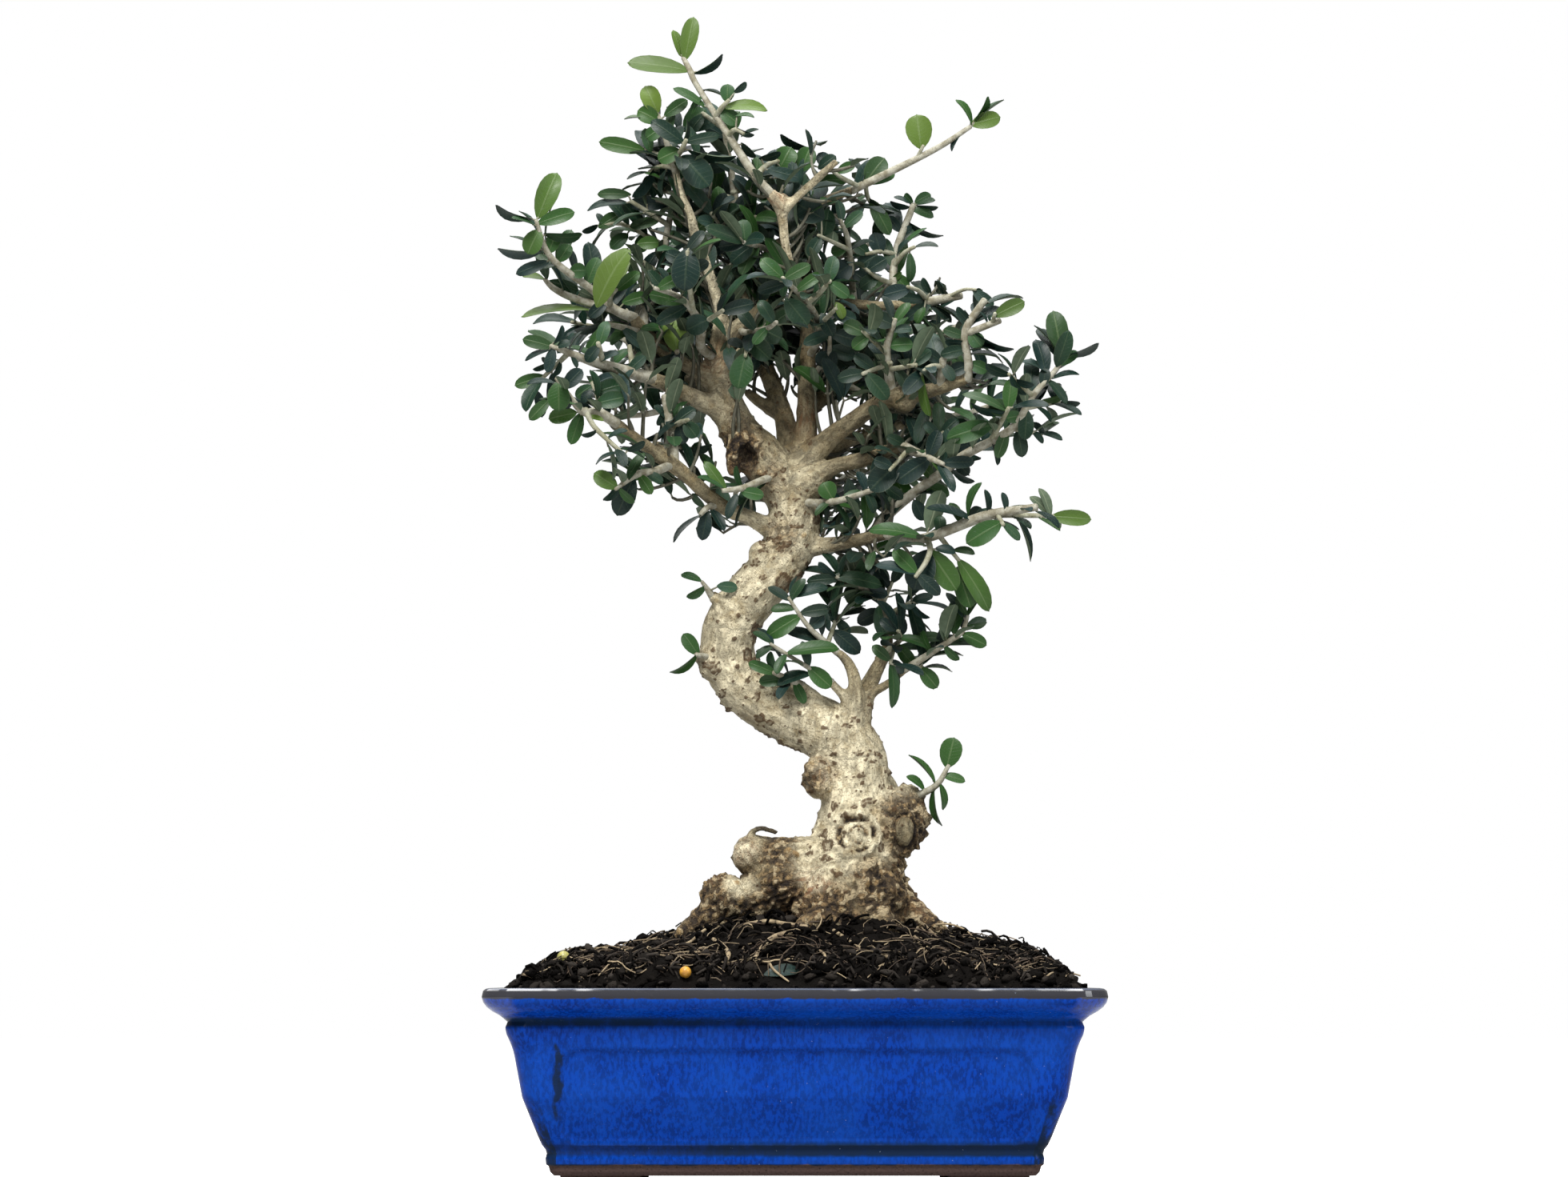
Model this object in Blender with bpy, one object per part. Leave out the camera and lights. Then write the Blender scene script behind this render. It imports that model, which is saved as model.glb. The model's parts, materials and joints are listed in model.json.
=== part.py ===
"""Olive bonsai in a rectangular blue glazed pot. The tables are in millimetres, the scene in metres."""

import math
import random

import bmesh
import bpy
from mathutils import Matrix, Vector
from mathutils.bvhtree import BVHTree

MM = 0.001
COLLECTION_NAME = "olive_bonsai"

# The pot: half sizes of its rim, its height, and the solid floor over the drain holes.
RIM_HALF_X = 100.0
RIM_HALF_Y = 75.0
RIM_TOP = 66.0
RIM_CORNER = 11.0
FLOOR_BOTTOM = 6.0
FLOOR_TOP = 12.0
FLOOR_INSET = 27.0
DRAIN_RADIUS = 7.0
DRAIN_X = 40.0
FOOT_LENGTH = 26.0
FOOT_WIDTH = 18.0
FOOT_INSET = 24.5
FOOT_SINK = 0.8

# The outside of the wall from the lip down, as height and inset from the rim's half sizes.
POT_OUTSIDE = [
    (66.0, 1.4),
    (65.1, 0.3),
    (63.2, 0.0),
    (61.0, 0.7),
    (59.0, 3.0),
    (56.6, 7.4),
    (54.0, 8.9),
    (47.6, 10.4),
    (46.4, 10.7),
    (31.0, 13.4),
    (18.4, 18.1),
    (17.2, 18.8),
    (12.6, 20.4),
    (9.4, 20.8),
    (FLOOR_BOTTOM, 22.5),
]
POT_INSIDE = [(RIM_TOP, 8.0), (60.5, 10.6), (32.0, 18.0), (FLOOR_TOP, FLOOR_INSET)]
PANEL_LOW = 18.0
PANEL_HIGH = 47.0
PANEL_DEPTH = 1.3
PANEL_HALF_LONG = 76.0
PANEL_HALF_SHORT = 47.0
PANEL_STEP = 1.6
CORNER_POINTS = 4

# The soil fills the pot and mounds up to the root flare.
SOIL_BOTTOM = 13.4
SOIL_CLEAR = 0.5
SOIL_EDGE_TOP = 64.6
MOUND_HEIGHT = 17.5
MOUND_X = 8.0
MOUND_SPREAD_X = 58.0
MOUND_SPREAD_Y = 42.0
EDGE_RISE = 10.0
EDGE_SPREAD = 6.0
HEAP_START = 12.0
SWELL = 0.9
MOUND_SHARES = (0.955, 0.87, 0.72, 0.54, 0.34, 0.16)
HOLE_CLEAR = 0.4
SOIL_REACH = 100.0

SCREEN_SIDE = 30.0
SCREEN_THICK = 0.8
SCREEN_HOLES = 3
SCREEN_HOLE = 6.4
SCREEN_PITCH = 9.0
SCREEN_LIFT = 0.3

# The tree's tables are laid out on its front view: x and z as an eye level with the rim sees them on the
# tree's middle plane, and y as the real depth. seen() turns them into places. Heights count from TREE_LIFT.
EYE_X = -3.5
EYE_Z = 69.0
EYE_DISTANCE = 1600.0
TREE_LIFT = 9.0
JOINT_GAP = 0.3
SQUARE_LENGTH = 0.9
CLEARANCE = 0.45
JOINT_FREE = 3.5
START_CLEAR = 0.2

# A leaf is a lens-shaped blade: along its midrib and across it, as shares of its length and half width.
BLADE_OUTLINE = [(0.42, 0.96), (0.82, 0.76)]
BLADE_THICK = 1.0
BLADE_FOLD = 0.16
BLADE_ARCH = 0.05
STALK_REACH = 1.3
END_COVER = 1.2
BASE_SHARE = 0.3
THINNEST_SEEN = 3.0
LEAF_TILTS = (0.0, 0.18, -0.18, 0.36, -0.36, 0.55, -0.55, 0.8, -0.8)
LEAF_STEPS = (0.0, 2.0, -2.0, 4.5, -4.5, 7.0, -7.0)
TWIG_BENDS = (0.0, -4.0, 4.0, -8.0, 8.0, -12.0, 12.0, -17.0, 17.0)
CROWN_HALF_X = 101.0
CROWN_HALF_Y = 73.0

# Wood: each limb as (x, y, z, radius).
TRUNK_LINE = [
    (17, 0, 44, 15), (17, 0, 66, 20), (17, 0, 80, 21.5), (18, 0, 91, 19.5), (19.5, 0, 100, 16.8),
    (20.3, 0, 108, 14.4), (20.5, 0, 118, 11.8), (21, 0, 127, 10.9), (19, 0.5, 135, 10.9),
    (11, 1, 142, 10.5), (1, 2, 147, 10), (-9, 3, 152, 9.4), (-18, 3, 159, 9.2), (-22.4, 2, 168, 9.2),
    (-21, 0, 178, 9.1), (-15, -1, 187, 9), (-9, -1, 194, 8.8), (-3, 0, 202, 8.7), (0, 0, 210, 8.6),
    (-0.5, 0, 219, 8.7), (-2.5, 0, 227, 8.8),
]
WOOD = {
    "left_limb": [(-3, 0, 222, 7.6), (-10, -2, 233, 8.2), (-17, -3, 241, 6.9), (-22, -3, 251, 5.8),
                  (-24.5, -3, 260, 5), (-26, -3, 267, 4.6), (-26, -3, 272, 3.6)],
    "limb_spur": [(-25, -3, 262, 4.6), (-23.5, -3, 271, 3.7), (-18, -4, 279, 2.8), (-14, -5, 282, 2.2),
                  (-10.8, -6, 286, 1.8), (-10, -6, 292, 1.6)],
    "white_shoot": [(-26, -3, 266, 4), (-25.5, -4, 275, 3), (-24.5, -5, 282, 2.4), (-27, -8, 291, 2),
                    (-30, -10, 300, 1.9), (-33, -12, 308, 1.8), (-35, -13.5, 316, 1.7),
                    (-38, -15, 323, 1.5), (-40, -16, 331, 1.4)],
    "limb_twig": [(-25, -4, 263, 2.4), (-21, -7, 266, 1.7), (-18, -8, 270.5, 1.6), (-15, -8, 271.5, 1.4)],
    "left_high_arm": [(-24, -3, 258, 4), (-35, -4, 265, 2.9), (-44, -6, 270.5, 2.6), (-51, -8, 277, 2.4),
                      (-54, -9, 281.5, 2)],
    "left_low_arm": [(-22, -3, 249, 4), (-33, -7, 254, 3.2), (-40, -11, 257.5, 2.8),
                     (-48, -17.5, 261, 2.4)],
    "left_bottom_arm": [(-4, 0, 208, 4), (-14, -4, 213.5, 2.8), (-22, -8, 216.5, 2.6),
                        (-29, -12, 221.5, 2.5), (-36, -17.5, 228, 2.5), (-42, -22, 232.5, 2.7),
                        (-47, -26, 236, 2.2), (-54, -30, 241, 2.1), (-60, -34.5, 246, 1.9)],
    "center_mast": [(-1, 0, 224, 7), (2.5, 2, 236, 5.2), (4, 3, 245, 3.7), (4, 4, 255, 3.1),
                    (4.3, 5, 265, 3), (4.5, 6, 275, 2.8), (6, 8, 285, 2.5), (4, 9, 296, 2)],
    "back_mast": [(-1, 2, 232, 5), (-3, 10, 246, 3.6), (-6, 14, 255, 3.2), (-9, 18, 263, 3),
                  (-12, 22, 270, 2.6), (-14, 26, 280, 2.2), (-17, 34, 289, 1.8)],
    "back_snag": [(-6, 13, 249, 2.2), (-13, 12, 254, 2), (-16, 12, 256.5, 1.5)],
    "right_upper_arm": [(2, 0, 231, 5), (12, -4, 241, 3.5), (19, -8, 246, 3.1), (26, -11, 251, 3.1),
                        (33, -15, 254.5, 3.2), (42, -17.5, 256, 2.8), (50, -20.5, 258, 2.2),
                        (58, -22, 261, 1.9)],
    "right_mid_arm": [(3, 2, 228, 4.5), (15, 6, 238, 2.6), (24, 9, 242, 2.3), (34, 12, 245, 1.9),
                      (42, 15, 246.5, 1.5)],
    "right_low_mid_arm": [(3, -1, 226, 4.5), (13, -5, 231, 2.8), (21, -9, 233, 2.7), (30, -13.5, 236, 2.4),
                          (36, -17.5, 238, 2)],
    "right_bottom_arm": [(0, 0, 203, 4), (13, -4, 205, 2.6), (22, -9, 206.5, 2.3), (31, -15, 208.5, 2.1)],
    "right_high_arm": [(5, 7, 281, 2.4), (13, 6, 287, 2.1), (22, 3, 286, 1.8), (32, 0, 285.5, 1.7),
                       (43, -3, 286.5, 1.8)],
    "back_left_arm": [(-20, -1, 247, 4.5), (-30, 12, 256, 2.7), (-41, 26, 264, 2.2), (-50, 38, 271, 1.7)],
    "back_right_arm": [(3, 4, 249, 3.3), (13, 17, 257, 2.5), (25, 31, 264, 2.1), (37, 43, 270, 1.7)],
    "back_low_arm": [(-1, 1, 207, 5), (4, 15, 213, 2.6), (9, 29, 219, 2), (14, 41, 225, 1.5)],
    "mid_riser": [(-15, -5, 281, 2.2), (-17, 3, 291, 1.7), (-19, 8, 305, 1.6), (-20, 8, 318, 1.4)],
    "diagonal": [(-10, -6, 290, 1.7), (-12, 2, 297, 1.7), (-8, 4, 303, 1.7), (0, 2, 312, 1.7),
                 (8, 0, 320, 1.7), (20, -2, 325, 1.5)],
    "apex_leader": [(4.5, 6, 273, 2.6), (4, -2, 284, 1.9), (2, -10, 292, 1.6), (-1, -19, 299, 1.5),
                    (-3, -22, 306, 1.6), (-4, -23, 315, 1.8), (-5.2, -24.5, 320, 2.3),
                    (-8, -25.5, 323.5, 2.2)],
    "apex_stub": [(-4.5, -23, 317, 1.8), (2, -26, 323.5, 1.5), (8, -27.5, 329, 1.5), (14, -29, 334.5, 1.2)],
    "top_back_arm": [(4, 9, 292, 2.2), (4, 20, 300, 1.7), (3, 31, 307, 1.4)],
    "shoot_a": [(20, 0, 140, 4.6), (22.5, 3, 152, 3.6), (25, 4, 158, 3), (28, 4, 164, 2.4), (31, 4, 170, 2),
                (31, 3, 178, 1.7)],
    "shoot_b": [(19.5, -3, 141, 4), (20.5, -5, 152, 2.8), (20, -5, 160, 2.3), (17.5, -6, 166, 1.8),
                (14, -7, 169, 1.4)],
    "shoot_c": [(17, -3, 143, 3.5), (17.5, -4, 152, 2), (12, -7, 159, 1.4)],
    "shoot_d": [(9, -1, 144, 4), (8.5, -3, 152.5, 1.9), (2, -7, 158, 1.5)],
    "shoot_e": [(21.5, -2, 143, 4), (25, -4, 154, 2), (31, -6, 158, 1.5), (37, -8, 163, 1.4)],
    "bend_snag": [(-20, -3, 183, 3), (-27.5, -6, 187.5, 2)],
    "side_root": [(12, -3, 100, 8), (2, -5, 101, 6.2), (-9, -6, 101, 5.9), (-17, -6, 101.5, 5)],
    "root_hook": [(-13, -8, 103, 1.6), (-15, -9, 108, 1.2), (-11, -10, 110, 1), (-6, -9, 108.5, 0.9)],
    "left_root": [(8, -3, 92, 10), (-6, -6, 90, 8.6), (-18, -9, 86, 6.8), (-28, -11, 81, 5),
                  (-36, -12, 75, 3.6), (-42, -13, 68, 2.4)],
    "left_back_root": [(10, 4, 88, 9), (-4, 14, 83, 6), (-16, 24, 76, 4), (-26, 32, 66, 2.8)],
    "right_root": [(26, 0, 90, 9), (36, -3, 84, 6), (44, -6, 78, 4), (52, -8, 71, 2.8), (58, -9, 64, 2)],
    "right_back_root": [(24, 4, 88, 9), (34, 16, 80, 5.5), (42, 26, 71, 3.4), (48, 32, 62, 2.4)],
    "front_root": [(14, -8, 88, 7), (10, -16, 82, 4.6), (3, -22, 77, 3.2), (-5, -26, 70, 2.2),
                   (-9, -28, 63, 1.6)],
    "front_right_root": [(24, -8, 86, 7), (29, -17, 79, 4), (35, -24, 71, 2.6), (39, -28, 63, 1.8)],
    "crossing_root": [(-24, -14, 78, 2.2), (-26, -18, 73, 2), (-24, -21, 68, 1.6), (-21, -22, 62, 1.4)],
    "hollow_lip": [(-20, -6, 229, 2.4), (-20.5, -8, 236, 2.6), (-18, -9, 242, 2.2)],
}

# Swellings on the wood, as (x, y, z, half sizes along x, y and z).
BURLS = [
    (33, -3, 112, 11, 9.5, 11.5), (37.5, -3, 119, 5.6, 5.2, 5.6), (8.5, -4, 127, 6.4, 7, 6),
    (27, -10, 88, 10, 8, 9), (-5, -7, 92, 12, 9, 9), (20.5, -10, 107.5, 6.8, 5, 6.8),
    (-15.5, -6, 101.5, 7.4, 7, 7), (24, 9, 101, 10, 10, 12), (-27.5, -1, 166, 5, 6, 7),
    (-11.5, -6, 201, 4, 4, 5), (5, -3, 226, 5.5, 6, 6.5), (-26, -5, 252, 3.6, 4, 5.5),
    (37, -16, 252.5, 4, 3.6, 3.4), (-46, -22, 236, 3.4, 3.2, 3.6), (-4, -23.5, 321.5, 2.2, 2.3, 2.4),
    (-26, -10, 86, 9.5, 8, 7.5), (29, 7, 121, 6, 6, 8),
]
ROUND_BURL = 9.0
# The hollow beside the left limb, as centre and half sizes.
HOLLOW = (-15.5, -10.5, 235.5, 3.1, 5.0, 5.6)
TRUNK_SIDES = 12
LIMB_SIDES = 8
THIN_SIDES = 6
TWIG_SIDES = 4
THICK_LIMB = 5.5
TRUNK_STEP = 12.0
LIMB_STEP = 12.0
TWIG_STEP = 12.0
WOOD_FLAT = 3.5
LARGEST_SCRAP = 6

# Leafy stems. stub: how much of the first twig, from the wood's middle line, the wood keeps.
# twigs: (x, y, z, radius), the first one starting on the wood.
# leaves: x and z of the base, x and z of the tip, width as seen, and tone, from 0 dark to 1 young or -1 for a
# pale underside. pairs: spacing of the leaf pairs placed by rule.
SPRAYS = {
    "apex": {
        "stub": 0, "pairs": 0,
        "twigs": [
            [(-8, -25.5, 323.5, 1.8), (-10.5, -26, 326.5, 1.7), (-14.5, -26, 331.5, 1.5),
             (-19.5, -24.5, 339, 1.4), (-24, -23, 346, 1.3), (-28, -22, 352.5, 1.2), (-32, -20.5, 359, 1),
             (-35, -19, 365, 1.1), (-37.5, -17.5, 370, 0.8)],
            [(-26.5, -23, 350, 1), (-24.5, -26, 353, 0.9), (-22, -27.5, 355.5, 0.7)],
            [(-22.5, -23, 343, 1), (-20, -27.5, 345.5, 0.8), (-17, -30, 344, 0.6)],
            [(-13, -26, 329.5, 1.1), (-9, -19, 333.5, 0.9), (-3, -13.5, 335, 0.8), (4, -11, 334, 0.7)],
            [(-24, -23, 346, 1), (-28, -15, 349.5, 0.8), (-31, -9, 351, 0.7)],
        ],
        "leaves": [
            (-37.5, 370, -34, 384, 5.5, 0.8), (-38.5, 370.5, -41, 379.5, 3, 0.8),
            (-36, 365, -56.5, 368, 5.7, 0.8), (-34, 364.5, -24, 371, 1.6, 0.1),
            (-30, 353, -41, 359.5, 3, 0.3), (-31, 359, -24, 357, 1.2, 0.05),
            (-25, 353.5, -9, 352.7, 4, 0.85), (-25, 352, -19, 347.5, 5, 0.05),
            (-21.5, 355, -22.5, 361, 4.6, 0.35), (-20.5, 358, -16, 361.5, 2.2, 0.15),
            (-20, 350, -13.3, 350, 1.8, 0.3), (-20, 346, -13.5, 343.5, 1.6, 0.1),
            (-18, 343, -12, 345.5, 1.6, 0.1), (-18, 341, -13, 336, 2.4, 0.12),
            (-5, 332, -1, 339.5, 7, 0.4), (2, 331, 5.5, 339.5, 6.2, 0.4), (5, 339, -5, 343.5, 2, 0.1),
            (-12, 335.5, -4.5, 337.5, 2.2, 0.1), (-9, 331, 3, 328.5, 4, 0.06), (8, 332, 14, 336.5, 4, 0.2),
            (-12, 330, -20, 335.5, 2, 0.1), (-31, 351, -36, 344, 4.2, 0.2),
            (-31, 357, -35, 350.5, 2.4, 0.3),
        ],
    },
    "upper_left": {
        "stub": 0, "pairs": 0,
        "twigs": [
            [(-40, -16, 331, 1.3), (-41.5, -16, 336, 1.2), (-43.5, -16, 341, 1), (-45, -16, 346, 0.9),
             (-46, -16, 350.5, 0.7)],
            [(-41, -16, 334.5, 1), (-38, -22, 338.5, 0.9), (-36.5, -24.5, 342, 0.7)],
            [(-41.5, -16, 335, 1), (-46, -12, 337, 0.8), (-51, -10, 338.5, 0.7)],
            [(-40.5, -16, 332.5, 0.9), (-45, -11, 333, 0.8), (-49, -8, 331, 0.6)],
            [(-42.5, -16, 338.5, 0.9), (-39, -9, 343.5, 0.8), (-37, -4, 346.5, 0.6)],
        ],
        "leaves": [
            (-46, 351, -50.5, 360.5, 6.2, 0.95), (-46, 348, -53, 352, 5.6, 0.55),
            (-51, 349.5, -57.5, 349.2, 1.4, -1), (-44, 350, -36, 355.5, 4.2, 0.3),
            (-37, 345.5, -30, 352.5, 6, 0.2), (-38, 345, -26, 348.5, 4, 0.1),
            (-36, 340.5, -25, 343.5, 3.6, 0.2), (-37.5, 341, -48.5, 348.5, 5.2, 0.22),
            (-50, 338.5, -66, 341.2, 5, 0.55), (-51, 339, -38, 339.5, 2.6, 0.12),
            (-38.5, 338.5, -46, 335, 5.4, 0.5), (-38, 336.5, -28.5, 326, 9, 0.02),
            (-36, 338.5, -19.5, 336, 1.6, 0.1), (-49, 331, -56.5, 328.5, 1.6, 0.1),
            (-43, 332, -45, 323, 2, 0.15), (-47, 332.5, -55, 322.5, 2.6, 0.15),
            (-44, 346, -50, 342.5, 4.6, 0.35), (-50, 337, -44, 334.2, 1.8, 0.1),
            (-48, 338.5, -50.5, 346, 3.6, 0.3), (-41, 335, -33.5, 325, 3, 0.25),
            (-42, 344, -41, 352, 3, 0.25),
        ],
    },
    "left_rise": {
        "stub": 4.0, "pairs": 0,
        "twigs": [
            [(-51, -8, 277, 1.8), (-50, -5, 285, 1.6), (-47.5, -1, 292, 1.5), (-45, 2, 299, 1.4),
             (-43.5, 3, 308, 1.3), (-42, 3, 315, 1.1), (-40.5, 2, 320, 0.9)],
            [(-44, 3, 306, 1), (-50, 7, 310, 0.9), (-57, 10, 313, 0.8), (-64, 12, 313, 0.7)],
            [(-42.5, 3, 313, 1), (-49, 1, 317.5, 0.9), (-55, -1, 321, 0.7)],
            [(-46, 1, 297, 1), (-52, -3, 301, 0.9), (-55, -6, 305, 0.7)],
        ],
        "leaves": [
            (-55, 323.3, -66.5, 323.5, 3.6, 0.35), (-56, 320.5, -70, 318.5, 3, 0.08),
            (-42, 320, -56, 320.2, 5, 0.15), (-42, 318, -53, 312.3, 1.6, 0.2),
            (-66, 312, -59, 316.5, 4.6, 0.2), (-45, 315, -55.5, 312.3, 3.6, 0.45),
            (-66, 313, -71.5, 310.3, 2, 0.1), (-64, 312, -66.5, 317, 2.4, 0.1),
            (-53, 306.5, -45.5, 307, 4.4, 0.6), (-44, 307, -40.5, 311, 2, 0.3),
            (-41, 320, -38, 312, 3.4, 0.2), (-46, 304, -51, 296.5, 4.2, 0.1),
            (-56, 310, -62, 305, 4.4, 0.3), (-50, 311, -52, 303.5, 4.6, 0.2),
            (-43, 311, -37, 306, 4, 0.25),
        ],
    },
    "left_top": {
        "stub": 0, "pairs": 0,
        "twigs": [
            [(-54, -9, 281.5, 1.9), (-60, -10, 284, 1.6), (-68, -12, 291, 1.4), (-76, -16, 297, 1.2),
             (-82, -20.5, 302, 1.1), (-85, -23, 308, 1), (-87, -26, 314.5, 0.7)],
            [(-60, -10, 284, 1.5), (-67, -9, 285.7, 1.4), (-74, -8, 288, 1.3), (-81, -7, 291.5, 1.1),
             (-84, -6, 294.5, 0.7)],
            [(-62, -10.5, 285.5, 1.1), (-62, -19, 288.5, 0.9), (-60, -24.5, 291, 0.7)],
        ],
        "leaves": [
            (-86.5, 315, -80, 331, 7, 0.7), (-87, 314, -74, 317.5, 4.8, 0.4),
            (-86, 311.5, -89.8, 303, 6.2, 0.62), (-88, 315, -101, 318.8, 1.8, 0.1),
            (-84.5, 310, -71.5, 308.8, 2.6, 0.2), (-85, 304, -100, 305.2, 1.8, 0.1),
            (-83.5, 302.5, -80.5, 309.5, 4.8, 0.15), (-79, 301, -75.5, 306.5, 4.6, 0.45),
            (-82.5, 300.5, -93.8, 296.3, 3.8, 0.12), (-84, 294.5, -91.5, 296.2, 2.6, 0.8),
            (-84, 294.5, -72.5, 290.7, 3.6, 0.2), (-65.5, 286.5, -56, 305.5, 7, 0.95),
            (-62, 285, -57, 296.5, 5.6, 0.04), (-58, 286.5, -49, 289, 4.2, 0.5),
            (-60, 290.8, -52, 297, 4, 0.5), (-68, 284, -92, 281.8, 3.3, 0.8),
            (-72.5, 290.5, -67, 288, 3.6, -1), (-70, 292.5, -66, 302, 4.8, 0.35),
            (-76, 297, -70, 297.5, 5, 0.3), (-63, 287, -69, 281.5, 4, 0.15),
            (-78, 299, -85, 297.8, 2, 0.2), (-80, 301, -75, 311.5, 4.4, 0.3),
            (-68, 291, -63, 299, 3.6, 0.2),
        ],
    },
    "left_high": {
        "stub": 4.2, "pairs": 0,
        "twigs": [
            [(-50, -8, 276, 1.4), (-54, -12, 277, 1.1), (-59, -16, 278.5, 1), (-64, -19, 279.5, 0.7)],
        ],
        "leaves": [
            (-55.5, 277, -66, 275.8, 6.4, 0.14), (-64, 280, -74, 277, 2.2, 0.05),
            (-63, 279, -70, 269, 4, 0.2), (-58, 278, -50, 271, 3.6, 0.12),
            (-60, 279, -67, 273.6, 3.4, 0.1), (-56, 278.5, -62, 272.4, 3, 0.1),
        ],
    },
    "left_low": {
        "stub": 0, "pairs": 0,
        "twigs": [
            [(-48, -17.5, 261, 2.3), (-57, -23, 263.5, 2), (-66, -29, 266, 1.7), (-72, -33, 267.8, 1.3),
             (-78, -36, 270.5, 1), (-82, -37, 272, 0.7)],
            [(-64, -27.5, 265, 1.2), (-64.5, -31.5, 269, 1), (-66, -34.5, 273, 0.8)],
            [(-54, -22, 262.5, 1.2), (-54, -20.5, 267.5, 1), (-55.5, -19, 272, 0.8)],
            [(-76, -34.5, 269.5, 1), (-80, -31.5, 265.5, 0.8), (-84.5, -30, 261, 0.7),
             (-89, -29, 257, 0.6)],
        ],
        "leaves": [
            (-81, 272, -91.5, 274.3, 4.2, 0.42), (-71.5, 269, -79.5, 267.5, 4.4, 0.35),
            (-81, 272.5, -78, 279.2, 1.5, 0.05), (-80, 271.5, -74.8, 273, 2.8, 0.1),
            (-76, 270, -71.3, 277, 1.3, 0.1), (-72.5, 268.5, -69, 274.6, 1.2, 0.1),
            (-81, 271.5, -83, 262.8, 3.6, 0.1), (-82, 266.5, -87.8, 264, 1.6, 0.1),
            (-84, 262, -94, 258.4, 4.2, 0.5), (-78.5, 267, -81, 261.5, 1.8, 0.1),
            (-65.5, 272.5, -70, 266.5, 4, 0.2), (-65.5, 272.5, -63, 280.5, 4, 0.1),
            (-77, 271, -74, 276.5, 1.6, 0.1), (-55, 271, -60.5, 266.3, 3, 0.3),
            (-56, 263.5, -50, 268.5, 3.6, 0.1), (-75, 268.5, -73, 264.3, 1.8, 0.1),
            (-66, 266.5, -59, 270, 2.8, 0.15), (-80, 265.5, -85, 268.2, 1.8, 0.1),
        ],
    },
    "left_bottom": {
        "stub": 0, "pairs": 0,
        "twigs": [
            [(-60, -34.5, 246, 1.9), (-66, -38.5, 249.5, 1.7), (-71.5, -43, 250, 1.3), (-75, -45.5, 254, 1),
             (-77.5, -47, 258, 0.9), (-80, -48.5, 261, 0.7)],
            [(-70, -41.5, 249.8, 1.1), (-67.5, -45.5, 245, 0.9), (-63, -48.5, 240.5, 0.8),
             (-57, -50, 235, 0.7)],
            [(-66, -38.5, 249.5, 1), (-66, -33, 254.5, 0.9), (-68, -30, 259.5, 0.7)],
        ],
        "leaves": [
            (-80, 261, -79, 249.8, 7, 0.03), (-77.5, 257.5, -71.3, 264, 4.8, 0.15),
            (-82, 254, -89, 246.9, 4, 0.5), (-73, 249.5, -82.6, 247.3, 5, 0.6),
            (-71.5, 249.5, -75, 238.5, 4.6, 0.05), (-68, 259.5, -60, 262, 4, 0.2),
            (-67, 256, -57.5, 259, 5.4, 0.22), (-66, 252.5, -57, 254.5, 5.4, 0.25),
            (-68, 259, -73.5, 254.5, 3.8, 0.15), (-66.5, 257, -71.5, 253, 3.2, 0.1),
            (-62, 247.5, -50.8, 253.1, 2.6, -1), (-58, 236, -67, 232.3, 1.6, 0.1),
            (-56.5, 236.5, -50, 239.3, 2.4, 0.1), (-66, 243.5, -71.5, 241.5, 1.4, 0.1),
            (-70, 248, -64, 246.5, 2, 0.9), (-63, 240.5, -56, 243.5, 2, 0.15),
            (-78, 257.5, -76, 250.5, 3.6, 0.12),
        ],
    },
    "left_under": {
        "stub": 4.5, "pairs": 0,
        "twigs": [
            [(-41, -21, 231.8, 1.6), (-47, -27.5, 229.6, 1.4), (-53, -30, 228.5, 1.2),
             (-57, -31.5, 226, 0.9), (-60, -33, 223.3, 0.6)],
        ],
        "leaves": [
            (-60, 223, -67.3, 229, 5.2, 0.7), (-54, 228, -59.5, 214.6, 7, 0.2),
            (-52, 228, -47.8, 221.8, 3.8, 0.55), (-57, 227, -50.5, 236, 3.2, 0.08),
            (-59, 224, -53.5, 219, 2.6, 0.3), (-50, 229.5, -44, 225.5, 3, 0.2),
            (-58, 225.5, -64, 219.7, 2.4, 0.15),
        ],
    },
    "left_riser": {
        "stub": 5.2, "pairs": 0,
        "twigs": [
            [(-40.5, -21, 231.4, 1.9), (-41, -16, 240, 1.8), (-42.6, -15, 249, 1.6),
             (-43.5, -15, 254.8, 1.3)],
            [(-41.7, -15.5, 243.5, 1), (-38.5, -22, 246, 0.9), (-35.5, -26, 247, 0.6)],
            [(-41, -16.5, 239.5, 1), (-37, -11, 237.5, 0.9), (-31, -8, 236.5, 0.6)],
        ],
        "leaves": [
            (-42.5, 244, -50, 240, 2, 0.1), (-43, 250.5, -46, 245, 2.8, 0.1),
            (-40, 246, -33.3, 250.8, 4.6, 0.2), (-37, 246.5, -32.7, 241, 5, 0.2),
            (-39, 245.5, -37.2, 238.6, 4.6, 0.22), (-38, 237, -27.5, 237.8, 2.4, 0.08),
            (-42.5, 247, -46.8, 252.2, 2.6, 0.1), (-31, 235.5, -27, 231.3, 2.6, 0.3),
        ],
    },
    "left_inner": {
        "stub": 9.5, "pairs": 0,
        "twigs": [
            [(-5, -2, 228.5, 1.5), (-11, -12, 226.3, 1.3), (-17, -16, 224, 1.2), (-24, -19, 222.8, 0.8)],
        ],
        "leaves": [
            (-23, 224, -30.4, 233, 3.6, 0.65), (-24, 224, -32.4, 228, 2.6, 0.3),
            (-18, 222.8, -10.2, 221.3, 4, 0.45), (-17.5, 224, -19.5, 231.5, 2.2, 0.2),
        ],
    },
    "left_drop": {
        "stub": 4.4, "pairs": 0,
        "twigs": [
            [(-25, -9.5, 218.4, 1.3), (-29, -13.5, 217.3, 1.1), (-31.5, -16, 215, 0.8)],
        ],
        "leaves": [
            (-29.5, 217, -31, 206.3, 4.6, 0.03), (-31, 215, -41.2, 205.8, 2.2, 0.1),
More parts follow.
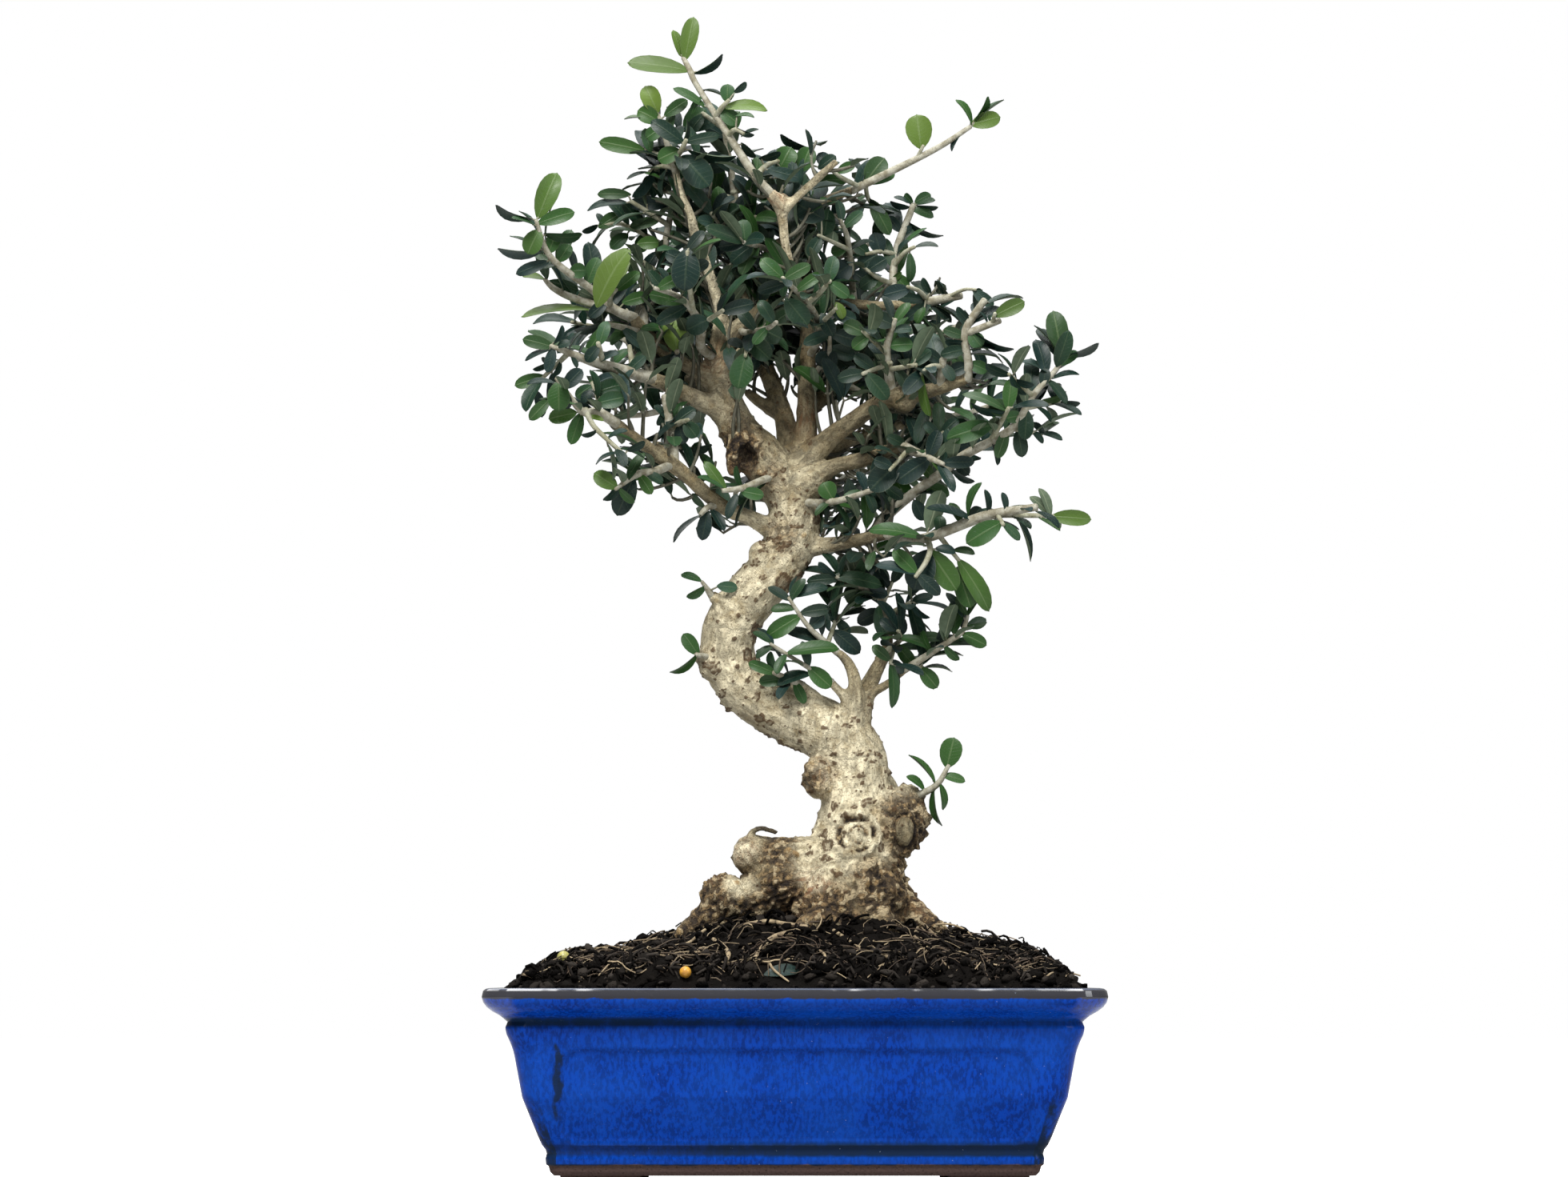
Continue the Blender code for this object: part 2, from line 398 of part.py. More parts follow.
            (-30, 217.5, -34.5, 222, 2.4, 0.2), (-28, 217, -23.5, 209.5, 3, 0.2),
        ],
    },
    "left_front": {
        "stub": 5.5, "pairs": 0,
        "twigs": [
            [(-27, -5, 268, 1.8), (-31.5, -12, 272, 1.7), (-31.5, -20.5, 279, 1.5), (-34, -26, 283.5, 1.2),
             (-38, -31.5, 288, 1), (-42, -36, 290.5, 0.9), (-47, -40, 291.5, 0.7)],
            [(-34, -26, 283.5, 1), (-35, -37, 290, 0.9), (-36, -44, 297, 0.8), (-36, -48.5, 304, 0.7)],
            [(-31.5, -20.5, 279, 1), (-27, -27.5, 282.5, 0.9), (-24, -33, 284, 0.7)],
        ],
        "leaves": [
            (-36, 305, -37, 290.6, 9, 0.0), (-47, 292, -38.5, 295.3, 4, 0.03),
            (-29, 281.5, -36.3, 277.4, 6.6, 0.02), (-25, 283.5, -13.5, 286.3, 4.8, 0.03),
            (-37.5, 286.5, -49, 289.3, 5, 0.35), (-36, 285.5, -46.5, 279.5, 4.6, 0.1),
            (-39, 289.5, -31.5, 287.3, 3, 0.05), (-36, 300, -43.5, 303.5, 4.4, 0.08),
            (-35.5, 297, -28.8, 300.5, 4, 0.1), (-43, 291, -49.5, 297.5, 4, 0.1),
            (-36, 304.5, -30.5, 311, 3.6, 0.15), (-26, 283, -20.5, 290.3, 4, 0.2),
        ],
    },
    "left_bright": {
        "stub": 4.4, "pairs": 0,
        "twigs": [
            [(-39.2, -4.8, 267.4, 1.3), (-39.4, -14, 270, 0.9)],
        ],
        "leaves": [(-39.5, 269.8, -41, 281.8, 7.6, 1.0), (-39.3, 269.5, -48, 266.5, 2.4, 0.1)],
    },
    "center_left": {
        "stub": 4.8, "pairs": 0,
        "twigs": [
            [(-19, -4, 277.5, 1.3), (-16, -10, 276.6, 1.1), (-13, -19, 277, 1), (-9, -27.5, 278, 0.9),
             (-6, -34.5, 280, 0.7)],
            [(-15, -12, 276.7, 0.9), (-15.5, -19, 272, 0.8), (-16.5, -23, 268.5, 0.6)],
        ],
        "leaves": [
            (-11, 277.5, -4.2, 274.3, 6.2, 0.1), (-15.5, 274, -8, 267.5, 6.4, 0.12),
            (-16.5, 269.5, -19, 257.4, 7.4, 0.25), (-13, 277.5, -19, 284.5, 4, 0.1),
            (-8, 279, -1.5, 283.5, 4.4, 0.05), (-7, 280, -12, 287.5, 4.2, 0.2),
            (-16, 271, -22.5, 274, 3, 0.2), (-9, 278.3, -14, 272.5, 3.4, 0.1),
        ],
    },
    "center_front": {
        "stub": 4.8, "pairs": 0,
        "twigs": [
            [(4.3, 5, 268, 1.4), (8, -3, 274, 1.3), (7.5, -12, 281, 1.2), (4, -23, 287, 1),
             (-0.5, -34.5, 291, 0.9), (-4, -44, 295, 0.7)],
            [(7.8, -8, 278.5, 1), (11, -13.5, 281.5, 0.9), (14, -20.5, 284.5, 0.7)],
            [(4.3, -22.5, 286.6, 1), (9, -29, 290.5, 0.9), (12, -36, 294, 0.7)],
        ],
        "leaves": [
            (-3, 288, 4.5, 278.8, 5.6, 0.0), (4, 292, 13.3, 290.8, 5, 0.6),
            (14, 286.8, 16.3, 281, 3.2, 0.85), (0, 290, 9.5, 296.8, 3.6, 0.1),
            (-4, 295, 5.5, 299.5, 4.2, 0.15), (12, 294, 18.5, 288.5, 4.2, 0.1),
            (-3, 293, -12.5, 290.3, 4, 0.15), (9, 283, 13, 275.3, 4.6, 0.05),
            (-4.5, 295, -11.5, 301.5, 4.8, 0.1), (12, 284, 21, 280.5, 4.4, 0.05),
            (11, 293.5, 13.5, 302.5, 4.6, 0.1),
        ],
    },
    "mast_side": {
        "stub": 5.0, "pairs": 0,
        "twigs": [
            [(4.3, 4.5, 260, 1.6), (8.5, -1, 264, 1.4), (11.5, -4, 267.5, 1), (11.5, -6, 272, 0.8),
             (12, -8, 277.5, 0.6)],
        ],
        "leaves": [
            (11.5, 270, 8, 265.3, 4.8, 0.04), (11.5, 271, 20.5, 268.3, 5.2, 0.05),
            (12, 277, 22.5, 273, 5, 0.03), (11.5, 269.5, 22, 261.8, 4.2, 0.02),
            (12, 277.5, 3, 272.5, 4, 0.1),
        ],
    },
    "upper_mid": {
        "stub": 0, "pairs": 21,
        "twigs": [
            [(-20, 8, 318, 1.4), (-20.5, 8, 326, 1.3), (-22, 6, 336, 1.1), (-23.5, 4, 344, 0.9)],
            [(-20.2, 8, 322, 1), (-27, 11, 323, 0.8), (-33, 13, 321, 0.7)],
            [(-20.3, 8, 324, 1), (-13, 12, 327, 0.8), (-7, 15, 329, 0.7)],
        ],
        "leaves": [
            (-27, 324, -25.3, 334.5, 5, 0.38), (-23, 343.5, -30.5, 347, 3.8, 0.1),
            (-21, 330, -15.3, 324.5, 4, 0.1), (-21.5, 333, -30.5, 331.5, 3.6, 0.1),
            (-32, 321, -29.5, 312, 4.8, 0.4),
        ],
    },
    "upper_dark": {
        "stub": 3.6, "pairs": 21,
        "twigs": [
            [(-18.5, 7, 302, 1.2), (-22, 0, 307, 1.1), (-25, -6, 312, 0.9), (-28, -11, 317, 0.7)],
            [(-22, 0, 307, 0.9), (-17, -6, 311, 0.8), (-13, -10, 316, 0.6)],
        ],
        "leaves": [
            (-24.6, 311.5, -34, 320.5, 4, 0.03), (-14, 315, -8.5, 319.5, 5, 0.0),
            (-26, 313, -18, 319.5, 6, 0.05), (-23, 308, -16.3, 301.5, 5, 0.04),
            (-15, 313, -9, 307.3, 4.6, 0.1), (-27, 315.5, -33.5, 311, 4.4, 0.5),
            (-21, 307, -29, 303.5, 4.8, 0.05), (-26, 314.5, -23.5, 324, 4.8, 0.04),
        ],
    },
    "diagonal_front": {
        "stub": 3.8, "pairs": 21,
        "twigs": [
            [(-8, 4, 303, 1.3), (-10, -5, 305, 1.1), (-13, -15, 306, 0.9), (-17, -26, 307, 0.7)],
        ],
        "leaves": [
            (-10, 305.3, -8, 312, 4, 0.1), (-14, 306, -21.5, 300, 5, 0.08),
            (-16.5, 307, -25.5, 305.5, 4.6, 0.05), (-16.5, 307, -17.5, 315, 5, 0.04),
        ],
    },
    "right_top": {
        "stub": 0, "pairs": 0,
        "twigs": [
            [(20, -2, 325, 1.5), (29, -4, 330, 1.4), (37, -6, 334, 1.3), (47, -8, 338.5, 1.1),
             (53, -9, 342, 1), (59.5, -10, 346.5, 0.8)],
            [(41.5, -7, 335.8, 0.7), (43.3, -9, 339.8, 0.6)],
            [(22, -2.5, 326.2, 0.9), (16, -8, 329, 0.8), (12, -11, 332, 0.6)],
            [(24, -3, 327.5, 0.8), (24.5, 3, 323, 0.8), (26, 8, 320, 0.6)],
        ],
        "leaves": [
            (43.3, 339.5, 41.2, 350.6, 8.4, 0.85), (59.5, 347, 69.6, 349.8, 5.4, 0.8),
            (60, 347, 55, 355.8, 2.6, 0.5), (60.5, 348, 66, 356.5, 2, 0.3), (61, 348, 71, 355.3, 2, 0.2),
            (23, 328, 30.5, 335.8, 6.8, 0.4), (24, 327, 34, 330.3, 3.6, 0.35),
            (24.5, 321.5, 32.2, 309.5, 5, 0.35), (18.5, 328, 7.5, 328.2, 3.8, 0.4),
            (24.3, 322.5, 33.5, 316.5, 1.6, 0.1), (26, 320, 17.5, 316.5, 2.2, 0.05),
            (12.5, 331.5, 8, 337.4, 4.4, 0.2), (14, 330.5, 20.5, 333.8, 3.4, 0.3),
            (56, 344, 53, 337.8, 1.8, 0.1),
        ],
    },
    "right_inner_twig": {
        "stub": 4.0, "pairs": 0,
        "twigs": [
            [(20, 4, 286, 1.3), (19.5, 3, 293, 1.1), (19.3, -3, 301, 1), (18, -9, 308, 0.9),
             (15.5, -15, 314.5, 0.7)],
            [(18.6, -6, 304.5, 0.9), (13, -12, 306.5, 0.8), (8, -19, 309.5, 0.6)],
        ],
        "leaves": [
            (16.5, 312, 23, 317.6, 3.6, 0.08), (15.5, 314.5, 14.5, 321.5, 3, 0.1),
            (11.5, 318.5, 10, 309.3, 5.8, 0.18), (10, 315, 1, 320, 8.6, 0.0),
            (8, 310, 5, 302.3, 4.4, 0.06), (14, 306.3, 11.5, 310.8, 3, 0.08),
            (17.5, 305, 12.3, 303.6, 4, 0.08), (19, 304.5, 26.3, 307.8, 2.2, 0.05),
            (19, 300, 12, 294.5, 8, 0.0), (16, 313.5, 8, 314.8, 2, 0.1), (19.5, 297, 26, 292.5, 5, 0.1),
            (8, 310, 3.5, 314.4, 3.2, 0.1),
        ],
    },
    "right_star": {
        "stub": 3.8, "pairs": 0,
        "twigs": [
            [(33, 0, 285.5, 1.4), (33, 4, 294, 1.4), (34, 8, 303, 1.3), (36.3, 10, 312, 1.2),
             (40, 11, 319.5, 1.1)],
            [(34, 8, 303, 0.9), (29, 6, 304, 0.8), (24, 4, 303, 0.6)],
            [(33.5, 6, 299, 0.9), (37, 3, 303.5, 0.8), (40.5, 1, 305.3, 0.6)],
            [(33, 4, 293, 0.9), (28, -1, 295, 0.8), (24, -4, 298, 0.6)],
        ],
        "leaves": [
            (39, 319, 32, 320.7, 1.8, 0.1), (39.5, 320, 33.5, 322.6, 1.8, 0.1),
            (40, 320.5, 37, 323.6, 2.8, 0.2), (40.5, 320.5, 46, 323.4, 3.6, 0.25),
            (41, 320, 47.3, 321.7, 2.6, 0.2), (41, 319.5, 48.6, 318.9, 1.4, 0.1),
            (40, 318.5, 47, 315.8, 3.2, 0.2), (38, 314, 50, 308.6, 1.2, 0.1),
            (40.5, 305.3, 48.5, 305.8, 2.2, 0.05), (36, 310.5, 31.5, 315.8, 3.4, 0.15),
            (36, 310, 39.5, 312.6, 2.4, 0.1), (25, 303, 20, 306.5, 4.4, 0.08),
            (29, 304, 27, 310.5, 5.6, 0.12), (28, 304, 21.5, 298.5, 5.6, 0.12),
            (30, 304, 35, 300, 4.6, 0.2), (38.5, 304, 39, 293.5, 3.2, 0.15),
            (33, 298, 30, 308.8, 4.8, 0.12), (24.5, 297.5, 31, 301.5, 5, 0.1),
            (33, 296, 38.3, 291, 4.6, 0.35), (32.5, 294, 36, 296.8, 2, 0.6),
            (34, 302, 38.5, 307.8, 1.8, 0.1), (28, 295.3, 22, 291.5, 4.6, 0.08),
        ],
    },
    "right_high_tip": {
        "stub": 0, "pairs": 0,
        "twigs": [
            [(43, -3, 286.5, 1.8), (50, -5, 288, 1.7), (56, -7, 289.2, 1.4)],
            [(45, -3.6, 287, 1), (42, -7, 290.5, 0.8), (38, -10, 292, 0.6)],
            [(52, -5.7, 288.4, 0.8), (57, -11, 291, 0.6), (61, -15, 291, 0.5)],
        ],
        "leaves": [
            (60, 291, 67, 285.2, 3.8, 0.1), (50, 289, 48, 294.6, 1.4, 0.1), (52, 289, 47.8, 294, 1.4, 0.1),
            (46, 289.5, 43, 295, 2.6, 0.05), (45, 285.5, 53, 280, 3.2, 0.05),
            (47, 286, 57, 278.8, 1.8, 0.05), (44, 285, 41, 279.5, 3, 0.08),
            (55, 288.5, 49, 285, 2.6, 0.05), (45, 288, 34.5, 288.3, 3.4, 0.1),
            (39, 291.5, 30, 289, 5, 0.06), (46.5, 286.5, 37.5, 280.8, 4, 0.1),
        ],
    },
    "right_fork": {
        "stub": 0, "pairs": 0,
        "twigs": [
            [(58, -22, 261, 1.8), (58.5, -22, 266, 1.5), (58, -20.5, 272, 1.4), (57.5, -19, 277, 1.4),
             (60.5, -17.5, 282, 1.3), (64, -16, 287.5, 1.2)],
            [(57.5, -19.5, 276, 1.3), (62.5, -22, 278, 1.3), (69, -24.5, 280.7, 1.1)],
            [(66.5, -23.5, 279.7, 0.7), (67.5, -27.5, 282.8, 0.6)],
        ],
        "leaves": [
            (67.5, 282.8, 77.5, 287, 5, 0.75), (60, 276.5, 73.5, 270, 1.4, 0.1),
            (59, 276, 63, 271.5, 5, 0.1), (58.5, 270.5, 67.3, 270.8, 1.4, 0.1),
            (58.5, 269, 69, 267.9, 1.8, 0.1), (58, 271, 49, 268.8, 4, 0.05),
            (58, 273, 50.5, 273.5, 2.6, 0.08), (59, 280, 54.5, 284.8, 2.8, 0.1),
            (59.5, 281, 57, 284.2, 1.2, 0.1), (65, 279.5, 62.5, 283.5, 1.2, 0.1),
            (57.5, 275, 50, 277.5, 3.4, 0.06), (58.5, 266, 65, 263.5, 4.2, 0.1),
            (58.3, 265.5, 52, 262.8, 4.4, 0.08), (66, 280, 65.5, 282.3, 1, 0.1),
        ],
    },
    "right_mid_up": {
        "stub": 5.2, "pairs": 0,
        "twigs": [
            [(33, -15, 254.5, 1.8), (32.5, -16, 262, 1.6), (31, -17.5, 270, 1.4), (32, -20.5, 276, 1.1),
             (34, -23, 281, 0.7)],
            [(32.2, -17, 264, 1), (36.5, -23, 265, 0.9), (41, -29, 265.5, 0.7)],
            [(32, -17, 266, 1), (27, -23, 264, 0.9), (23, -29, 262.5, 0.7)],
            [(31.2, -17.5, 269.5, 1), (27, -23, 273.5, 0.9), (23, -29, 277, 0.7)],
        ],
        "leaves": [
            (44.5, 265.8, 37.5, 266, 5.6, 0.02), (39, 265, 46, 270.5, 4, 0.06),
            (24, 262.5, 31.5, 253.8, 5.6, 0.15), (24, 262.7, 14.5, 260.8, 4.4, 0.1),
            (27, 264, 20, 268.8, 4.2, 0.2), (34, 281, 39, 286.5, 3.2, 0.3),
            (33, 279, 26.5, 281.8, 5.4, 0.05), (31.5, 272, 40, 272.5, 4.6, 0.08),
            (32.5, 277, 39.5, 277.8, 3, 0.12), (24, 276.5, 16.5, 279.5, 4.8, 0.06),
            (25, 275.5, 19.5, 271, 4.4, 0.06), (34.5, 263.5, 38, 257.6, 3.8, 0.1),
        ],
    },
    "right_light": {
        "stub": 5.0, "pairs": 0,
        "twigs": [
            [(49, -20.5, 257.7, 1.5), (49.5, -23, 263, 1.4), (50, -24.5, 267.5, 1.3)],
            [(49.7, -24, 265.2, 0.9), (45.5, -29, 264.8, 0.8), (42.5, -32, 262.5, 0.6)],
        ],
        "leaves": [
            (42.8, 262.5, 46.2, 248, 2.8, 0.7), (50, 267.3, 43, 270.8, 3.6, 0.06),
            (50, 267.3, 56.5, 270.5, 3, 0.06), (49.8, 266, 53.5, 260, 3.6, 0.2),
        ],
    },
    "right_end": {
        "stub": 4.2, "pairs": 0,
        "twigs": [
            [(26, -11, 207.3, 1.9), (31, -10, 214.5, 1.8), (39, -15, 221.5, 1.7), (50, -24.5, 229.5, 1.7),
             (57, -29, 235, 1.6), (66, -33, 240, 1.5), (73, -36, 244, 1.4), (77, -37, 249, 1.2),
             (80, -37, 255, 1.1), (84.5, -37, 259.5, 1), (88, -36, 264, 0.9), (90, -34.5, 268.5, 0.7)],
            [(66, -33, 240, 1.1), (70, -40, 246, 0.9), (72, -45.5, 251, 0.7)],
            [(78, -37, 251, 0.9), (84, -33, 252.5, 0.8), (89, -30, 253, 0.6)],
            [(57, -29, 235, 1), (60, -22, 237.5, 0.8), (64, -15, 240, 0.6)],
            [(80, -37, 255, 0.9), (75, -43, 259, 0.8), (72, -47, 262.5, 0.6)],
            [(73, -36, 244, 0.9), (78, -33, 243, 0.8), (83, -30, 242, 0.6)],
        ],
        "leaves": [
            (89.8, 269, 87, 284, 6.8, 0.5), (89.5, 268.5, 80.3, 279, 2, 0.08),
            (90.2, 268.5, 102.3, 272.3, 1.6, 0.1), (88.5, 265, 95.3, 270, 3.6, 0.3),
            (86, 262.5, 76, 267, 2.6, 0.1), (83, 258.5, 84.5, 264.5, 3.6, 0.1),
            (86, 260, 91.5, 252.3, 3, 0.1), (83, 253.5, 91.3, 256, 2, 0.6), (89, 253, 96, 252.3, 2, 0.1),
            (86, 252.6, 96.3, 248.3, 2.4, 0.1), (81, 251.5, 86.3, 246.3, 2, 0.1),
            (78, 250.5, 77.3, 240, 5, 0.03), (82, 242.3, 90, 240, 2.4, 0.1),
            (80, 243, 83.3, 239, 2.4, 0.1), (75, 244, 76.5, 234.3, 4.6, 0.15),
            (72, 243, 68, 233.8, 4, 0.4), (66, 240, 68, 231.6, 2, 0.1), (67, 245.5, 51, 240.5, 6.4, 0.07),
            (71, 248, 66.5, 253.5, 5.4, 0.12), (73, 262, 64, 265.3, 2.6, 0.08),
            (74, 260.5, 80.5, 258.5, 2.2, 0.08), (72.5, 262.5, 77.3, 254.8, 2, 0.1),
            (72, 251, 73, 261, 4.6, 0.35), (71, 250, 56.5, 256, 3.2, 0.15), (71, 249.5, 59, 252, 2, 0.1),
            (63.5, 239.5, 52, 236.8, 4.2, 0.1), (50, 229.5, 55, 236, 4, 0.1),
            (52, 231, 60, 225.3, 1.6, 0.1), (54, 233, 58.5, 228.3, 4, 0.06),
            (47, 226.5, 43, 231.5, 3.4, 0.6), (44, 224, 52, 221.5, 4.4, 0.2),
            (38, 217.5, 33.5, 223, 4, 0.12), (40, 220, 43.5, 213, 4.4, 0.15),
            (84, 242, 79.5, 246, 2.6, 0.1), (60, 237.3, 70, 237.8, 3, 0.1), (77, 248, 71, 247.3, 4, 0.08),
        ],
    },
    "right_mid_low": {
        "stub": 0, "pairs": 0,
        "twigs": [
            [(36, -17.5, 238, 2), (41, -23, 236, 1.4), (46, -29, 233.5, 1.1), (50, -33, 232, 0.7)],
            [(38.5, -20.5, 237, 1), (35, -29, 233, 0.8), (32, -34.5, 230, 0.6)],
            [(43, -25.5, 235, 0.8), (47.5, -24.5, 239.5, 0.7), (50, -24.5, 243, 0.6)],
        ],
        "leaves": [
            (35, 233.5, 25.3, 223, 8, 0.2), (45, 233, 34, 226, 6.6, 0.0), (50, 232, 60.5, 232.8, 4, 0.1),
            (45, 234.5, 48.5, 243.5, 4.8, 0.02), (46, 233.5, 50, 229, 2.8, 0.6),
            (33, 231, 26.5, 233.5, 3.8, 0.15), (49.5, 242.5, 55, 247.5, 3.8, 0.1),
            (49, 241, 43.5, 246, 3.4, 0.15), (37, 237.5, 31, 241.5, 3.6, 0.15),
        ],
    },
    "right_mid_back": {
        "stub": 0, "pairs": 21,
        "twigs": [
            [(42, 15, 246.5, 1.5), (50, 18, 247.5, 1.2), (58, 20, 249, 1), (66, 21, 252, 0.7)],
            [(46, 16.5, 247, 0.9), (48, 11, 252, 0.8), (49, 7, 257, 0.6)],
        ],
        "leaves": [(66, 252, 74, 256.5, 4, 0.1), (66, 252, 71, 246.5, 4, 0.15), (49, 256, 44, 261, 4, 0.1)],
    },
    "right_small": {
        "stub": 9.6, "pairs": 0,
        "twigs": [
            [(-1, -1, 219, 1.6), (8, -11, 219.3, 1.3), (14, -15, 219.5, 1.2), (23, -19, 222.5, 1.1),
             (31, -22, 225, 0.8)],
        ],
        "leaves": [
            (13, 219.6, 9.5, 225.8, 6, 0.45), (16, 220.3, 24.3, 222, 3, 0.3),
            (12, 219.5, 7, 214.3, 2.6, 0.3), (13, 219.5, 18.3, 209, 2.2, 0.2),
            (24, 222.8, 21, 229.5, 3, 0.2), (30, 224.6, 36.5, 220.3, 3.8, 0.15),
            (30.5, 225, 36.5, 230, 2.4, 0.1), (24, 222.5, 27, 215.5, 3, 0.15),
        ],
    },
    "right_low": {
        "stub": 0, "pairs": 0,
        "twigs": [
            [(31, -15, 208.5, 2), (39, -20.5, 206.5, 1.9), (47, -26, 208, 1.7), (56, -31.5, 211.5, 1.7),
             (64, -36, 214.5, 1.8), (72, -40, 216, 1.5), (81, -44, 217.3, 1.3)],
            [(66, -37, 214.8, 1.1), (74, -36, 214, 1), (87, -34.5, 214.3, 0.7)],
            [(44, -24, 207.3, 1.1), (45.5, -30, 203.5, 1), (44, -33, 199, 0.9), (40.5, -34.5, 194, 0.7)],
            [(48, -26.5, 208.3, 1), (52, -24.5, 204, 0.9), (55.5, -23, 199, 0.7)],
            [(68, -38, 215.2, 0.9), (70, -44, 211.5, 0.7)],
        ],
        "leaves": [
            (43, 207.5, 25, 210.5, 4.4, 0.08), (49, 209, 48.5, 214.8, 4, 0.2),
            (59, 212.5, 62.5, 217.5, 4.4, 0.2), (60, 213, 44, 217, 3, 0.06),
            (65, 215, 64, 223.3, 2.4, 0.15), (67, 215.5, 76, 217.3, 2.6, 0.1),
            (71, 216, 69.5, 222.7, 2.4, 0.1), (69.5, 212.5, 57.5, 205.3, 6.6, 0.4),
            (74.5, 214, 79, 199, 2, 0.1), (87, 214.5, 99.6, 213.4, 5, 0.75), (86, 214.3, 79, 221.2, 3, -1),
            (86.5, 214.5, 82.3, 224, 3, -1), (55, 200.5, 65.5, 182.6, 6, 0.3),
            (47, 203.5, 54, 202.3, 3, 0.2), (44, 203, 40, 189.5, 9.4, 0.08),
            (45.5, 203.5, 54.3, 189.5, 7.6, 0.3), (54.5, 197.5, 59, 183.5, 6.6, 0.25),
            (40.5, 195, 33, 203.3, 4.8, 0.15), (40, 194.5, 27, 198.3, 3.4, 0.2),
            (40.5, 194.3, 48.8, 188, 4.4, 0.2), (53, 203, 60.5, 202, 2.8, 0.3),
            (56, 211.5, 52, 219, 3, 0.15), (70, 211.5, 75.5, 206.3, 3, 0.15),
        ],
    },
    "shoot_a_top": {
        "stub": 0, "pairs": 0,
        "twigs": [
            [(31, 3, 178, 1.6), (30, 1, 184, 1.3), (27, -2, 188, 1), (21, -5, 191, 0.8),
             (14, -8, 194, 0.7)],
            [(30.5, 2, 181, 1), (35, -3, 184, 0.9), (39, -7, 185.5, 0.7)],
            [(29.5, 0.5, 185, 0.9), (32, 6, 189, 0.8), (33, 11, 193, 0.6)],
        ],
        "leaves": [
            (13, 194.5, 29.5, 191.3, 4.8, 0.2), (23, 190, 17.5, 185.5, 7.4, 0.35),
            (24, 189.5, 31.3, 188, 3.8, 0.2), (30, 183.5, 21, 178.5, 5, 0.04),
            (33, 183, 36, 174.3, 5.4, 0.04), (38.5, 185, 43, 167.5, 4.6, 0.2),
            (39, 185.5, 44.8, 180, 2, 0.1), (14, 194, 8, 199, 2.6, 0.1), (15, 194, 19.3, 203, 2.4, 0.15),
            (14, 194, 4, 192.5, 3.8, 0.2), (39, 185.5, 46.5, 187.5, 3, 0.2),
            (32.5, 192, 36.5, 198.5, 3.6, 0.2), (32, 190.5, 26.5, 197.3, 3.4, 0.2),
        ],
    },
    "shoot_a_side": {
        "stub": 4.0, "pairs": 0,
        "twigs": [
            [(30, 4, 168.5, 1.2), (33, -2, 170.5, 1), (35.5, -7, 173, 0.8), (34.5, -11, 176, 0.6)],
            [(33.4, -3, 170.8, 0.8), (32, -9, 168, 0.7), (32, -13.5, 165, 0.6)],
        ],
        "leaves": [
            (34.5, 174, 45.6, 170.6, 3, 0.4), (34, 171.5, 40, 164, 4.4, 0.15),
            (31.5, 166.5, 36.3, 161.5, 3.2, 0.15), (34.5, 176, 28.5, 180, 3.4, 0.2),
            (31.5, 166, 26, 171, 3.6, 0.15), (32, 165, 33, 150, 3.6, 0.25),
        ],
    },
    "shoot_b_top": {
        "stub": 0, "pairs": 0,
        "twigs": [
            [(14, -7, 169, 1.3), (10, -9, 172.5, 1.1), (5, -11, 177, 0.9), (1, -12, 182, 0.8),
             (-2, -13.5, 187, 0.6)],
            [(11, -8.5, 171.5, 0.9), (13, -5, 177, 0.8), (14.5, -2, 181, 0.7)],
        ],
        "leaves": [
            (2, 181, -9.3, 174, 5.6, 0.4), (2, 182, 12, 183.5, 4, 0.2), (5, 176.5, 9.5, 181, 4.6, 0.2),
            (12, 172, -3.3, 176, 3.8, 0.15), (-2, 187.3, 11.3, 191, 3.8, 0.2),
            (-1.5, 186, -9, 190.5, 3, 0.2), (13, 176, 22, 168.5, 5.6, 0.03),
            (14, 180, 18.5, 174.5, 3.4, 0.1), (0, 183, -8, 183, 3, 0.3), (-2, 187, 3.5, 193.5, 3.2, 0.2),
        ],
    },
    "shoot_c_top": {
        "stub": 0, "pairs": 0,
        "twigs": [
            [(12, -7, 159, 1.3), (8, -9, 161, 1.1), (4, -11, 164, 0.8), (-2, -13.5, 167.5, 0.7),
             (-8, -15, 171.5, 0.6)],
        ],
        "leaves": [
            (-3, 168, 15, 170.2, 4.4, 0.1), (4, 163, 12.3, 157, 5.4, 0.4), (-8, 172, -14, 175.5, 2.6, 0.2),
            (-7, 171, -13, 167, 2.8, 0.2), (5, 164, 2.5, 172.5, 3.2, 0.2), (-3, 168, -6, 161.3, 3, 0.25),
        ],
    },
    "shoot_d_top": {
        "stub": 0, "pairs": 0,
        "twigs": [
            [(2, -7, 158, 1.4), (-2, -10, 160.5, 1.1), (-7, -13.5, 162, 0.8)],
        ],
        "leaves": [
            (-7, 162, -15.5, 165.3, 3.6, 0.3), (-2, 161, -12, 158.8, 4.2, 0.25),
            (-6, 162, -8.3, 169, 2.8, 0.2), (0, 159.5, 3.5, 151.5, 3.4, 0.3),
        ],
    },
    "shoot_e_top": {
        "stub": 0, "pairs": 0,
        "twigs": [
            [(37, -8, 163, 1.3), (45, -11, 168, 1.1), (51, -13.5, 171.8, 1), (56, -15, 175.3, 0.9),
             (58, -16, 181, 0.6)],
            [(39, -8.7, 164.2, 0.9), (43, -5, 163.5, 0.7)],
        ],
        "leaves": [
            (56, 175, 64.3, 171, 4.4, 0.5), (57.5, 177.5, 64.3, 178.5, 2, 0.4),
            (42, 164, 47.8, 156.8, 5, 0.5), (46, 168.5, 42.5, 176, 2.6, 0.3),
            (58, 181, 54.5, 187.8, 2.6, 0.5), (58, 181, 62.3, 186.8, 2, 0.5), (50, 171, 55, 166, 2.8, 0.4),
            (51, 172, 48.5, 178.5, 2, 0.4),
        ],
    },
    "bend_snag_twig": {
        "stub": 0, "pairs": 0,
        "twigs": [
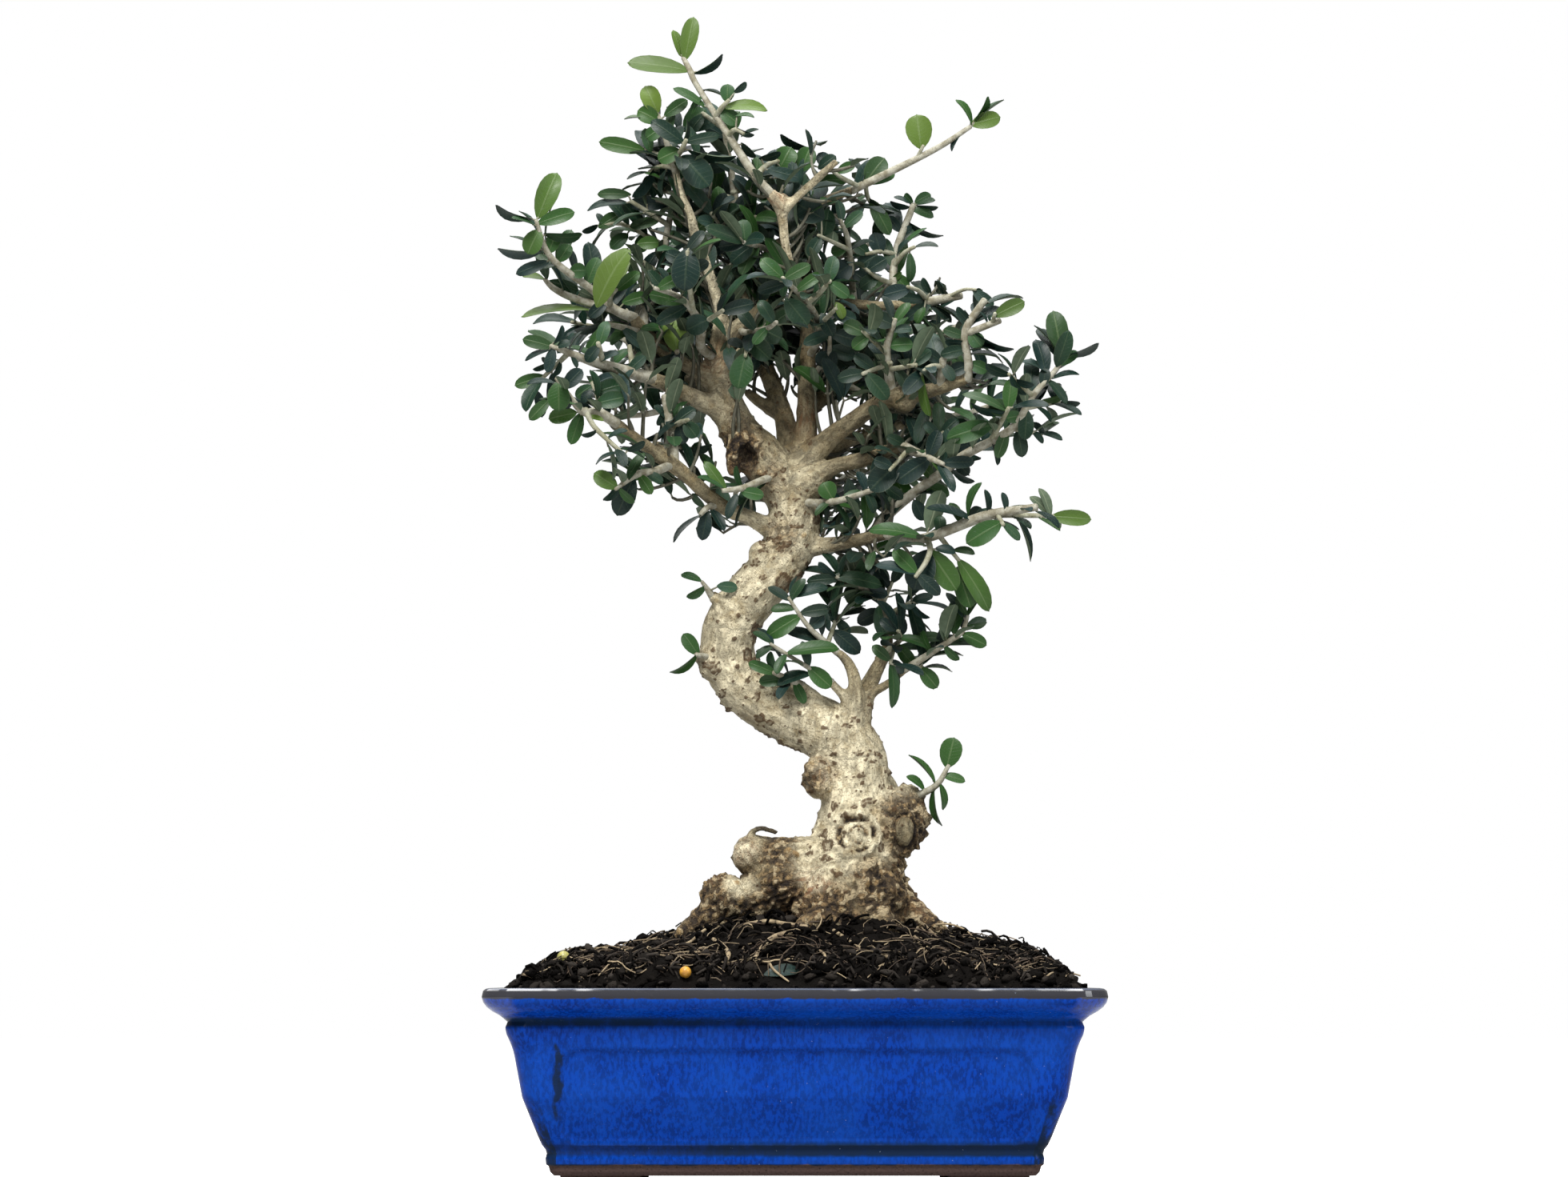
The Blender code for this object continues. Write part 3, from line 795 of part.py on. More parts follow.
            [(-27.5, -6, 187.5, 1.4), (-29, -8, 190.5, 0.9), (-31, -9, 192.5, 0.6)],
        ],
        "leaves": [(-26, 191, -19, 190.3, 3.6, 0.25), (-31, 192.5, -38, 195, 2.8, 0.3),
                   (-29.5, 191, -36, 187, 2.6, 0.3)],
    },
    "bend_left_twig": {
        "stub": 10.2, "pairs": 0,
        "twigs": [
            [(-22, -1, 166, 1.4), (-30, -7, 167.3, 1.1), (-33, -9, 168, 0.8)],
        ],
        "leaves": [(-32, 168, -37.3, 175, 4.6, 0.3), (-32.5, 167.8, -41.5, 161.5, 2.2, 0.3)],
    },
    "sprout": {
        "stub": 6.2, "pairs": 0,
        "twigs": [
            [(36.5, -2.5, 119, 1.5), (42, -6, 121.5, 1.3), (47, -8, 123.8, 1.1), (50, -9, 127, 0.9),
             (51.5, -9, 131, 0.7)],
        ],
        "leaves": [
            (51.5, 130.5, 53.3, 140.3, 7, 0.8), (47, 125, 38, 134.5, 2, 0.5),
            (43.5, 122.5, 37.3, 127.3, 2.6, 0.4), (48.5, 125, 50, 116, 2.6, 0.4),
            (46.5, 123.5, 48.3, 110.3, 1.8, 0.4), (50, 127, 57, 125.5, 3, 0.5),
        ],
    },
    "back_left_end": {
        "stub": 0, "pairs": 20,
        "twigs": [
            [(-50, 38, 271, 1.6), (-58, 44, 275, 1.3), (-66, 48, 280, 1), (-73, 51, 286, 0.7)],
            [(-58, 44, 275, 1), (-56, 51, 282, 0.9), (-55, 57, 289, 0.7)],
            [(-62, 46, 277.5, 0.9), (-68, 39, 278.5, 0.8), (-75, 33, 280, 0.6)],
        ],
        "leaves": [],
    },
    "back_left_mid": {
        "stub": 4.4, "pairs": 20,
        "twigs": [
            [(-37, 21, 261, 1.5), (-36, 30, 268, 1.3), (-35, 38, 276, 1.1), (-33, 45, 285, 0.7)],
            [(-35.7, 33, 271, 0.9), (-29, 38, 274, 0.8), (-23, 42, 278, 0.6)],
        ],
        "leaves": [],
    },
    "back_left_low": {
        "stub": 5.0, "pairs": 20,
        "twigs": [
            [(-32, 15, 257.5, 1.5), (-40, 19, 252, 1.3), (-49, 24, 249, 1.1), (-58, 28, 248, 0.7)],
            [(-45, 22, 250, 0.9), (-46, 31, 253, 0.8), (-48, 39, 257, 0.6)],
        ],
        "leaves": [],
    },
    "back_mast_top": {
        "stub": 0, "pairs": 20,
        "twigs": [
            [(-17, 34, 289, 1.7), (-20, 41, 298, 1.4), (-22, 47, 307, 1.1), (-25, 50, 315, 0.7)],
            [(-19, 39, 295, 1), (-11, 45, 299, 0.9), (-4, 50, 303, 0.7)],
            [(-21, 44, 302, 1), (-30, 44, 305, 0.8), (-38, 42, 308, 0.6)],
        ],
        "leaves": [],
    },
    "back_mast_mid": {
        "stub": 4.6, "pairs": 20,
        "twigs": [
            [(-13, 24, 275, 1.5), (-10, 33, 280, 1.3), (-5, 42, 284, 1.1), (0, 50, 289, 0.7)],
            [(-8, 36.5, 281.5, 0.9), (-13, 45, 282, 0.8), (-18, 53, 284, 0.6)],
        ],
        "leaves": [],
    },
    "back_right_end": {
        "stub": 0, "pairs": 20,
        "twigs": [
            [(37, 43, 270, 1.6), (45, 46, 274, 1.3), (54, 47, 278, 1.1), (62, 47, 283, 0.7)],
            [(43, 45, 273, 1), (42, 52, 279, 0.9), (41, 58, 286, 0.7)],
            [(50, 46.7, 276, 0.9), (57, 40, 274, 0.8), (65, 34, 272, 0.6)],
        ],
        "leaves": [],
    },
    "back_right_mid": {
        "stub": 4.4, "pairs": 20,
        "twigs": [
            [(21, 26, 261.5, 1.5), (21, 35, 267, 1.3), (20, 44, 273, 1.1), (18, 52, 280, 0.7)],
            [(21, 33, 266, 0.9), (14, 38, 268, 0.8), (7, 44, 270, 0.6)],
        ],
        "leaves": [],
    },
    "back_right_low": {
        "stub": 4.6, "pairs": 20,
        "twigs": [
            [(17, 21, 259, 1.5), (26, 24, 254, 1.3), (36, 29, 251, 1.1), (46, 34, 250, 0.7)],
            [(30, 26, 252.5, 0.9), (31, 36, 254, 0.8), (32, 45, 257, 0.6)],
        ],
        "leaves": [],
    },
    "back_low_end": {
        "stub": 0, "pairs": 20,
        "twigs": [
            [(14, 41, 225, 1.5), (19, 48, 229, 1.3), (25, 54, 233, 1.1), (32, 58, 238, 0.7)],
            [(17, 45.5, 227.5, 0.9), (9, 51, 230, 0.8), (1, 56, 233, 0.6)],
            [(21, 50, 230.5, 0.9), (29, 47, 228, 0.8), (37, 45, 227, 0.6)],
        ],
        "leaves": [],
    },
    "top_back": {
        "stub": 0, "pairs": 20,
        "twigs": [
            [(3, 31, 307, 1.4), (4, 37, 313, 1.2), (6, 41, 320, 0.9), (8, 43, 327, 0.7)],
            [(3.5, 34, 310, 0.9), (11, 38, 311, 0.8), (19, 40, 313, 0.6)],
            [(4, 36, 312, 0.9), (-4, 35, 316, 0.8), (-11, 33, 321, 0.6)],
        ],
        "leaves": [],
    },
    "top_back_mid": {
        "stub": 3.8, "pairs": 20,
        "twigs": [
            [(4, 18, 298.5, 1.3), (12, 21, 301, 1.1), (20, 24, 304, 0.9), (28, 26, 308, 0.7)],
            [(14, 22, 301.7, 0.8), (18, 28, 296, 0.7), (23, 33, 292, 0.6)],
        ],
        "leaves": [],
    },
}

# Parts of the front view that stay open sky between the leaves, as (x, z, half width, half height).
OPEN_SKY = [
    (-6, 253, 6, 9), (-13, 262, 2, 3), (22, 250.5, 4, 3), (55, 285, 5, 3), (66, 275, 8, 5),
    (-60, 271, 6, 3), (-50, 247, 5, 6), (-62, 243, 3, 3), (53, 250, 2, 1), (64, 253, 4, 3),
    (-24, 233, 5, 5), (0, 180, 8, 9), (20, 229, 6, 3), (31, 300, 2, 2), (44, 300, 8, 6), (12, 303, 4, 3),
    (24, 313, 4, 5), (30, 325, 6, 4), (50, 325, 14, 12), (-75, 262, 3, 2), (-90, 290, 8, 6),
    (-60, 331, 6, 3), (-10, 348, 8, 8), (36, 195, 4, 6), (75, 230, 10, 6), (60, 200, 12, 8),
    (-80, 235, 14, 10), (-45, 215, 10, 10), (0, 255, 3, 6), (10, 240, 3, 2),
]

PELLETS = {"pellet_amber": (-35, -63.5, 1.9), "pellet_green": (-75, -40, 2.1)}
FALLEN_LEAF = (-10, -62, 1.5, -60, 4.6)
SOIL_REST = 0.35
FALLEN_LIFT = 0.12

# Base colour, roughness and metallic of each sub-part.
COLOURS = {
    "glaze": ((0.012, 0.03, 0.16), 0.16, 0.0),
    "soil": ((0.018, 0.014, 0.011), 0.95, 0.0),
    "bark": ((0.42, 0.34, 0.23), 0.85, 0.0),
    "mesh": ((0.02, 0.02, 0.02), 0.5, 0.0),
    "amber": ((0.75, 0.45, 0.06), 0.45, 0.0),
    "green_pellet": ((0.55, 0.58, 0.16), 0.45, 0.0),
    "leaf_dark": ((0.022, 0.07, 0.045), 0.4, 0.0),
    "leaf_mid": ((0.05, 0.12, 0.04), 0.42, 0.0),
    "leaf_young": ((0.17, 0.28, 0.05), 0.45, 0.0),
}
YOUNG_SPRAY = 0.38
MID_SPRAY = 0.2


def clear_scene():
    for obj in list(bpy.data.objects):
        bpy.data.objects.remove(obj, do_unlink=True)


def new_collection(name):
    collection = bpy.data.collections.new(name)
    bpy.context.scene.collection.children.link(collection)
    return collection


def material(name):
    found = bpy.data.materials.get(name)
    if found:
        return found
    colour, roughness, metallic = COLOURS[name]
    made = bpy.data.materials.new(name)
    made.use_nodes = True
    shader = made.node_tree.nodes["Principled BSDF"]
    shader.inputs["Base Color"].default_value = (*colour, 1)
    shader.inputs["Roughness"].default_value = roughness
    shader.inputs["Metallic"].default_value = metallic
    made.diffuse_color = (*colour, 1)
    return made


def add_object(name, mesh, collection, finish=None):
    obj = bpy.data.objects.new(name, mesh)
    collection.objects.link(obj)
    if finish:
        mesh.materials.clear()
        mesh.materials.append(material(finish))
    return obj


def mesh_from(name, points, faces):
    mesh = bpy.data.meshes.new(name)
    mesh.from_pydata([tuple(point) for point in points], [], faces)
    mesh.validate()
    mesh.update()
    return mesh


def evaluated_mesh(obj):
    bpy.context.view_layer.update()
    graph = bpy.context.evaluated_depsgraph_get()
    return bpy.data.meshes.new_from_object(obj.evaluated_get(graph))


def apply_boolean(target, others, operation, solver="MANIFOLD"):
    """Joins or cuts target with a whole collection, applies it, and removes the collection's objects."""
    modifier = target.modifiers.new("boolean", "BOOLEAN")
    modifier.operation = operation
    modifier.operand_type = "COLLECTION"
    modifier.collection = others
    modifier.solver = solver
    result = evaluated_mesh(target)
    target.modifiers.remove(modifier)
    target.data = result
    for obj in list(others.objects):
        bpy.data.objects.remove(obj, do_unlink=True)


def bodies_of(form):
    """The separate bodies of a mesh, each a list of its vertices, the largest first."""
    done, bodies = set(), []
    for seed in form.verts:
        if seed in done:
            continue
        body, front = [], [seed]
        done.add(seed)
        while front:
            vert = front.pop()
            body.append(vert)
            for edge in vert.link_edges:
                other = edge.other_vert(vert)
                if other not in done:
                    done.add(other)
                    front.append(other)
        bodies.append(body)
    return sorted(bodies, key=len, reverse=True)


def tidy_body(name, mesh, angle=0.0):
    """Drops the scraps that a union can leave and, given an angle, joins faces that lie as flat as that."""
    form = bmesh.new()
    form.from_mesh(mesh)
    _, *scraps = bodies_of(form)
    if any(len(body) > LARGEST_SCRAP for body in scraps):
        raise ValueError(f"a piece of {name} isn't joined to the rest: {scraps[0][0].co / MM}")
    bmesh.ops.delete(form, geom=[vert for body in scraps for vert in body], context="VERTS")
    if angle:
        high = [vert for vert in form.verts if vert.co.z > SOIL_REACH * MM]
        edges = [edge for edge in form.edges if all(vert.co.z > SOIL_REACH * MM for vert in edge.verts)]
        bmesh.ops.dissolve_limit(form, angle_limit=math.radians(angle), verts=high, edges=edges)
        bmesh.ops.triangulate(form, faces=form.faces)
    form.to_mesh(mesh)
    form.free()


def spline_point(a, b, c, d, t):
    """A point between b and c on the smooth curve through the four."""
    return tuple(
        0.5 * (2 * q + (r - p) * t + (2 * p - 5 * q + 4 * r - s) * t * t + (3 * q - p - 3 * r + s) * t ** 3)
        for p, q, r, s in zip(a, b, c, d)
    )


def smooth_path(points, step):
    """Points about a step apart on a smooth curve through the given ones, radius included."""
    ends = [points[0], *points, points[-1]]
    fine = []
    for a, b, c, d in zip(ends, ends[1:], ends[2:], ends[3:]):
        fine.extend(spline_point(a, b, c, d, i / 8) for i in range(8))
    fine.append(tuple(points[-1]))
    gone = [0.0]
    for a, b in zip(fine, fine[1:]):
        gone.append(gone[-1] + math.dist(a[:3], b[:3]))
    pieces = max(1, round(gone[-1] / step))
    path = []
    at = 0
    for i in range(pieces):
        while gone[at] < gone[-1] * i / pieces:
            at += 1
        path.append(fine[at])
    return [*path, fine[-1]]


def seen(x, y, z):
    """The place, in millimetres, that the front view shows at x and z and that lies at depth y."""
    scale = (EYE_DISTANCE + y) / EYE_DISTANCE
    return Vector(((x - EYE_X) * scale + EYE_X, y, (z + TREE_LIFT - EYE_Z) * scale + EYE_Z))


def viewed(place):
    """The x and z at which the front view shows a place."""
    scale = EYE_DISTANCE / (EYE_DISTANCE + place[1])
    return (place[0] - EYE_X) * scale + EYE_X, (place[2] - EYE_Z) * scale + EYE_Z - TREE_LIFT


def placed(path):
    """A path of the front view as places with their radii."""
    return [(*seen(x, y, z), radius) for x, y, z, radius in path]


def tube_mesh(name, path, sides, grow=0.0):
    """A closed tube along (x, y, z, radius) points in millimetres, made as a bevelled curve."""
    curve = bpy.data.curves.new(name, "CURVE")
    curve.dimensions = "3D"
    curve.bevel_depth = MM
    curve.bevel_resolution = (sides - 4) // 2
    curve.use_fill_caps = True
    spline = curve.splines.new("POLY")
    spline.points.add(len(path) - 1)
    for point, (x, y, z, radius) in zip(spline.points, path):
        point.co = (x * MM, y * MM, z * MM, 1)
        point.radius = radius + grow
    obj = bpy.data.objects.new(name, curve)
    bpy.context.scene.collection.objects.link(obj)
    mesh = evaluated_mesh(obj)
    bpy.data.objects.remove(obj, do_unlink=True)
    bpy.data.curves.remove(curve)
    form = bmesh.new()
    form.from_mesh(mesh)
    bmesh.ops.remove_doubles(form, verts=form.verts, dist=1e-6)
    bmesh.ops.recalc_face_normals(form, faces=form.faces)
    form.to_mesh(mesh)
    form.free()
    return mesh


def limb_sides(path):
    return LIMB_SIDES if max(point[3] for point in path) > THICK_LIMB else THIN_SIDES


def plain_ring(half_x, half_y, corner):
    """A rounded rectangle with two points along each side."""
    points = []
    for quarter in range(4):
        sign_x = 1 if quarter in (0, 3) else -1
        sign_y = 1 if quarter in (0, 1) else -1
        centre = (sign_x * (half_x - corner), sign_y * (half_y - corner))
        for i in range(CORNER_POINTS):
            angle = math.pi / 2 * (quarter + i / (CORNER_POINTS - 1))
            points.append((centre[0] + corner * math.cos(angle), centre[1] + corner * math.sin(angle)))
        if quarter % 2 == 0:
            points.extend((sign_x * half_x * share, sign_y * half_y) for share in (0.35, -0.35))
        else:
            points.extend((sign_x * half_x, sign_y * half_y * share) for share in (0.3, -0.3))
    return points


def ring(half_x, half_y, corner):
    """A rounded rectangle with a fixed number of points, which mark the ends of the sunken panels too."""
    ends = []
    for half, mark in ((half_x, PANEL_HALF_LONG), (half_y, PANEL_HALF_SHORT)):
        outer = min(mark, half - corner - 0.5)
        ends.append((outer, outer - PANEL_STEP))
    points = []
    for quarter in range(4):
        sign_x = 1 if quarter in (0, 3) else -1
        sign_y = 1 if quarter in (0, 1) else -1
        centre = (sign_x * (half_x - corner), sign_y * (half_y - corner))
        for i in range(CORNER_POINTS + 1):
            angle = math.pi / 2 * (quarter + i / CORNER_POINTS)
            points.append((centre[0] + corner * math.cos(angle), centre[1] + corner * math.sin(angle)))
        outer, inner = ends[quarter % 2]
        marks = (outer, inner, -inner, -outer)
        if quarter % 2 == 0:
            points.extend((sign_x * mark, sign_y * half_y) for mark in marks)
        else:
            points.extend((sign_x * half_x, sign_y * mark) for mark in marks)
    return points


def sink_panel(points, half_x, half_y):
    """Pushes the stretches between the panel ends inwards."""
    sunk = []
    for x, y in points:
        if abs(x) < PANEL_HALF_LONG - PANEL_STEP / 2 and abs(y) > half_y - 0.01:
            y -= math.copysign(PANEL_DEPTH, y)
        elif abs(y) < PANEL_HALF_SHORT - PANEL_STEP / 2 and abs(x) > half_x - 0.01:
            x -= math.copysign(PANEL_DEPTH, x)
        sunk.append((x, y))
    return sunk


def loft(name, rings):
    """A closed solid through rings of like points, capped at both ends. Each ring is (z, points)."""
    count = len(rings[0][1])
    points = [Vector((x, y, z)) * MM for z, outline in rings for x, y in outline]
    faces = [tuple(reversed(range(count)))]
    for row in range(len(rings) - 1):
        for i in range(count):
            j = (i + 1) % count
            a, b = row * count, (row + 1) * count
            faces.append((a + i, a + j, b + j, b + i))
    faces.append(tuple(range((len(rings) - 1) * count, len(rings) * count)))
    mesh = mesh_from(name, points, faces)
    form = bmesh.new()
    form.from_mesh(mesh)
    bmesh.ops.recalc_face_normals(form, faces=form.faces)
    form.to_mesh(mesh)
    form.free()
    return mesh


def pot_ring(z, inset, corner_loss=0.35):
    half_x, half_y = RIM_HALF_X - inset, RIM_HALF_Y - inset
    outline = ring(half_x, half_y, max(3.0, RIM_CORNER - inset * corner_loss))
    if PANEL_LOW < z < PANEL_HIGH:
        outline = sink_panel(outline, half_x, half_y)
    return z, outline


def inner_ring(z, inset):
    half_x, half_y = RIM_HALF_X - inset, RIM_HALF_Y - inset
    return z, ring(half_x, half_y, max(3.0, RIM_CORNER - inset * 0.25))


def cylinder(name, radius, low, high, x, collection):
    form = bmesh.new()
    bmesh.ops.create_cone(
        form, cap_ends=True, segments=16, radius1=radius * MM, radius2=radius * MM, depth=(high - low) * MM,
        matrix=Matrix.Translation(Vector((x, 0, (low + high) / 2)) * MM),
    )
    mesh = bpy.data.meshes.new(name)
    form.to_mesh(mesh)
    form.free()
    return add_object(name, mesh, collection)


def block(name, size, centre, collection):
    form = bmesh.new()
    matrix = Matrix.Translation(Vector(centre) * MM) @ Matrix.Diagonal((*(Vector(size) * MM), 1))
    bmesh.ops.create_cube(form, size=1, matrix=matrix)
    mesh = bpy.data.meshes.new(name)
    form.to_mesh(mesh)
    form.free()
    return add_object(name, mesh, collection)


def make_pot(parts, scratch):
    rings = [pot_ring(z, inset) for z, inset in reversed(POT_OUTSIDE)]
    rings += [inner_ring(z, inset) for z, inset in POT_INSIDE]
    pot = add_object("pot", loft("pot", rings), parts)
    foot_height = FLOOR_BOTTOM + FOOT_SINK
    for sign_x in (-1, 1):
        for sign_y in (-1, 1):
            x = sign_x * (RIM_HALF_X - FOOT_INSET - FOOT_LENGTH / 2)
            y = sign_y * (RIM_HALF_Y - FOOT_INSET - FOOT_WIDTH / 2)
            block("foot", (FOOT_LENGTH, FOOT_WIDTH, foot_height), (x, y, foot_height / 2), scratch)
    apply_boolean(pot, scratch, "UNION")
    for sign_x in (-1, 1):
        cylinder("drain", DRAIN_RADIUS, FLOOR_BOTTOM - 3, FLOOR_TOP + 3, sign_x * DRAIN_X, scratch)
    apply_boolean(pot, scratch, "DIFFERENCE")
    pot.data.materials.clear()
    pot.data.materials.append(material("glaze"))
    return pot


def make_screens(parts, scratch):
    for name, sign_x in (("drain_screen_left", -1), ("drain_screen_right", 1)):
        centre = (sign_x * DRAIN_X, 0, FLOOR_TOP + SCREEN_LIFT + SCREEN_THICK / 2)
        screen = block(name, (SCREEN_SIDE, SCREEN_SIDE, SCREEN_THICK), centre, parts)
        middle = (SCREEN_HOLES - 1) / 2
        for i in range(SCREEN_HOLES):
            for j in range(SCREEN_HOLES):
                x = centre[0] + (i - middle) * SCREEN_PITCH
                y = (j - middle) * SCREEN_PITCH
                block("mesh_hole", (SCREEN_HOLE, SCREEN_HOLE, 3 * SCREEN_THICK), (x, y, centre[2]), scratch)
        apply_boolean(screen, scratch, "DIFFERENCE")
        screen.data.materials.clear()
        screen.data.materials.append(material("mesh"))


def wall_inset(z):
    """The inner wall's inset at a height."""
    for (high, inset_high), (low, inset_low) in zip(POT_INSIDE, POT_INSIDE[1:]):
        if low <= z <= high:
            return inset_low + (inset_high - inset_low) * (z - low) / (high - low)
    return POT_INSIDE[-1][1]


def mound(x, y, from_edge):
    """Height of the soil over its edge."""
    dx = (x - MOUND_X) / MOUND_SPREAD_X
    dy = y / MOUND_SPREAD_Y
    rise = EDGE_RISE * (1 - math.exp(-from_edge / EDGE_SPREAD))
    heap = MOUND_HEIGHT * math.exp(-(dx * dx + dy * dy)) * min(1.0, from_edge / HEAP_START)
    return rise + heap + SWELL * math.sin(x * 0.13 + y * 0.08)


def make_soil(parts, holes):
    rings = []
    for z in (SOIL_BOTTOM, 32.0, 60.5, SOIL_EDGE_TOP):
        inset = wall_inset(z) + SOIL_CLEAR
        rings.append((z, plain_ring(RIM_HALF_X - inset, RIM_HALF_Y - inset, RIM_CORNER)))
    count = len(rings[0][1])
    points = [Vector((x, y, z)) * MM for z, outline in rings for x, y in outline]
    outline = rings[-1][1]
    for share in MOUND_SHARES:
        for x, y in outline:
            far_x = x * share + MOUND_X * (1 - share)
            far_y = y * share
            lift = mound(far_x, far_y, (1 - share) * RIM_HALF_Y)
            points.append(Vector((far_x, far_y, SOIL_EDGE_TOP + lift)) * MM)
    rows = len(points) // count
    faces = [tuple(reversed(range(count)))]
    for row in range(rows - 1):
        for i in range(count):
            j = (i + 1) % count
            a, b = row * count, (row + 1) * count
            faces.append((a + i, a + j, b + j, b + i))
    centre = len(points)
    points.append(Vector((MOUND_X, 0, SOIL_EDGE_TOP + mound(MOUND_X, 0, RIM_HALF_Y))) * MM)
    last = (rows - 1) * count
    faces.extend((last + i, last + (i + 1) % count, centre) for i in range(count))
    mesh = mesh_from("soil", points, faces)
    form = bmesh.new()
    form.from_mesh(mesh)
    bmesh.ops.triangulate(form, faces=[face for face in form.faces if len(face.verts) > 4])
    bmesh.ops.recalc_face_normals(form, faces=form.faces)
    form.to_mesh(mesh)
    form.free()
    soil = add_object("soil", mesh, parts)
    apply_boolean(soil, holes, "DIFFERENCE")
    tidy_body("soil", soil.data)
    soil.data.materials.clear()
    soil.data.materials.append(material("soil"))
    return soil


def burl_mesh(name, x, y, z, rx, ry, rz, grow=0.0):
    form = bmesh.new()
    place = seen(x, y, z)
    size = Vector((rx + grow, ry + grow, rz + grow))
    matrix = Matrix.Translation(place * MM) @ Matrix.Diagonal((*(size * MM), 1))
    fineness = 2 if max(rx, rz) > ROUND_BURL else 1
    bmesh.ops.create_icosphere(form, subdivisions=fineness, radius=1, matrix=matrix)
    mesh = bpy.data.meshes.new(name)
    form.to_mesh(mesh)
    form.free()
    return mesh


def cut_path(path, at):
    """Splits a path at a distance from its start, with the radius carried along."""
    gone = 0.0
    for i in range(len(path) - 1):
        length = math.dist(path[i][:3], path[i + 1][:3])
        if gone + length > at:
            share = (at - gone) / length
            middle = tuple(a + (b - a) * share for a, b in zip(path[i], path[i + 1]))
            return [*path[:i + 1], middle], [middle, *path[i + 1:]]
        gone += length
    raise ValueError("a stub is longer than its twig")


def path_length(path):
    return sum(math.dist(a[:3], b[:3]) for a, b in zip(path, path[1:]))


def continued(path, wood_ends):
    """A twig that goes on from the nearest end of the wood, a thin gap away and facing it squarely."""
    start = Vector(path[0][:3])
    end, way = min(wood_ends, key=lambda item: (item[0] - start).length)
    first = (*(end + way * JOINT_GAP), path[0][3])
    second = (*(end + way * (JOINT_GAP + SQUARE_LENGTH)), path[0][3])
    return [first, second, *path[1:]]


def bent(path, bend):
    """The same twig in the front view, leaning towards or away from the eye by its far end."""
    whole = path_length(path)
    gone = 0.0
    result = [tuple(path[0])]
    for a, b in zip(path, path[1:]):
        gone += math.dist(a[:3], b[:3])
        result.append((b[0], b[1] + bend * gone / whole, b[2], b[3]))
    return result


def nearest_on(paths, x, z):
    """The place on the twigs that the front view shows closest to x and z."""
    best = None
    for path in paths:
        for a, b in zip(path, path[1:]):
            (ax, az), (bx, bz) = viewed(a), viewed(b)
            length = (bx - ax) ** 2 + (bz - az) ** 2
            share = 0.0 if not length else ((x - ax) * (bx - ax) + (z - az) * (bz - az)) / length
            most = 1.0 - END_COVER / math.dist(a[:3], b[:3]) if b is path[-1] else 1.0
            share = min(most, max(0.0, share))
            off = math.hypot(ax + (bx - ax) * share - x, az + (bz - az) * share - z)
            if best is None or off < best[0]:
                place = Vector([p + (q - p) * share for p, q in zip(a[:3], b[:3])])
                best = (off, place)
    return best


def blade_axes(base, tip, roll):
    """Along, across and face directions of a blade, turned by roll about its midrib from facing the eye."""
    along = (tip - base).normalized()
    face = Vector((0, -1, 0)) - along * -along.y
    face = face.normalized() if face.length > 1e-4 else Vector((0, 0, 1))
    across = along.cross(face)
    if across.z < 0:
        across = -across
    face = face * math.cos(roll) + across * math.sin(roll)
    return along, along.cross(face), face


def blade_shape(base, tip, width, roll, root, grow=0.0, start=0.0):
    """Points and faces of a lens-shaped blade that grows from root. With grow it is a thicker envelope."""
    along, across, face = blade_axes(base, tip, roll)
    length = (tip - base).length
    half = width / 2
    marks = [(share, side) for share, side in BLADE_OUTLINE if share > start]
    left, right = [], []
    for share, side in marks:
        lift = face * (width * BLADE_FOLD * side * side + length * BLADE_ARCH * 4 * share * (1 - share))
        middle = base + along * (length * share) + lift
        left.append(middle + across * (half * side + grow))
        right.append(middle - across * (half * side + grow))
    first = base + along * (length * start) if start else root - along * grow
    outline = [first, *left, tip + along * grow, *reversed(right)]
    centre = base + along * (length * max(0.5, start + 0.25)) + face * (length * BLADE_ARCH)
    count = len(outline)
    if not grow:
        points = [*outline, centre + face * (BLADE_THICK / 2), centre - face * (BLADE_THICK / 2)]
        faces = [(i, (i + 1) % count, count) for i in range(count)]
        faces += [((i + 1) % count, i, count + 1) for i in range(count)]
        return points, faces
    above = [point + face * grow for point in outline]
    below = [point - face * grow for point in outline]
    reach = BLADE_THICK / 2 + grow
    points = [*above, *below, centre + face * reach, centre - face * reach]
    faces = [(i, (i + 1) % count, 2 * count) for i in range(count)]
    faces += [(count + (i + 1) % count, count + i, 2 * count + 1) for i in range(count)]
    faces += [(i, count + i, count + (i + 1) % count) for i in range(count)]
    faces += [(i, count + (i + 1) % count, (i + 1) % count) for i in range(count)]
    return points, faces


def box_of(points):
    return [min(p[i] for p in points) for i in range(3)] + [max(p[i] for p in points) for i in range(3)]


def boxes_meet(a, b):
    return all(a[i] <= b[i + 3] and b[i] <= a[i + 3] for i in range(3))


class Shape:
    """A closed form in millimetres that others keep clear of."""

    def __init__(self, owner, points, faces):
        self.owner = owner
        self.box = box_of(points)
        self.tree = BVHTree.FromPolygons([tuple(p) for p in points], faces, all_triangles=False)

    def meets(self, other):
        return boxes_meet(self.box, other.box) and bool(self.tree.overlap(other.tree))


def shape_of_mesh(owner, mesh):
    points = [vert.co / MM for vert in mesh.vertices]
    return Shape(owner, points, [tuple(face.vertices) for face in mesh.polygons])


class Crown:
    """Everything placed so far, so that a new twig or leaf crosses nothing of another node."""

    def __init__(self):
        self.solids = []
        self.blades = []

    def blocked(self, owner, shape):
        return any(shape.meets(solid) for solid in self.solids if solid.owner != owner)

    def crosses_blade(self, owner, shape):
        return any(shape.meets(blade) for blade in self.blades if blade.owner == owner)


def leaf_fits(crown, owner, blade):
    """True when a blade crosses nothing of another node, and no other leaf of its own beyond their bases."""
    if crown.blocked(owner, Shape(owner, *blade_shape(*blade, CLEARANCE))):
        return False
    return not crown.crosses_blade(owner, Shape(owner, *blade_shape(*blade, CLEARANCE / 3, BASE_SHARE)))


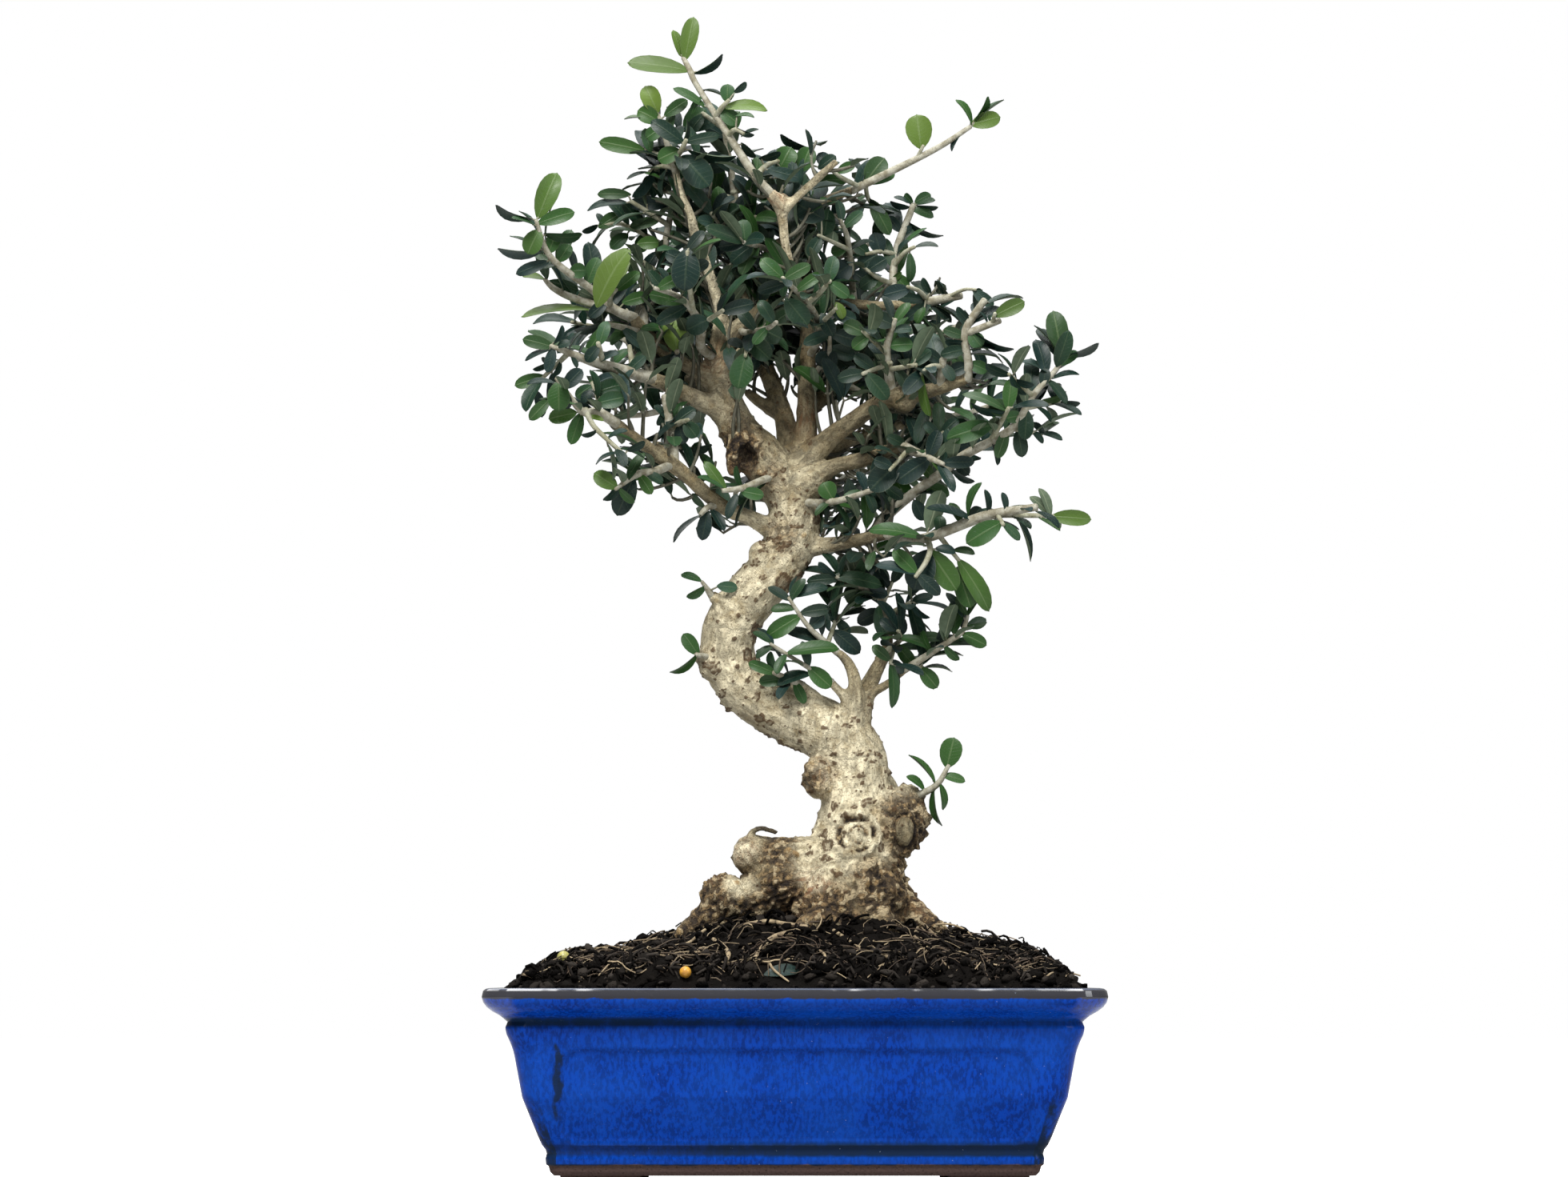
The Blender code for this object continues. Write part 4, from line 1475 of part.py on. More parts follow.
def find_leaf(crown, owner, paths, leaf):
    """A leaf of the front view as (base, tip, width, roll, root), leaned back or forth until it is clear."""
    x0, z0, x1, z1, width = leaf[:5]
    off, root = nearest_on(paths, x0, z0)
    flat = math.hypot(x1 - x0, z1 - z0)
    real_width = min(max(width, 0.3 * flat, 3.4), 9.4)
    roll = math.acos(min(1.0, width / real_width))
    steps = LEAF_STEPS if off > STALK_REACH else (0.0,)
    for tilt in LEAF_TILTS:
        for step in steps:
            base = seen(x0, root.y + step, z0) if off > STALK_REACH else root
            tip = seen(x1, base.y + tilt * flat, z1)
            blade = (base, tip, real_width, roll, root)
            if abs(tip.y) < CROWN_HALF_Y and leaf_fits(crown, owner, blade):
                return blade
    return None


def stations_on(path):
    """Points about a millimetre apart along a twig as it is, so that a leaf's root lies inside it."""
    points = []
    for a, b in zip(path, path[1:]):
        pieces = max(1, round(math.dist(a[:3], b[:3])))
        points.extend(tuple(p + (q - p) * i / pieces for p, q in zip(a, b)) for i in range(pieces))
    return [*points, tuple(path[-1])]


def rule_leaves(crown, owner, paths, spacing):
    """Leaf pairs along the twigs, each pair turned a quarter from the last, where there is room."""
    for number, path in enumerate(paths):
        stations = stations_on(path)
        gone = 0.0
        due = spacing * 0.6
        turn = 0
        for a, b in zip(stations, stations[1:]):
            gone += math.dist(a[:3], b[:3])
            last = b is stations[-1]
            if gone < due and not last:
                continue
            due = gone + spacing
            turn += 1
            way = (Vector(b[:3]) - Vector(a[:3])).normalized()
            root = Vector(b[:3]) - way * (END_COVER if last else 0.0)
            for side in (0, 1):
                draw = random.Random(f"{owner} {number} {turn} {side}")
                yield from clear_rule_leaf(crown, owner, root, way, turn, side, draw)


def clear_rule_leaf(crown, owner, root, way, turn, side, draw):
    across = way.cross(Vector((0, 0, 1)))
    across = across.normalized() if across.length > 0.1 else Vector((1, 0, 0))
    upright = across.cross(way)
    length = draw.uniform(11.0, 16.5)
    width = draw.uniform(4.2, 6.4)
    for attempt in range(5):
        angle = math.pi * (side + 0.5 * (turn % 2)) + draw.uniform(-0.5, 0.5)
        spread = math.radians(draw.uniform(42, 70))
        out = across * math.cos(angle) + upright * math.sin(angle)
        heading = way * math.cos(spread) + out * math.sin(spread)
        heading.z += draw.uniform(0.0, 0.3)
        tip = root + heading.normalized() * length * (1 - 0.08 * attempt)
        roll = draw.uniform(0.2, 1.3)
        if abs(tip.x) > CROWN_HALF_X or abs(tip.y) > CROWN_HALF_Y or in_open_sky(root, tip):
            continue
        blade = (root, tip, width, roll, root)
        if leaf_fits(crown, owner, blade):
            yield blade
            return


def in_open_sky(base, tip):
    for share in (0.4, 0.7, 1.0):
        x, z = viewed(base.lerp(tip, share))
        if any(((x - cx) / rx) ** 2 + ((z - cz) / rz) ** 2 < 1 for cx, cz, rx, rz in OPEN_SKY):
            return True
    return False


def grow_twigs(crown, name, spray, wood_ends):
    """The spray's twigs as places, each bent clear of the other nodes, and the stub that the wood keeps."""
    stub, paths = [], []
    for number, twig in enumerate(spray["twigs"]):
        if number:
            lean = nearest_on(paths, twig[0][0], twig[0][2])[1].y - twig[0][1]
            twig = [(x, y + lean, z, radius) for x, y, z, radius in twig]
        for bend in TWIG_BENDS:
            path = placed(smooth_path(bent(twig, bend), TWIG_STEP))
            kept = []
            if number == 0 and spray["stub"]:
                kept = cut_path(path, spray["stub"])[0]
                path = cut_path(path, spray["stub"] + JOINT_GAP)[1]
            elif number == 0:
                path = continued(path, wood_ends)
            free = cut_path(path, min(JOINT_FREE, 0.6 * path_length(path)))[1] if number == 0 else path
            starts_clear = clear_of_others(crown, name, path, START_CLEAR)
            if starts_clear and clear_of_others(crown, name, free, CLEARANCE):
                paths.append(path)
                stub = kept or stub
                break
        else:
            raise ValueError(f"twig {number} of {name} has no room")
    return stub, paths


def clear_of_others(crown, name, path, grow):
    mesh = tube_mesh("test", path, TWIG_SIDES, grow)
    shape = shape_of_mesh(name, mesh)
    bpy.data.meshes.remove(mesh)
    return not crown.blocked(name, shape)


def blade_mesh(name, blade):
    points, faces = blade_shape(*blade)
    mesh = mesh_from(name, [point * MM for point in points], faces)
    form = bmesh.new()
    form.from_mesh(mesh)
    bmesh.ops.recalc_face_normals(form, faces=form.faces)
    form.to_mesh(mesh)
    form.free()
    return mesh


def make_spray(name, spray, paths, leaves, parts, scratch):
    main = tube_mesh(name, paths[0], TWIG_SIDES)
    obj = add_object(name, main, parts)
    for path in paths[1:]:
        add_object("twig", tube_mesh("twig", path, TWIG_SIDES), scratch)
    for blade in leaves:
        add_object("leaf", blade_mesh("leaf", blade), scratch)
    apply_boolean(obj, scratch, "UNION")
    tidy_body(name, obj.data)
    tones = [leaf[5] for leaf in spray["leaves"] if leaf[5] >= 0]
    tone = sum(tones) / len(tones) if tones else 0.0
    finish = "leaf_young" if tone > YOUNG_SPRAY else "leaf_mid" if tone > MID_SPRAY else "leaf_dark"
    obj.data.materials.clear()
    obj.data.materials.append(material(finish))
    return obj


def wood_pieces():
    """Every piece of the wood, as (name, path or burl, sides)."""
    yield "trunk_line", smooth_path(TRUNK_LINE, TRUNK_STEP), TRUNK_SIDES
    for name, path in WOOD.items():
        yield name, smooth_path(path, LIMB_STEP), limb_sides(path)


def make_trunk(stubs, parts, scratch):
    trunk = None
    for name, path, sides in wood_pieces():
        mesh = tube_mesh(name, placed(path), sides)
        if trunk is None:
            trunk = add_object("trunk", mesh, parts)
        else:
            add_object(name, mesh, scratch)
    for burl in BURLS:
        add_object("burl", burl_mesh("burl", *burl), scratch)
    apply_boolean(trunk, scratch, "UNION")
    tidy_body("trunk", trunk.data, WOOD_FLAT)
    for stub in stubs:
        add_object("stub", tube_mesh("stub", stub, TWIG_SIDES), scratch)
    apply_boolean(trunk, scratch, "UNION")
    add_object("hollow", burl_mesh("hollow", *HOLLOW), scratch)
    apply_boolean(trunk, scratch, "DIFFERENCE")
    tidy_body("trunk", trunk.data)
    trunk.data.materials.clear()
    trunk.data.materials.append(material("bark"))
    return trunk


def soil_cutters(scratch):
    """Grown copies of the wood that stands in the soil."""
    for name, path, sides in wood_pieces():
        if min(point[2] for point in path) < SOIL_REACH - TREE_LIFT:
            ends = placed(path)
            first, last = Vector(ends[0][:3]), Vector(ends[-1][:3])
            before = first + (first - Vector(ends[1][:3])).normalized() * HOLE_CLEAR
            beyond = last + (last - Vector(ends[-2][:3])).normalized() * HOLE_CLEAR
            ends = [(*before, ends[0][3]), *ends, (*beyond, ends[-1][3])]
            add_object("hole", tube_mesh("hole", ends, sides, HOLE_CLEAR), scratch)
    for burl in BURLS:
        if burl[2] - burl[5] < SOIL_REACH - TREE_LIFT:
            add_object("hole", burl_mesh("hole", *burl, grow=1.6 * HOLE_CLEAR), scratch)


def soil_tree(soil):
    points = [vert.co / MM for vert in soil.data.vertices]
    return BVHTree.FromPolygons(points, [tuple(face.vertices) for face in soil.data.polygons])


def rest_on(tree, x, y, clear):
    """The lowest place over x and y that is a given distance clear of the soil, on a slope too."""
    place = Vector((x, y, tree.ray_cast(Vector((x, y, 200)), Vector((0, 0, -1)))[0].z + clear))
    while tree.find_nearest(place)[3] < clear:
        place.z += 0.05
    return place


def make_pellets(soil, parts):
    tree = soil_tree(soil)
    for name, (x, y, radius) in PELLETS.items():
        form = bmesh.new()
        place = rest_on(tree, x, y, radius + SOIL_REST)
        matrix = Matrix.Translation(place * MM)
        bmesh.ops.create_icosphere(form, subdivisions=2, radius=radius * MM, matrix=matrix)
        mesh = bpy.data.meshes.new(name)
        form.to_mesh(mesh)
        form.free()
        add_object(name, mesh, parts, "amber" if name == "pellet_amber" else "green_pellet")


def make_fallen_leaf(soil, parts):
    x0, y0, x1, y1, width = FALLEN_LEAF
    tree = soil_tree(soil)
    base = rest_on(tree, x0, y0, width * FALLEN_LIFT)
    tip = rest_on(tree, x1, y1, width * FALLEN_LIFT)
    blade = (base, tip, width, math.radians(38), base)
    add_object("fallen_leaf", blade_mesh("fallen_leaf", blade), parts, "leaf_dark")


def main():
    clear_scene()
    parts = new_collection(COLLECTION_NAME)
    scratch = new_collection("cutters")
    make_pot(parts, scratch)
    make_screens(parts, scratch)
    soil_cutters(scratch)
    soil = make_soil(parts, scratch)
    make_pellets(soil, parts)
    make_fallen_leaf(soil, parts)

    crown = Crown()
    wood_ends = []
    for name, path, sides in wood_pieces():
        ends = placed(path)
        last, before = Vector(ends[-1][:3]), Vector(ends[-2][:3])
        wood_ends.append((last, (last - before).normalized()))
        mesh = tube_mesh(name, ends, sides)
        crown.solids.append(shape_of_mesh(name, mesh))
        bpy.data.meshes.remove(mesh)
    for burl in BURLS:
        mesh = burl_mesh("burl", *burl)
        crown.solids.append(shape_of_mesh("burl", mesh))
        bpy.data.meshes.remove(mesh)

    stubs, grown = [], {}
    for name, spray in SPRAYS.items():
        stub, paths = grow_twigs(crown, name, spray, wood_ends)
        grown[name] = paths
        if stub:
            stubs.append(stub)
            mesh = tube_mesh("stub", stub, TWIG_SIDES)
            crown.solids.append(shape_of_mesh("stub " + name, mesh))
            bpy.data.meshes.remove(mesh)
        for path in paths:
            mesh = tube_mesh("twig", path, TWIG_SIDES)
            crown.solids.append(shape_of_mesh(name, mesh))
            bpy.data.meshes.remove(mesh)

    leaves = {name: [] for name in SPRAYS}

    def keep(name, leaf):
        leaves[name].append(leaf)
        crown.solids.append(Shape(name, *blade_shape(*leaf)))
        crown.blades.append(Shape(name, *blade_shape(*leaf, CLEARANCE / 3, BASE_SHARE)))

    for name, spray in SPRAYS.items():
        for leaf in spray["leaves"]:
            if leaf[4] < THINNEST_SEEN:
                continue
            found = find_leaf(crown, name, grown[name], leaf)
            if found:
                keep(name, found)
            else:
                print(f"left out a leaf of {name} that has no room: {leaf}")
    for name, spray in SPRAYS.items():
        if spray["pairs"]:
            for leaf in rule_leaves(crown, name, grown[name], spray["pairs"]):
                keep(name, leaf)

    make_trunk(stubs, parts, scratch)
    for name, spray in SPRAYS.items():
        make_spray("spray_" + name, spray, grown[name], leaves[name], parts, scratch)
    bpy.context.scene.collection.children[scratch.name].hide_render = True


main()
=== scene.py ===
"""Olive bonsai in a blue glazed pot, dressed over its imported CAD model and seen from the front."""

import json
import math
import random

import bmesh
import bpy
import numpy as np
from bpy.props import FloatProperty, FloatVectorProperty, IntProperty, PointerProperty
from mathutils import Euler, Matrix, Vector, kdtree, noise

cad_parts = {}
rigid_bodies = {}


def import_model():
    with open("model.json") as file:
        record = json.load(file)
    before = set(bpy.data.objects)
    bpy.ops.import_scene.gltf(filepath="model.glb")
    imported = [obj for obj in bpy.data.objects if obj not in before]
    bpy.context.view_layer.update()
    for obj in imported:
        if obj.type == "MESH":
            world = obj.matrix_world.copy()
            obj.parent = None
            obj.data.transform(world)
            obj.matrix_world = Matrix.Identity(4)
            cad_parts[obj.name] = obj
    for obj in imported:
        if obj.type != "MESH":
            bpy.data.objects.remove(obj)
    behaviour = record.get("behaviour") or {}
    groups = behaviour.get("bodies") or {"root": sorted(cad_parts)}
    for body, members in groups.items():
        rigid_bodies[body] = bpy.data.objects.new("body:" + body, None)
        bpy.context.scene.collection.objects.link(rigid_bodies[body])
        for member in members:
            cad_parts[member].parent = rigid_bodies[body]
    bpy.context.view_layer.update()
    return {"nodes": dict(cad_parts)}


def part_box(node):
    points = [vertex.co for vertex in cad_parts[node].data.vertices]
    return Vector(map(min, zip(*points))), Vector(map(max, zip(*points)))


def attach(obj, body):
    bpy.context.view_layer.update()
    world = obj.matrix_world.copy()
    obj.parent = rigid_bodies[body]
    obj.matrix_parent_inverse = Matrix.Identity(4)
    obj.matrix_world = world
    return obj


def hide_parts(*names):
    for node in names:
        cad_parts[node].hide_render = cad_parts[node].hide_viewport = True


bl_info = {
    "name": "Olive bonsai",
    "version": (1, 0, 0),
    "blender": (4, 5, 0),
    "location": "3D View > Sidebar > Olive bonsai",
    "description": "Builds an olive bonsai in a glazed pot around its packed model",
    "category": "Object",
}

for left_over in list(bpy.data.objects):
    bpy.data.objects.remove(left_over)
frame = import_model()

# Lengths are in millimetres here, and in metres in Blender.
MM = 0.001
# The boxes of what lies free on the soil, in millimetres.
SMALL_THINGS = ("fallen_leaf", "pellet_amber", "pellet_green")
SMALL_BOXES = [[tuple(corner / MM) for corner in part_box(name)] for name in SMALL_THINGS]

# The pot.
RIM_HALF_X = 100.0
RIM_HALF_Y = 75.0
RIM_TOP = 66.0
RIM_CORNER = 11.0
FLOOR_BOTTOM = 6.0
DRAIN_X = 40.0
DRAIN_RADIUS = 7.0
FOOT_SIZE = (26.0, 18.0)
FOOT_INSET = 24.5
PANEL_LOW = 15.6
PANEL_HIGH = 47.0
PANEL_DEPTH = 1.3
PANEL_HALF_LONG = 76.0
PANEL_HALF_SHORT = 47.0
PANEL_CORNER = 7.0
PANEL_SLOPE = 1.8
BARE_CLAY_TOP = 9.4
CORNER_FLARE = 1.7
CORNER_FLARE_AT = 53.0
CORNER_FLARE_HEIGHT = 4.5
# Heights between which marks of the glaze fade in, and with four of them out again.
LIP_EDGE = (62.2, 63.4)
INNER_EDGE = (62.5, 64.5)
# Heights of the painted highlight along the top of the lip.
LIP_PAINTED_HIGHLIGHT = (65.3, 65.6)
LIP_COAT = (63.6, 65.0)
CORNER_COAT = (57.0, 60.0)
# The band under the rim is painted shade below the rolled rim, over some pooled glaze.
UNDER_RIM = (52.6, 54.8, 55.6, 58.0)
BELT = (11.6, 13.0, 15.0, 18.5)
LOW_LINE = (9.6, 10.2)
STAIN_FOOT = (17, 30)
STAIN_TOP = (39, 49)
CORNER_STAIN = (14, 40)
CORNER_STAIN_TOP = 56
BARE_INSIDE = (58, 62)
STAIN_WIDTH = 2.2
SHARP_ANGLE = 40
# Height and inset of the wall's outside from the lip down, and of its inside.
POT_OUTSIDE = [
    (66.0, 2.6), (65.8, 1.3), (65.1, 0.4), (63.2, 0.0), (61.4, 0.5), (60.0, 1.6), (58.6, 3.6), (57.2, 6.4),
    (56.0, 8.2), (55.2, 9.3), (54.4, 9.2), (53.6, 9.0), (51.0, 9.2), (47.6, 9.6), (46.4, 9.8), (31.0, 12.6),
    (18.4, 17.6), (15.8, 18.8), (14.4, 19.9), (13.0, 20.3), (11.4, 19.9), (9.6, 20.1), (9.0, 20.9), (7.2, 21.4),
    (6.0, 22.5),
]
POT_INSIDE = [(66.0, 6.4), (65.6, 7.6), (64.6, 8.6), (60.5, 10.6), (32.0, 18.0), (13.5, 26.2), (12.0, 28.5)]

# The soil.
SOIL_EDGE_TOP = 64.6
SOIL_EDGE_INSET = 9.1
MOUND_X = 8.0
MOUND_HEIGHT = 17.5
MOUND_SPREAD = (58.0, 42.0)
EDGE_RISE = 10.0
EDGE_SPREAD = 5.0
HEAP_START = 12.0
SWELL = 0.9
SKIRT_BOTTOM = 56
SOIL_REACH = (89, 64)
CRUMB_SIZES = (0.6, 0.8, 1.0, 1.3, 1.7, 2.3)
FIBRE_WIDTHS = (0.12, 0.15, 0.18, 0.26)
FIBRE_STEP = 1.7

# Roots that lie on the soil, each a list of (x, z, radius) in the front view.
SURFACE_ROOTS = [
    [(-13, 67, 0.9), (-10, 71, 1.2), (-6, 74, 1.3), (2, 76, 1.3)],
    [(-27, 73, 0.9), (-24, 71, 1.1), (-22, 68, 1.1), (-23, 65, 0.9)],
    [(20, 71, 0.6), (26, 69, 0.7), (32, 67, 0.8), (38, 67, 0.5)],
    [(41, 77, 0.6), (40, 74, 0.6), (44, 71, 0.55), (48, 67, 0.5), (52, 63, 0.4)],
    [(7, 70, 0.5), (10, 68, 0.6), (10, 65, 0.6), (10, 62, 0.5)],
    [(-16, 78, 1), (-9, 79, 1), (-3, 78, 1.1), (4, 77, 1.2)],
    [(-13, 66, 0.5), (-9, 66, 0.5), (-7, 63, 0.55), (-2, 59, 0.4)],
    [(-69, 64, 0.4), (-66, 67, 0.5), (-62, 65, 0.45), (-58, 66, 0.4)],
    [(-34, 65, 0.6), (-33, 68, 0.7), (-31, 70, 0.8), (-28, 70, 0.5)],
    [(56, 64, 0.4), (60, 66, 0.45), (65, 65, 0.45), (69, 64, 0.4)],
    [(83, 60, 0.35), (86, 62, 0.4), (91, 62, 0.4), (95, 61, 0.35)],
    [(47, 78, 0.4), (52, 78, 0.4), (57, 76, 0.35), (60, 73, 0.3)],
    [(43, 78, 0.7), (45, 76, 0.7), (47, 74, 0.6)],
    [(-52, 68, 0.4), (-46, 70, 0.5), (-40, 68, 0.5), (-35, 65, 0.4)],
    [(-24, 79, 0.7), (-30, 76, 0.7), (-35, 72, 0.6), (-40, 71, 0.4)],
    [(22, 65, 0.4), (27, 64, 0.45), (31, 65, 0.4)],
    [(13, 76, 0.8), (16, 74, 0.8), (19, 72, 0.6)],
]

# The front view from which the tables below are read: x and z are as seen, y is the depth.
EYE_X = -3.5
EYE_Z = 69.0
EYE_DISTANCE = 1600.0
TREE_LIFT = 9.0

# Wood: each limb as (x, y, z, radius).
TRUNK_LINE = [
    (17, 0, 44, 15), (17, 0, 66, 20), (17, 0, 80, 21.5), (18, 0, 91, 19.5), (19.5, 0, 100, 16.8),
    (20.3, 0, 108, 14.4), (20.5, 0, 118, 11.8), (21, 0, 127, 10.9), (19, 0.5, 135, 10.9), (11, 1, 142, 10.5),
    (1, 2, 147, 10), (-9, 3, 152, 9.4), (-18, 3, 159, 9.2), (-22.4, 2, 168, 9.2), (-21, 0, 178, 9.1),
    (-15, -1, 187, 9), (-9, -1, 194, 8.8), (-3, 0, 202, 8.7), (0, 0, 210, 8.6), (-0.5, 0, 219, 8.7),
    (-2.5, 0, 227, 8.8),
]
WOOD = {
    "left_limb": [
        (-3, 0, 222, 7.6), (-10, -2, 233, 8.2), (-17, -3, 241, 6.9), (-22, -3, 251, 5.8), (-24.5, -3, 260, 5),
        (-26, -3, 267, 4.6), (-26, -3, 272, 3.6),
    ],
    "limb_spur": [
        (-25, -3, 262, 4.6), (-23.5, -3, 271, 3.7), (-18, -4, 279, 2.8), (-14, -5, 282, 2.2), (-10.8, -6, 286, 1.8),
        (-10, -6, 292, 1.6),
    ],
    "white_shoot": [
        (-26, -3, 266, 4), (-25.5, -4, 275, 3), (-24.5, -5, 282, 2.4), (-27, -8, 291, 2), (-30, -10, 300, 1.9),
        (-33, -12, 308, 1.8), (-35, -13.5, 316, 1.7), (-38, -15, 323, 1.5), (-40, -16, 331, 1.4),
    ],
    "limb_twig": [(-25, -4, 263, 2.4), (-21, -7, 266, 1.7), (-18, -8, 270.5, 1.6), (-15, -8, 271.5, 1.4)],
    "left_high_arm": [
        (-24, -3, 258, 4), (-35, -4, 265, 2.9), (-44, -6, 270.5, 2.6), (-51, -8, 277, 2.4), (-54, -9, 281.5, 2),
    ],
    "left_low_arm": [(-22, -3, 249, 4), (-33, -7, 254, 3.2), (-40, -11, 257.5, 2.8), (-48, -17.5, 261, 2.4)],
    "left_bottom_arm": [
        (-4, 0, 208, 4), (-14, -4, 213.5, 2.8), (-22, -8, 216.5, 2.6), (-29, -12, 221.5, 2.5), (-36, -17.5, 228, 2.5),
        (-42, -22, 232.5, 2.7), (-47, -26, 236, 2.2), (-54, -30, 241, 2.1), (-60, -34.5, 246, 1.9),
    ],
    "center_mast": [
        (-1, 0, 224, 7), (2.5, 2, 236, 5.2), (4, 3, 245, 3.7), (4, 4, 255, 3.1), (4.3, 5, 265, 3), (4.5, 6, 275, 2.8),
        (6, 8, 285, 2.5), (4, 9, 296, 2),
    ],
    "back_mast": [
        (-1, 2, 232, 5), (-3, 10, 246, 3.6), (-6, 14, 255, 3.2), (-9, 18, 263, 3), (-12, 22, 270, 2.6),
        (-14, 26, 280, 2.2), (-17, 34, 289, 1.8),
    ],
    "back_snag": [(-6, 13, 249, 2.2), (-13, 12, 254, 2), (-16, 12, 256.5, 1.5)],
    "right_upper_arm": [
        (2, 0, 231, 5), (12, -4, 241, 3.5), (19, -8, 246, 3.1), (26, -11, 251, 3.1), (33, -15, 254.5, 3.2),
        (42, -17.5, 256, 2.8), (50, -20.5, 258, 2.2), (58, -22, 261, 1.9),
    ],
    "right_mid_arm": [
        (3, 2, 228, 4.5), (15, 6, 238, 2.6), (24, 9, 242, 2.3), (34, 12, 245, 1.9), (42, 15, 246.5, 1.5),
    ],
    "right_low_mid_arm": [
        (3, -1, 226, 4.5), (13, -5, 231, 2.8), (21, -9, 233, 2.7), (30, -13.5, 236, 2.4), (36, -17.5, 238, 2),
    ],
    "right_bottom_arm": [(0, 0, 203, 4), (13, -4, 205, 2.6), (22, -9, 206.5, 2.3), (31, -15, 208.5, 2.1)],
    "right_high_arm": [
        (5, 7, 281, 2.4), (13, 6, 287, 2.1), (22, 3, 286, 1.8), (32, 0, 285.5, 1.7), (43, -3, 286.5, 1.8),
    ],
    "back_left_arm": [(-20, -1, 247, 4.5), (-30, 12, 256, 2.7), (-41, 26, 264, 2.2), (-50, 38, 271, 1.7)],
    "back_right_arm": [(3, 4, 249, 3.3), (13, 17, 257, 2.5), (25, 31, 264, 2.1), (37, 43, 270, 1.7)],
    "back_low_arm": [(-1, 1, 207, 5), (4, 15, 213, 2.6), (9, 29, 219, 2), (14, 41, 225, 1.5)],
    "mid_riser": [(-15, -5, 281, 2.2), (-17, 3, 291, 1.7), (-19, 8, 305, 1.6), (-20, 8, 318, 1.4)],
    "diagonal": [
        (-10, -6, 290, 1.7), (-12, 2, 297, 1.7), (-8, 4, 303, 1.7), (0, 2, 312, 1.7), (8, 0, 320, 1.7),
        (20, -2, 325, 1.5),
    ],
    "apex_leader": [
        (4.5, 6, 273, 2.6), (4, -2, 284, 1.9), (2, -10, 292, 1.6), (-1, -19, 299, 1.5), (-3, -22, 306, 1.6),
        (-4, -23, 315, 1.8), (-5.2, -24.5, 320, 2.3), (-8, -25.5, 323.5, 2.2),
    ],
    "apex_stub": [(-4.5, -23, 317, 1.8), (2, -26, 323.5, 1.5), (8, -27.5, 329, 1.5), (14, -29, 334.5, 1.2)],
    "top_back_arm": [(4, 9, 292, 2.2), (4, 20, 300, 1.7), (3, 31, 307, 1.4)],
    "shoot_a": [
        (20, 0, 140, 4.6), (22.5, 3, 152, 3.6), (25, 4, 158, 3), (28, 4, 164, 2.4), (31, 4, 170, 2),
        (31, 3, 178, 1.7),
    ],
    "shoot_b": [
        (19.5, -3, 141, 4), (20.5, -5, 152, 2.8), (20, -5, 160, 2.3), (17.5, -6, 166, 1.8), (14, -7, 169, 1.4),
    ],
    "shoot_c": [(17, -3, 143, 3.5), (17.5, -4, 152, 2), (12, -7, 159, 1.4)],
    "shoot_d": [(9, -1, 144, 4), (8.5, -3, 152.5, 1.9), (2, -7, 158, 1.5)],
    "shoot_e": [(21.5, -2, 143, 4), (25, -4, 154, 2), (31, -6, 158, 1.5), (37, -8, 163, 1.4)],
    "bend_snag": [(-20, -3, 183, 3), (-27.5, -6, 187.5, 2)],
    "side_root": [(12, -3, 100, 8), (2, -5, 101, 6.2), (-9, -6, 101, 5.8), (-14.5, -6, 101.5, 4.8)],
    "root_hook": [(-13, -8, 103, 1.6), (-15, -9, 108, 1.2), (-11, -10, 110, 1), (-6, -9, 108.5, 0.9)],
    "left_root": [
        (8, -3, 92, 10), (-6, -6, 90, 8.6), (-18, -9, 86, 6.8), (-28, -11, 81, 5), (-36, -12, 75, 3.6),
        (-42, -13, 68, 2.4),
    ],
    "left_back_root": [(10, 4, 88, 9), (-4, 14, 83, 6), (-16, 24, 76, 4), (-26, 32, 66, 2.8)],
    "right_root": [(26, 0, 90, 9), (36, -3, 84, 6), (44, -6, 78, 4), (52, -8, 71, 2.8), (58, -9, 64, 2)],
    "right_back_root": [(24, 4, 88, 9), (34, 16, 80, 5.5), (42, 26, 71, 3.4), (48, 32, 62, 2.4)],
    "front_root": [(14, -8, 88, 7), (10, -16, 82, 4.6), (3, -22, 77, 3.2), (-5, -26, 70, 2.2), (-9, -28, 63, 1.6)],
    "front_right_root": [(24, -8, 86, 7), (29, -17, 79, 4), (35, -24, 71, 2.6), (39, -28, 63, 1.8)],
    "crossing_root": [(-24, -14, 78, 2.2), (-26, -18, 73, 2), (-24, -21, 68, 1.6), (-21, -22, 62, 1.4)],
    "hollow_lip": [(-20, -6, 229, 2.4), (-20.5, -8, 236, 2.6), (-18, -9, 242, 2.2)],
}

# Swellings on the wood, as (x, y, z, half sizes along x, y and z).
BURLS = [
    (33, -3, 112, 11, 9.5, 11.5), (37.5, -3, 119, 5.6, 5.2, 5.6), (8.7, -4, 127, 5.8, 6.8, 7.2),
    (27, -10, 88, 10, 8, 9), (-5, -7, 92, 12, 9, 9), (20.5, -10, 107.5, 6.8, 5, 6.8), (-13.8, -6, 101.3, 7, 7, 6.6),
    (24, 9, 101, 10, 10, 12), (-27.5, -1, 166, 5, 6, 7), (-11.5, -6, 201, 4, 4, 5), (5, -3, 226, 5.5, 6, 6.5),
    (-26, -5, 252, 3.6, 4, 5.5), (37, -16, 252.5, 4, 3.6, 3.4), (-46, -22, 236, 3.4, 3.2, 3.6),
    (-4, -23.5, 321.5, 2.2, 2.3, 2.4), (-23, -10, 86.5, 8.4, 7.8, 7.8), (29, 7, 121, 6, 6, 8),
]
# The hollow beside the left limb, as centre and half sizes.
HOLLOW = (-16, -10.5, 234, 3.3, 5.2, 5.2)

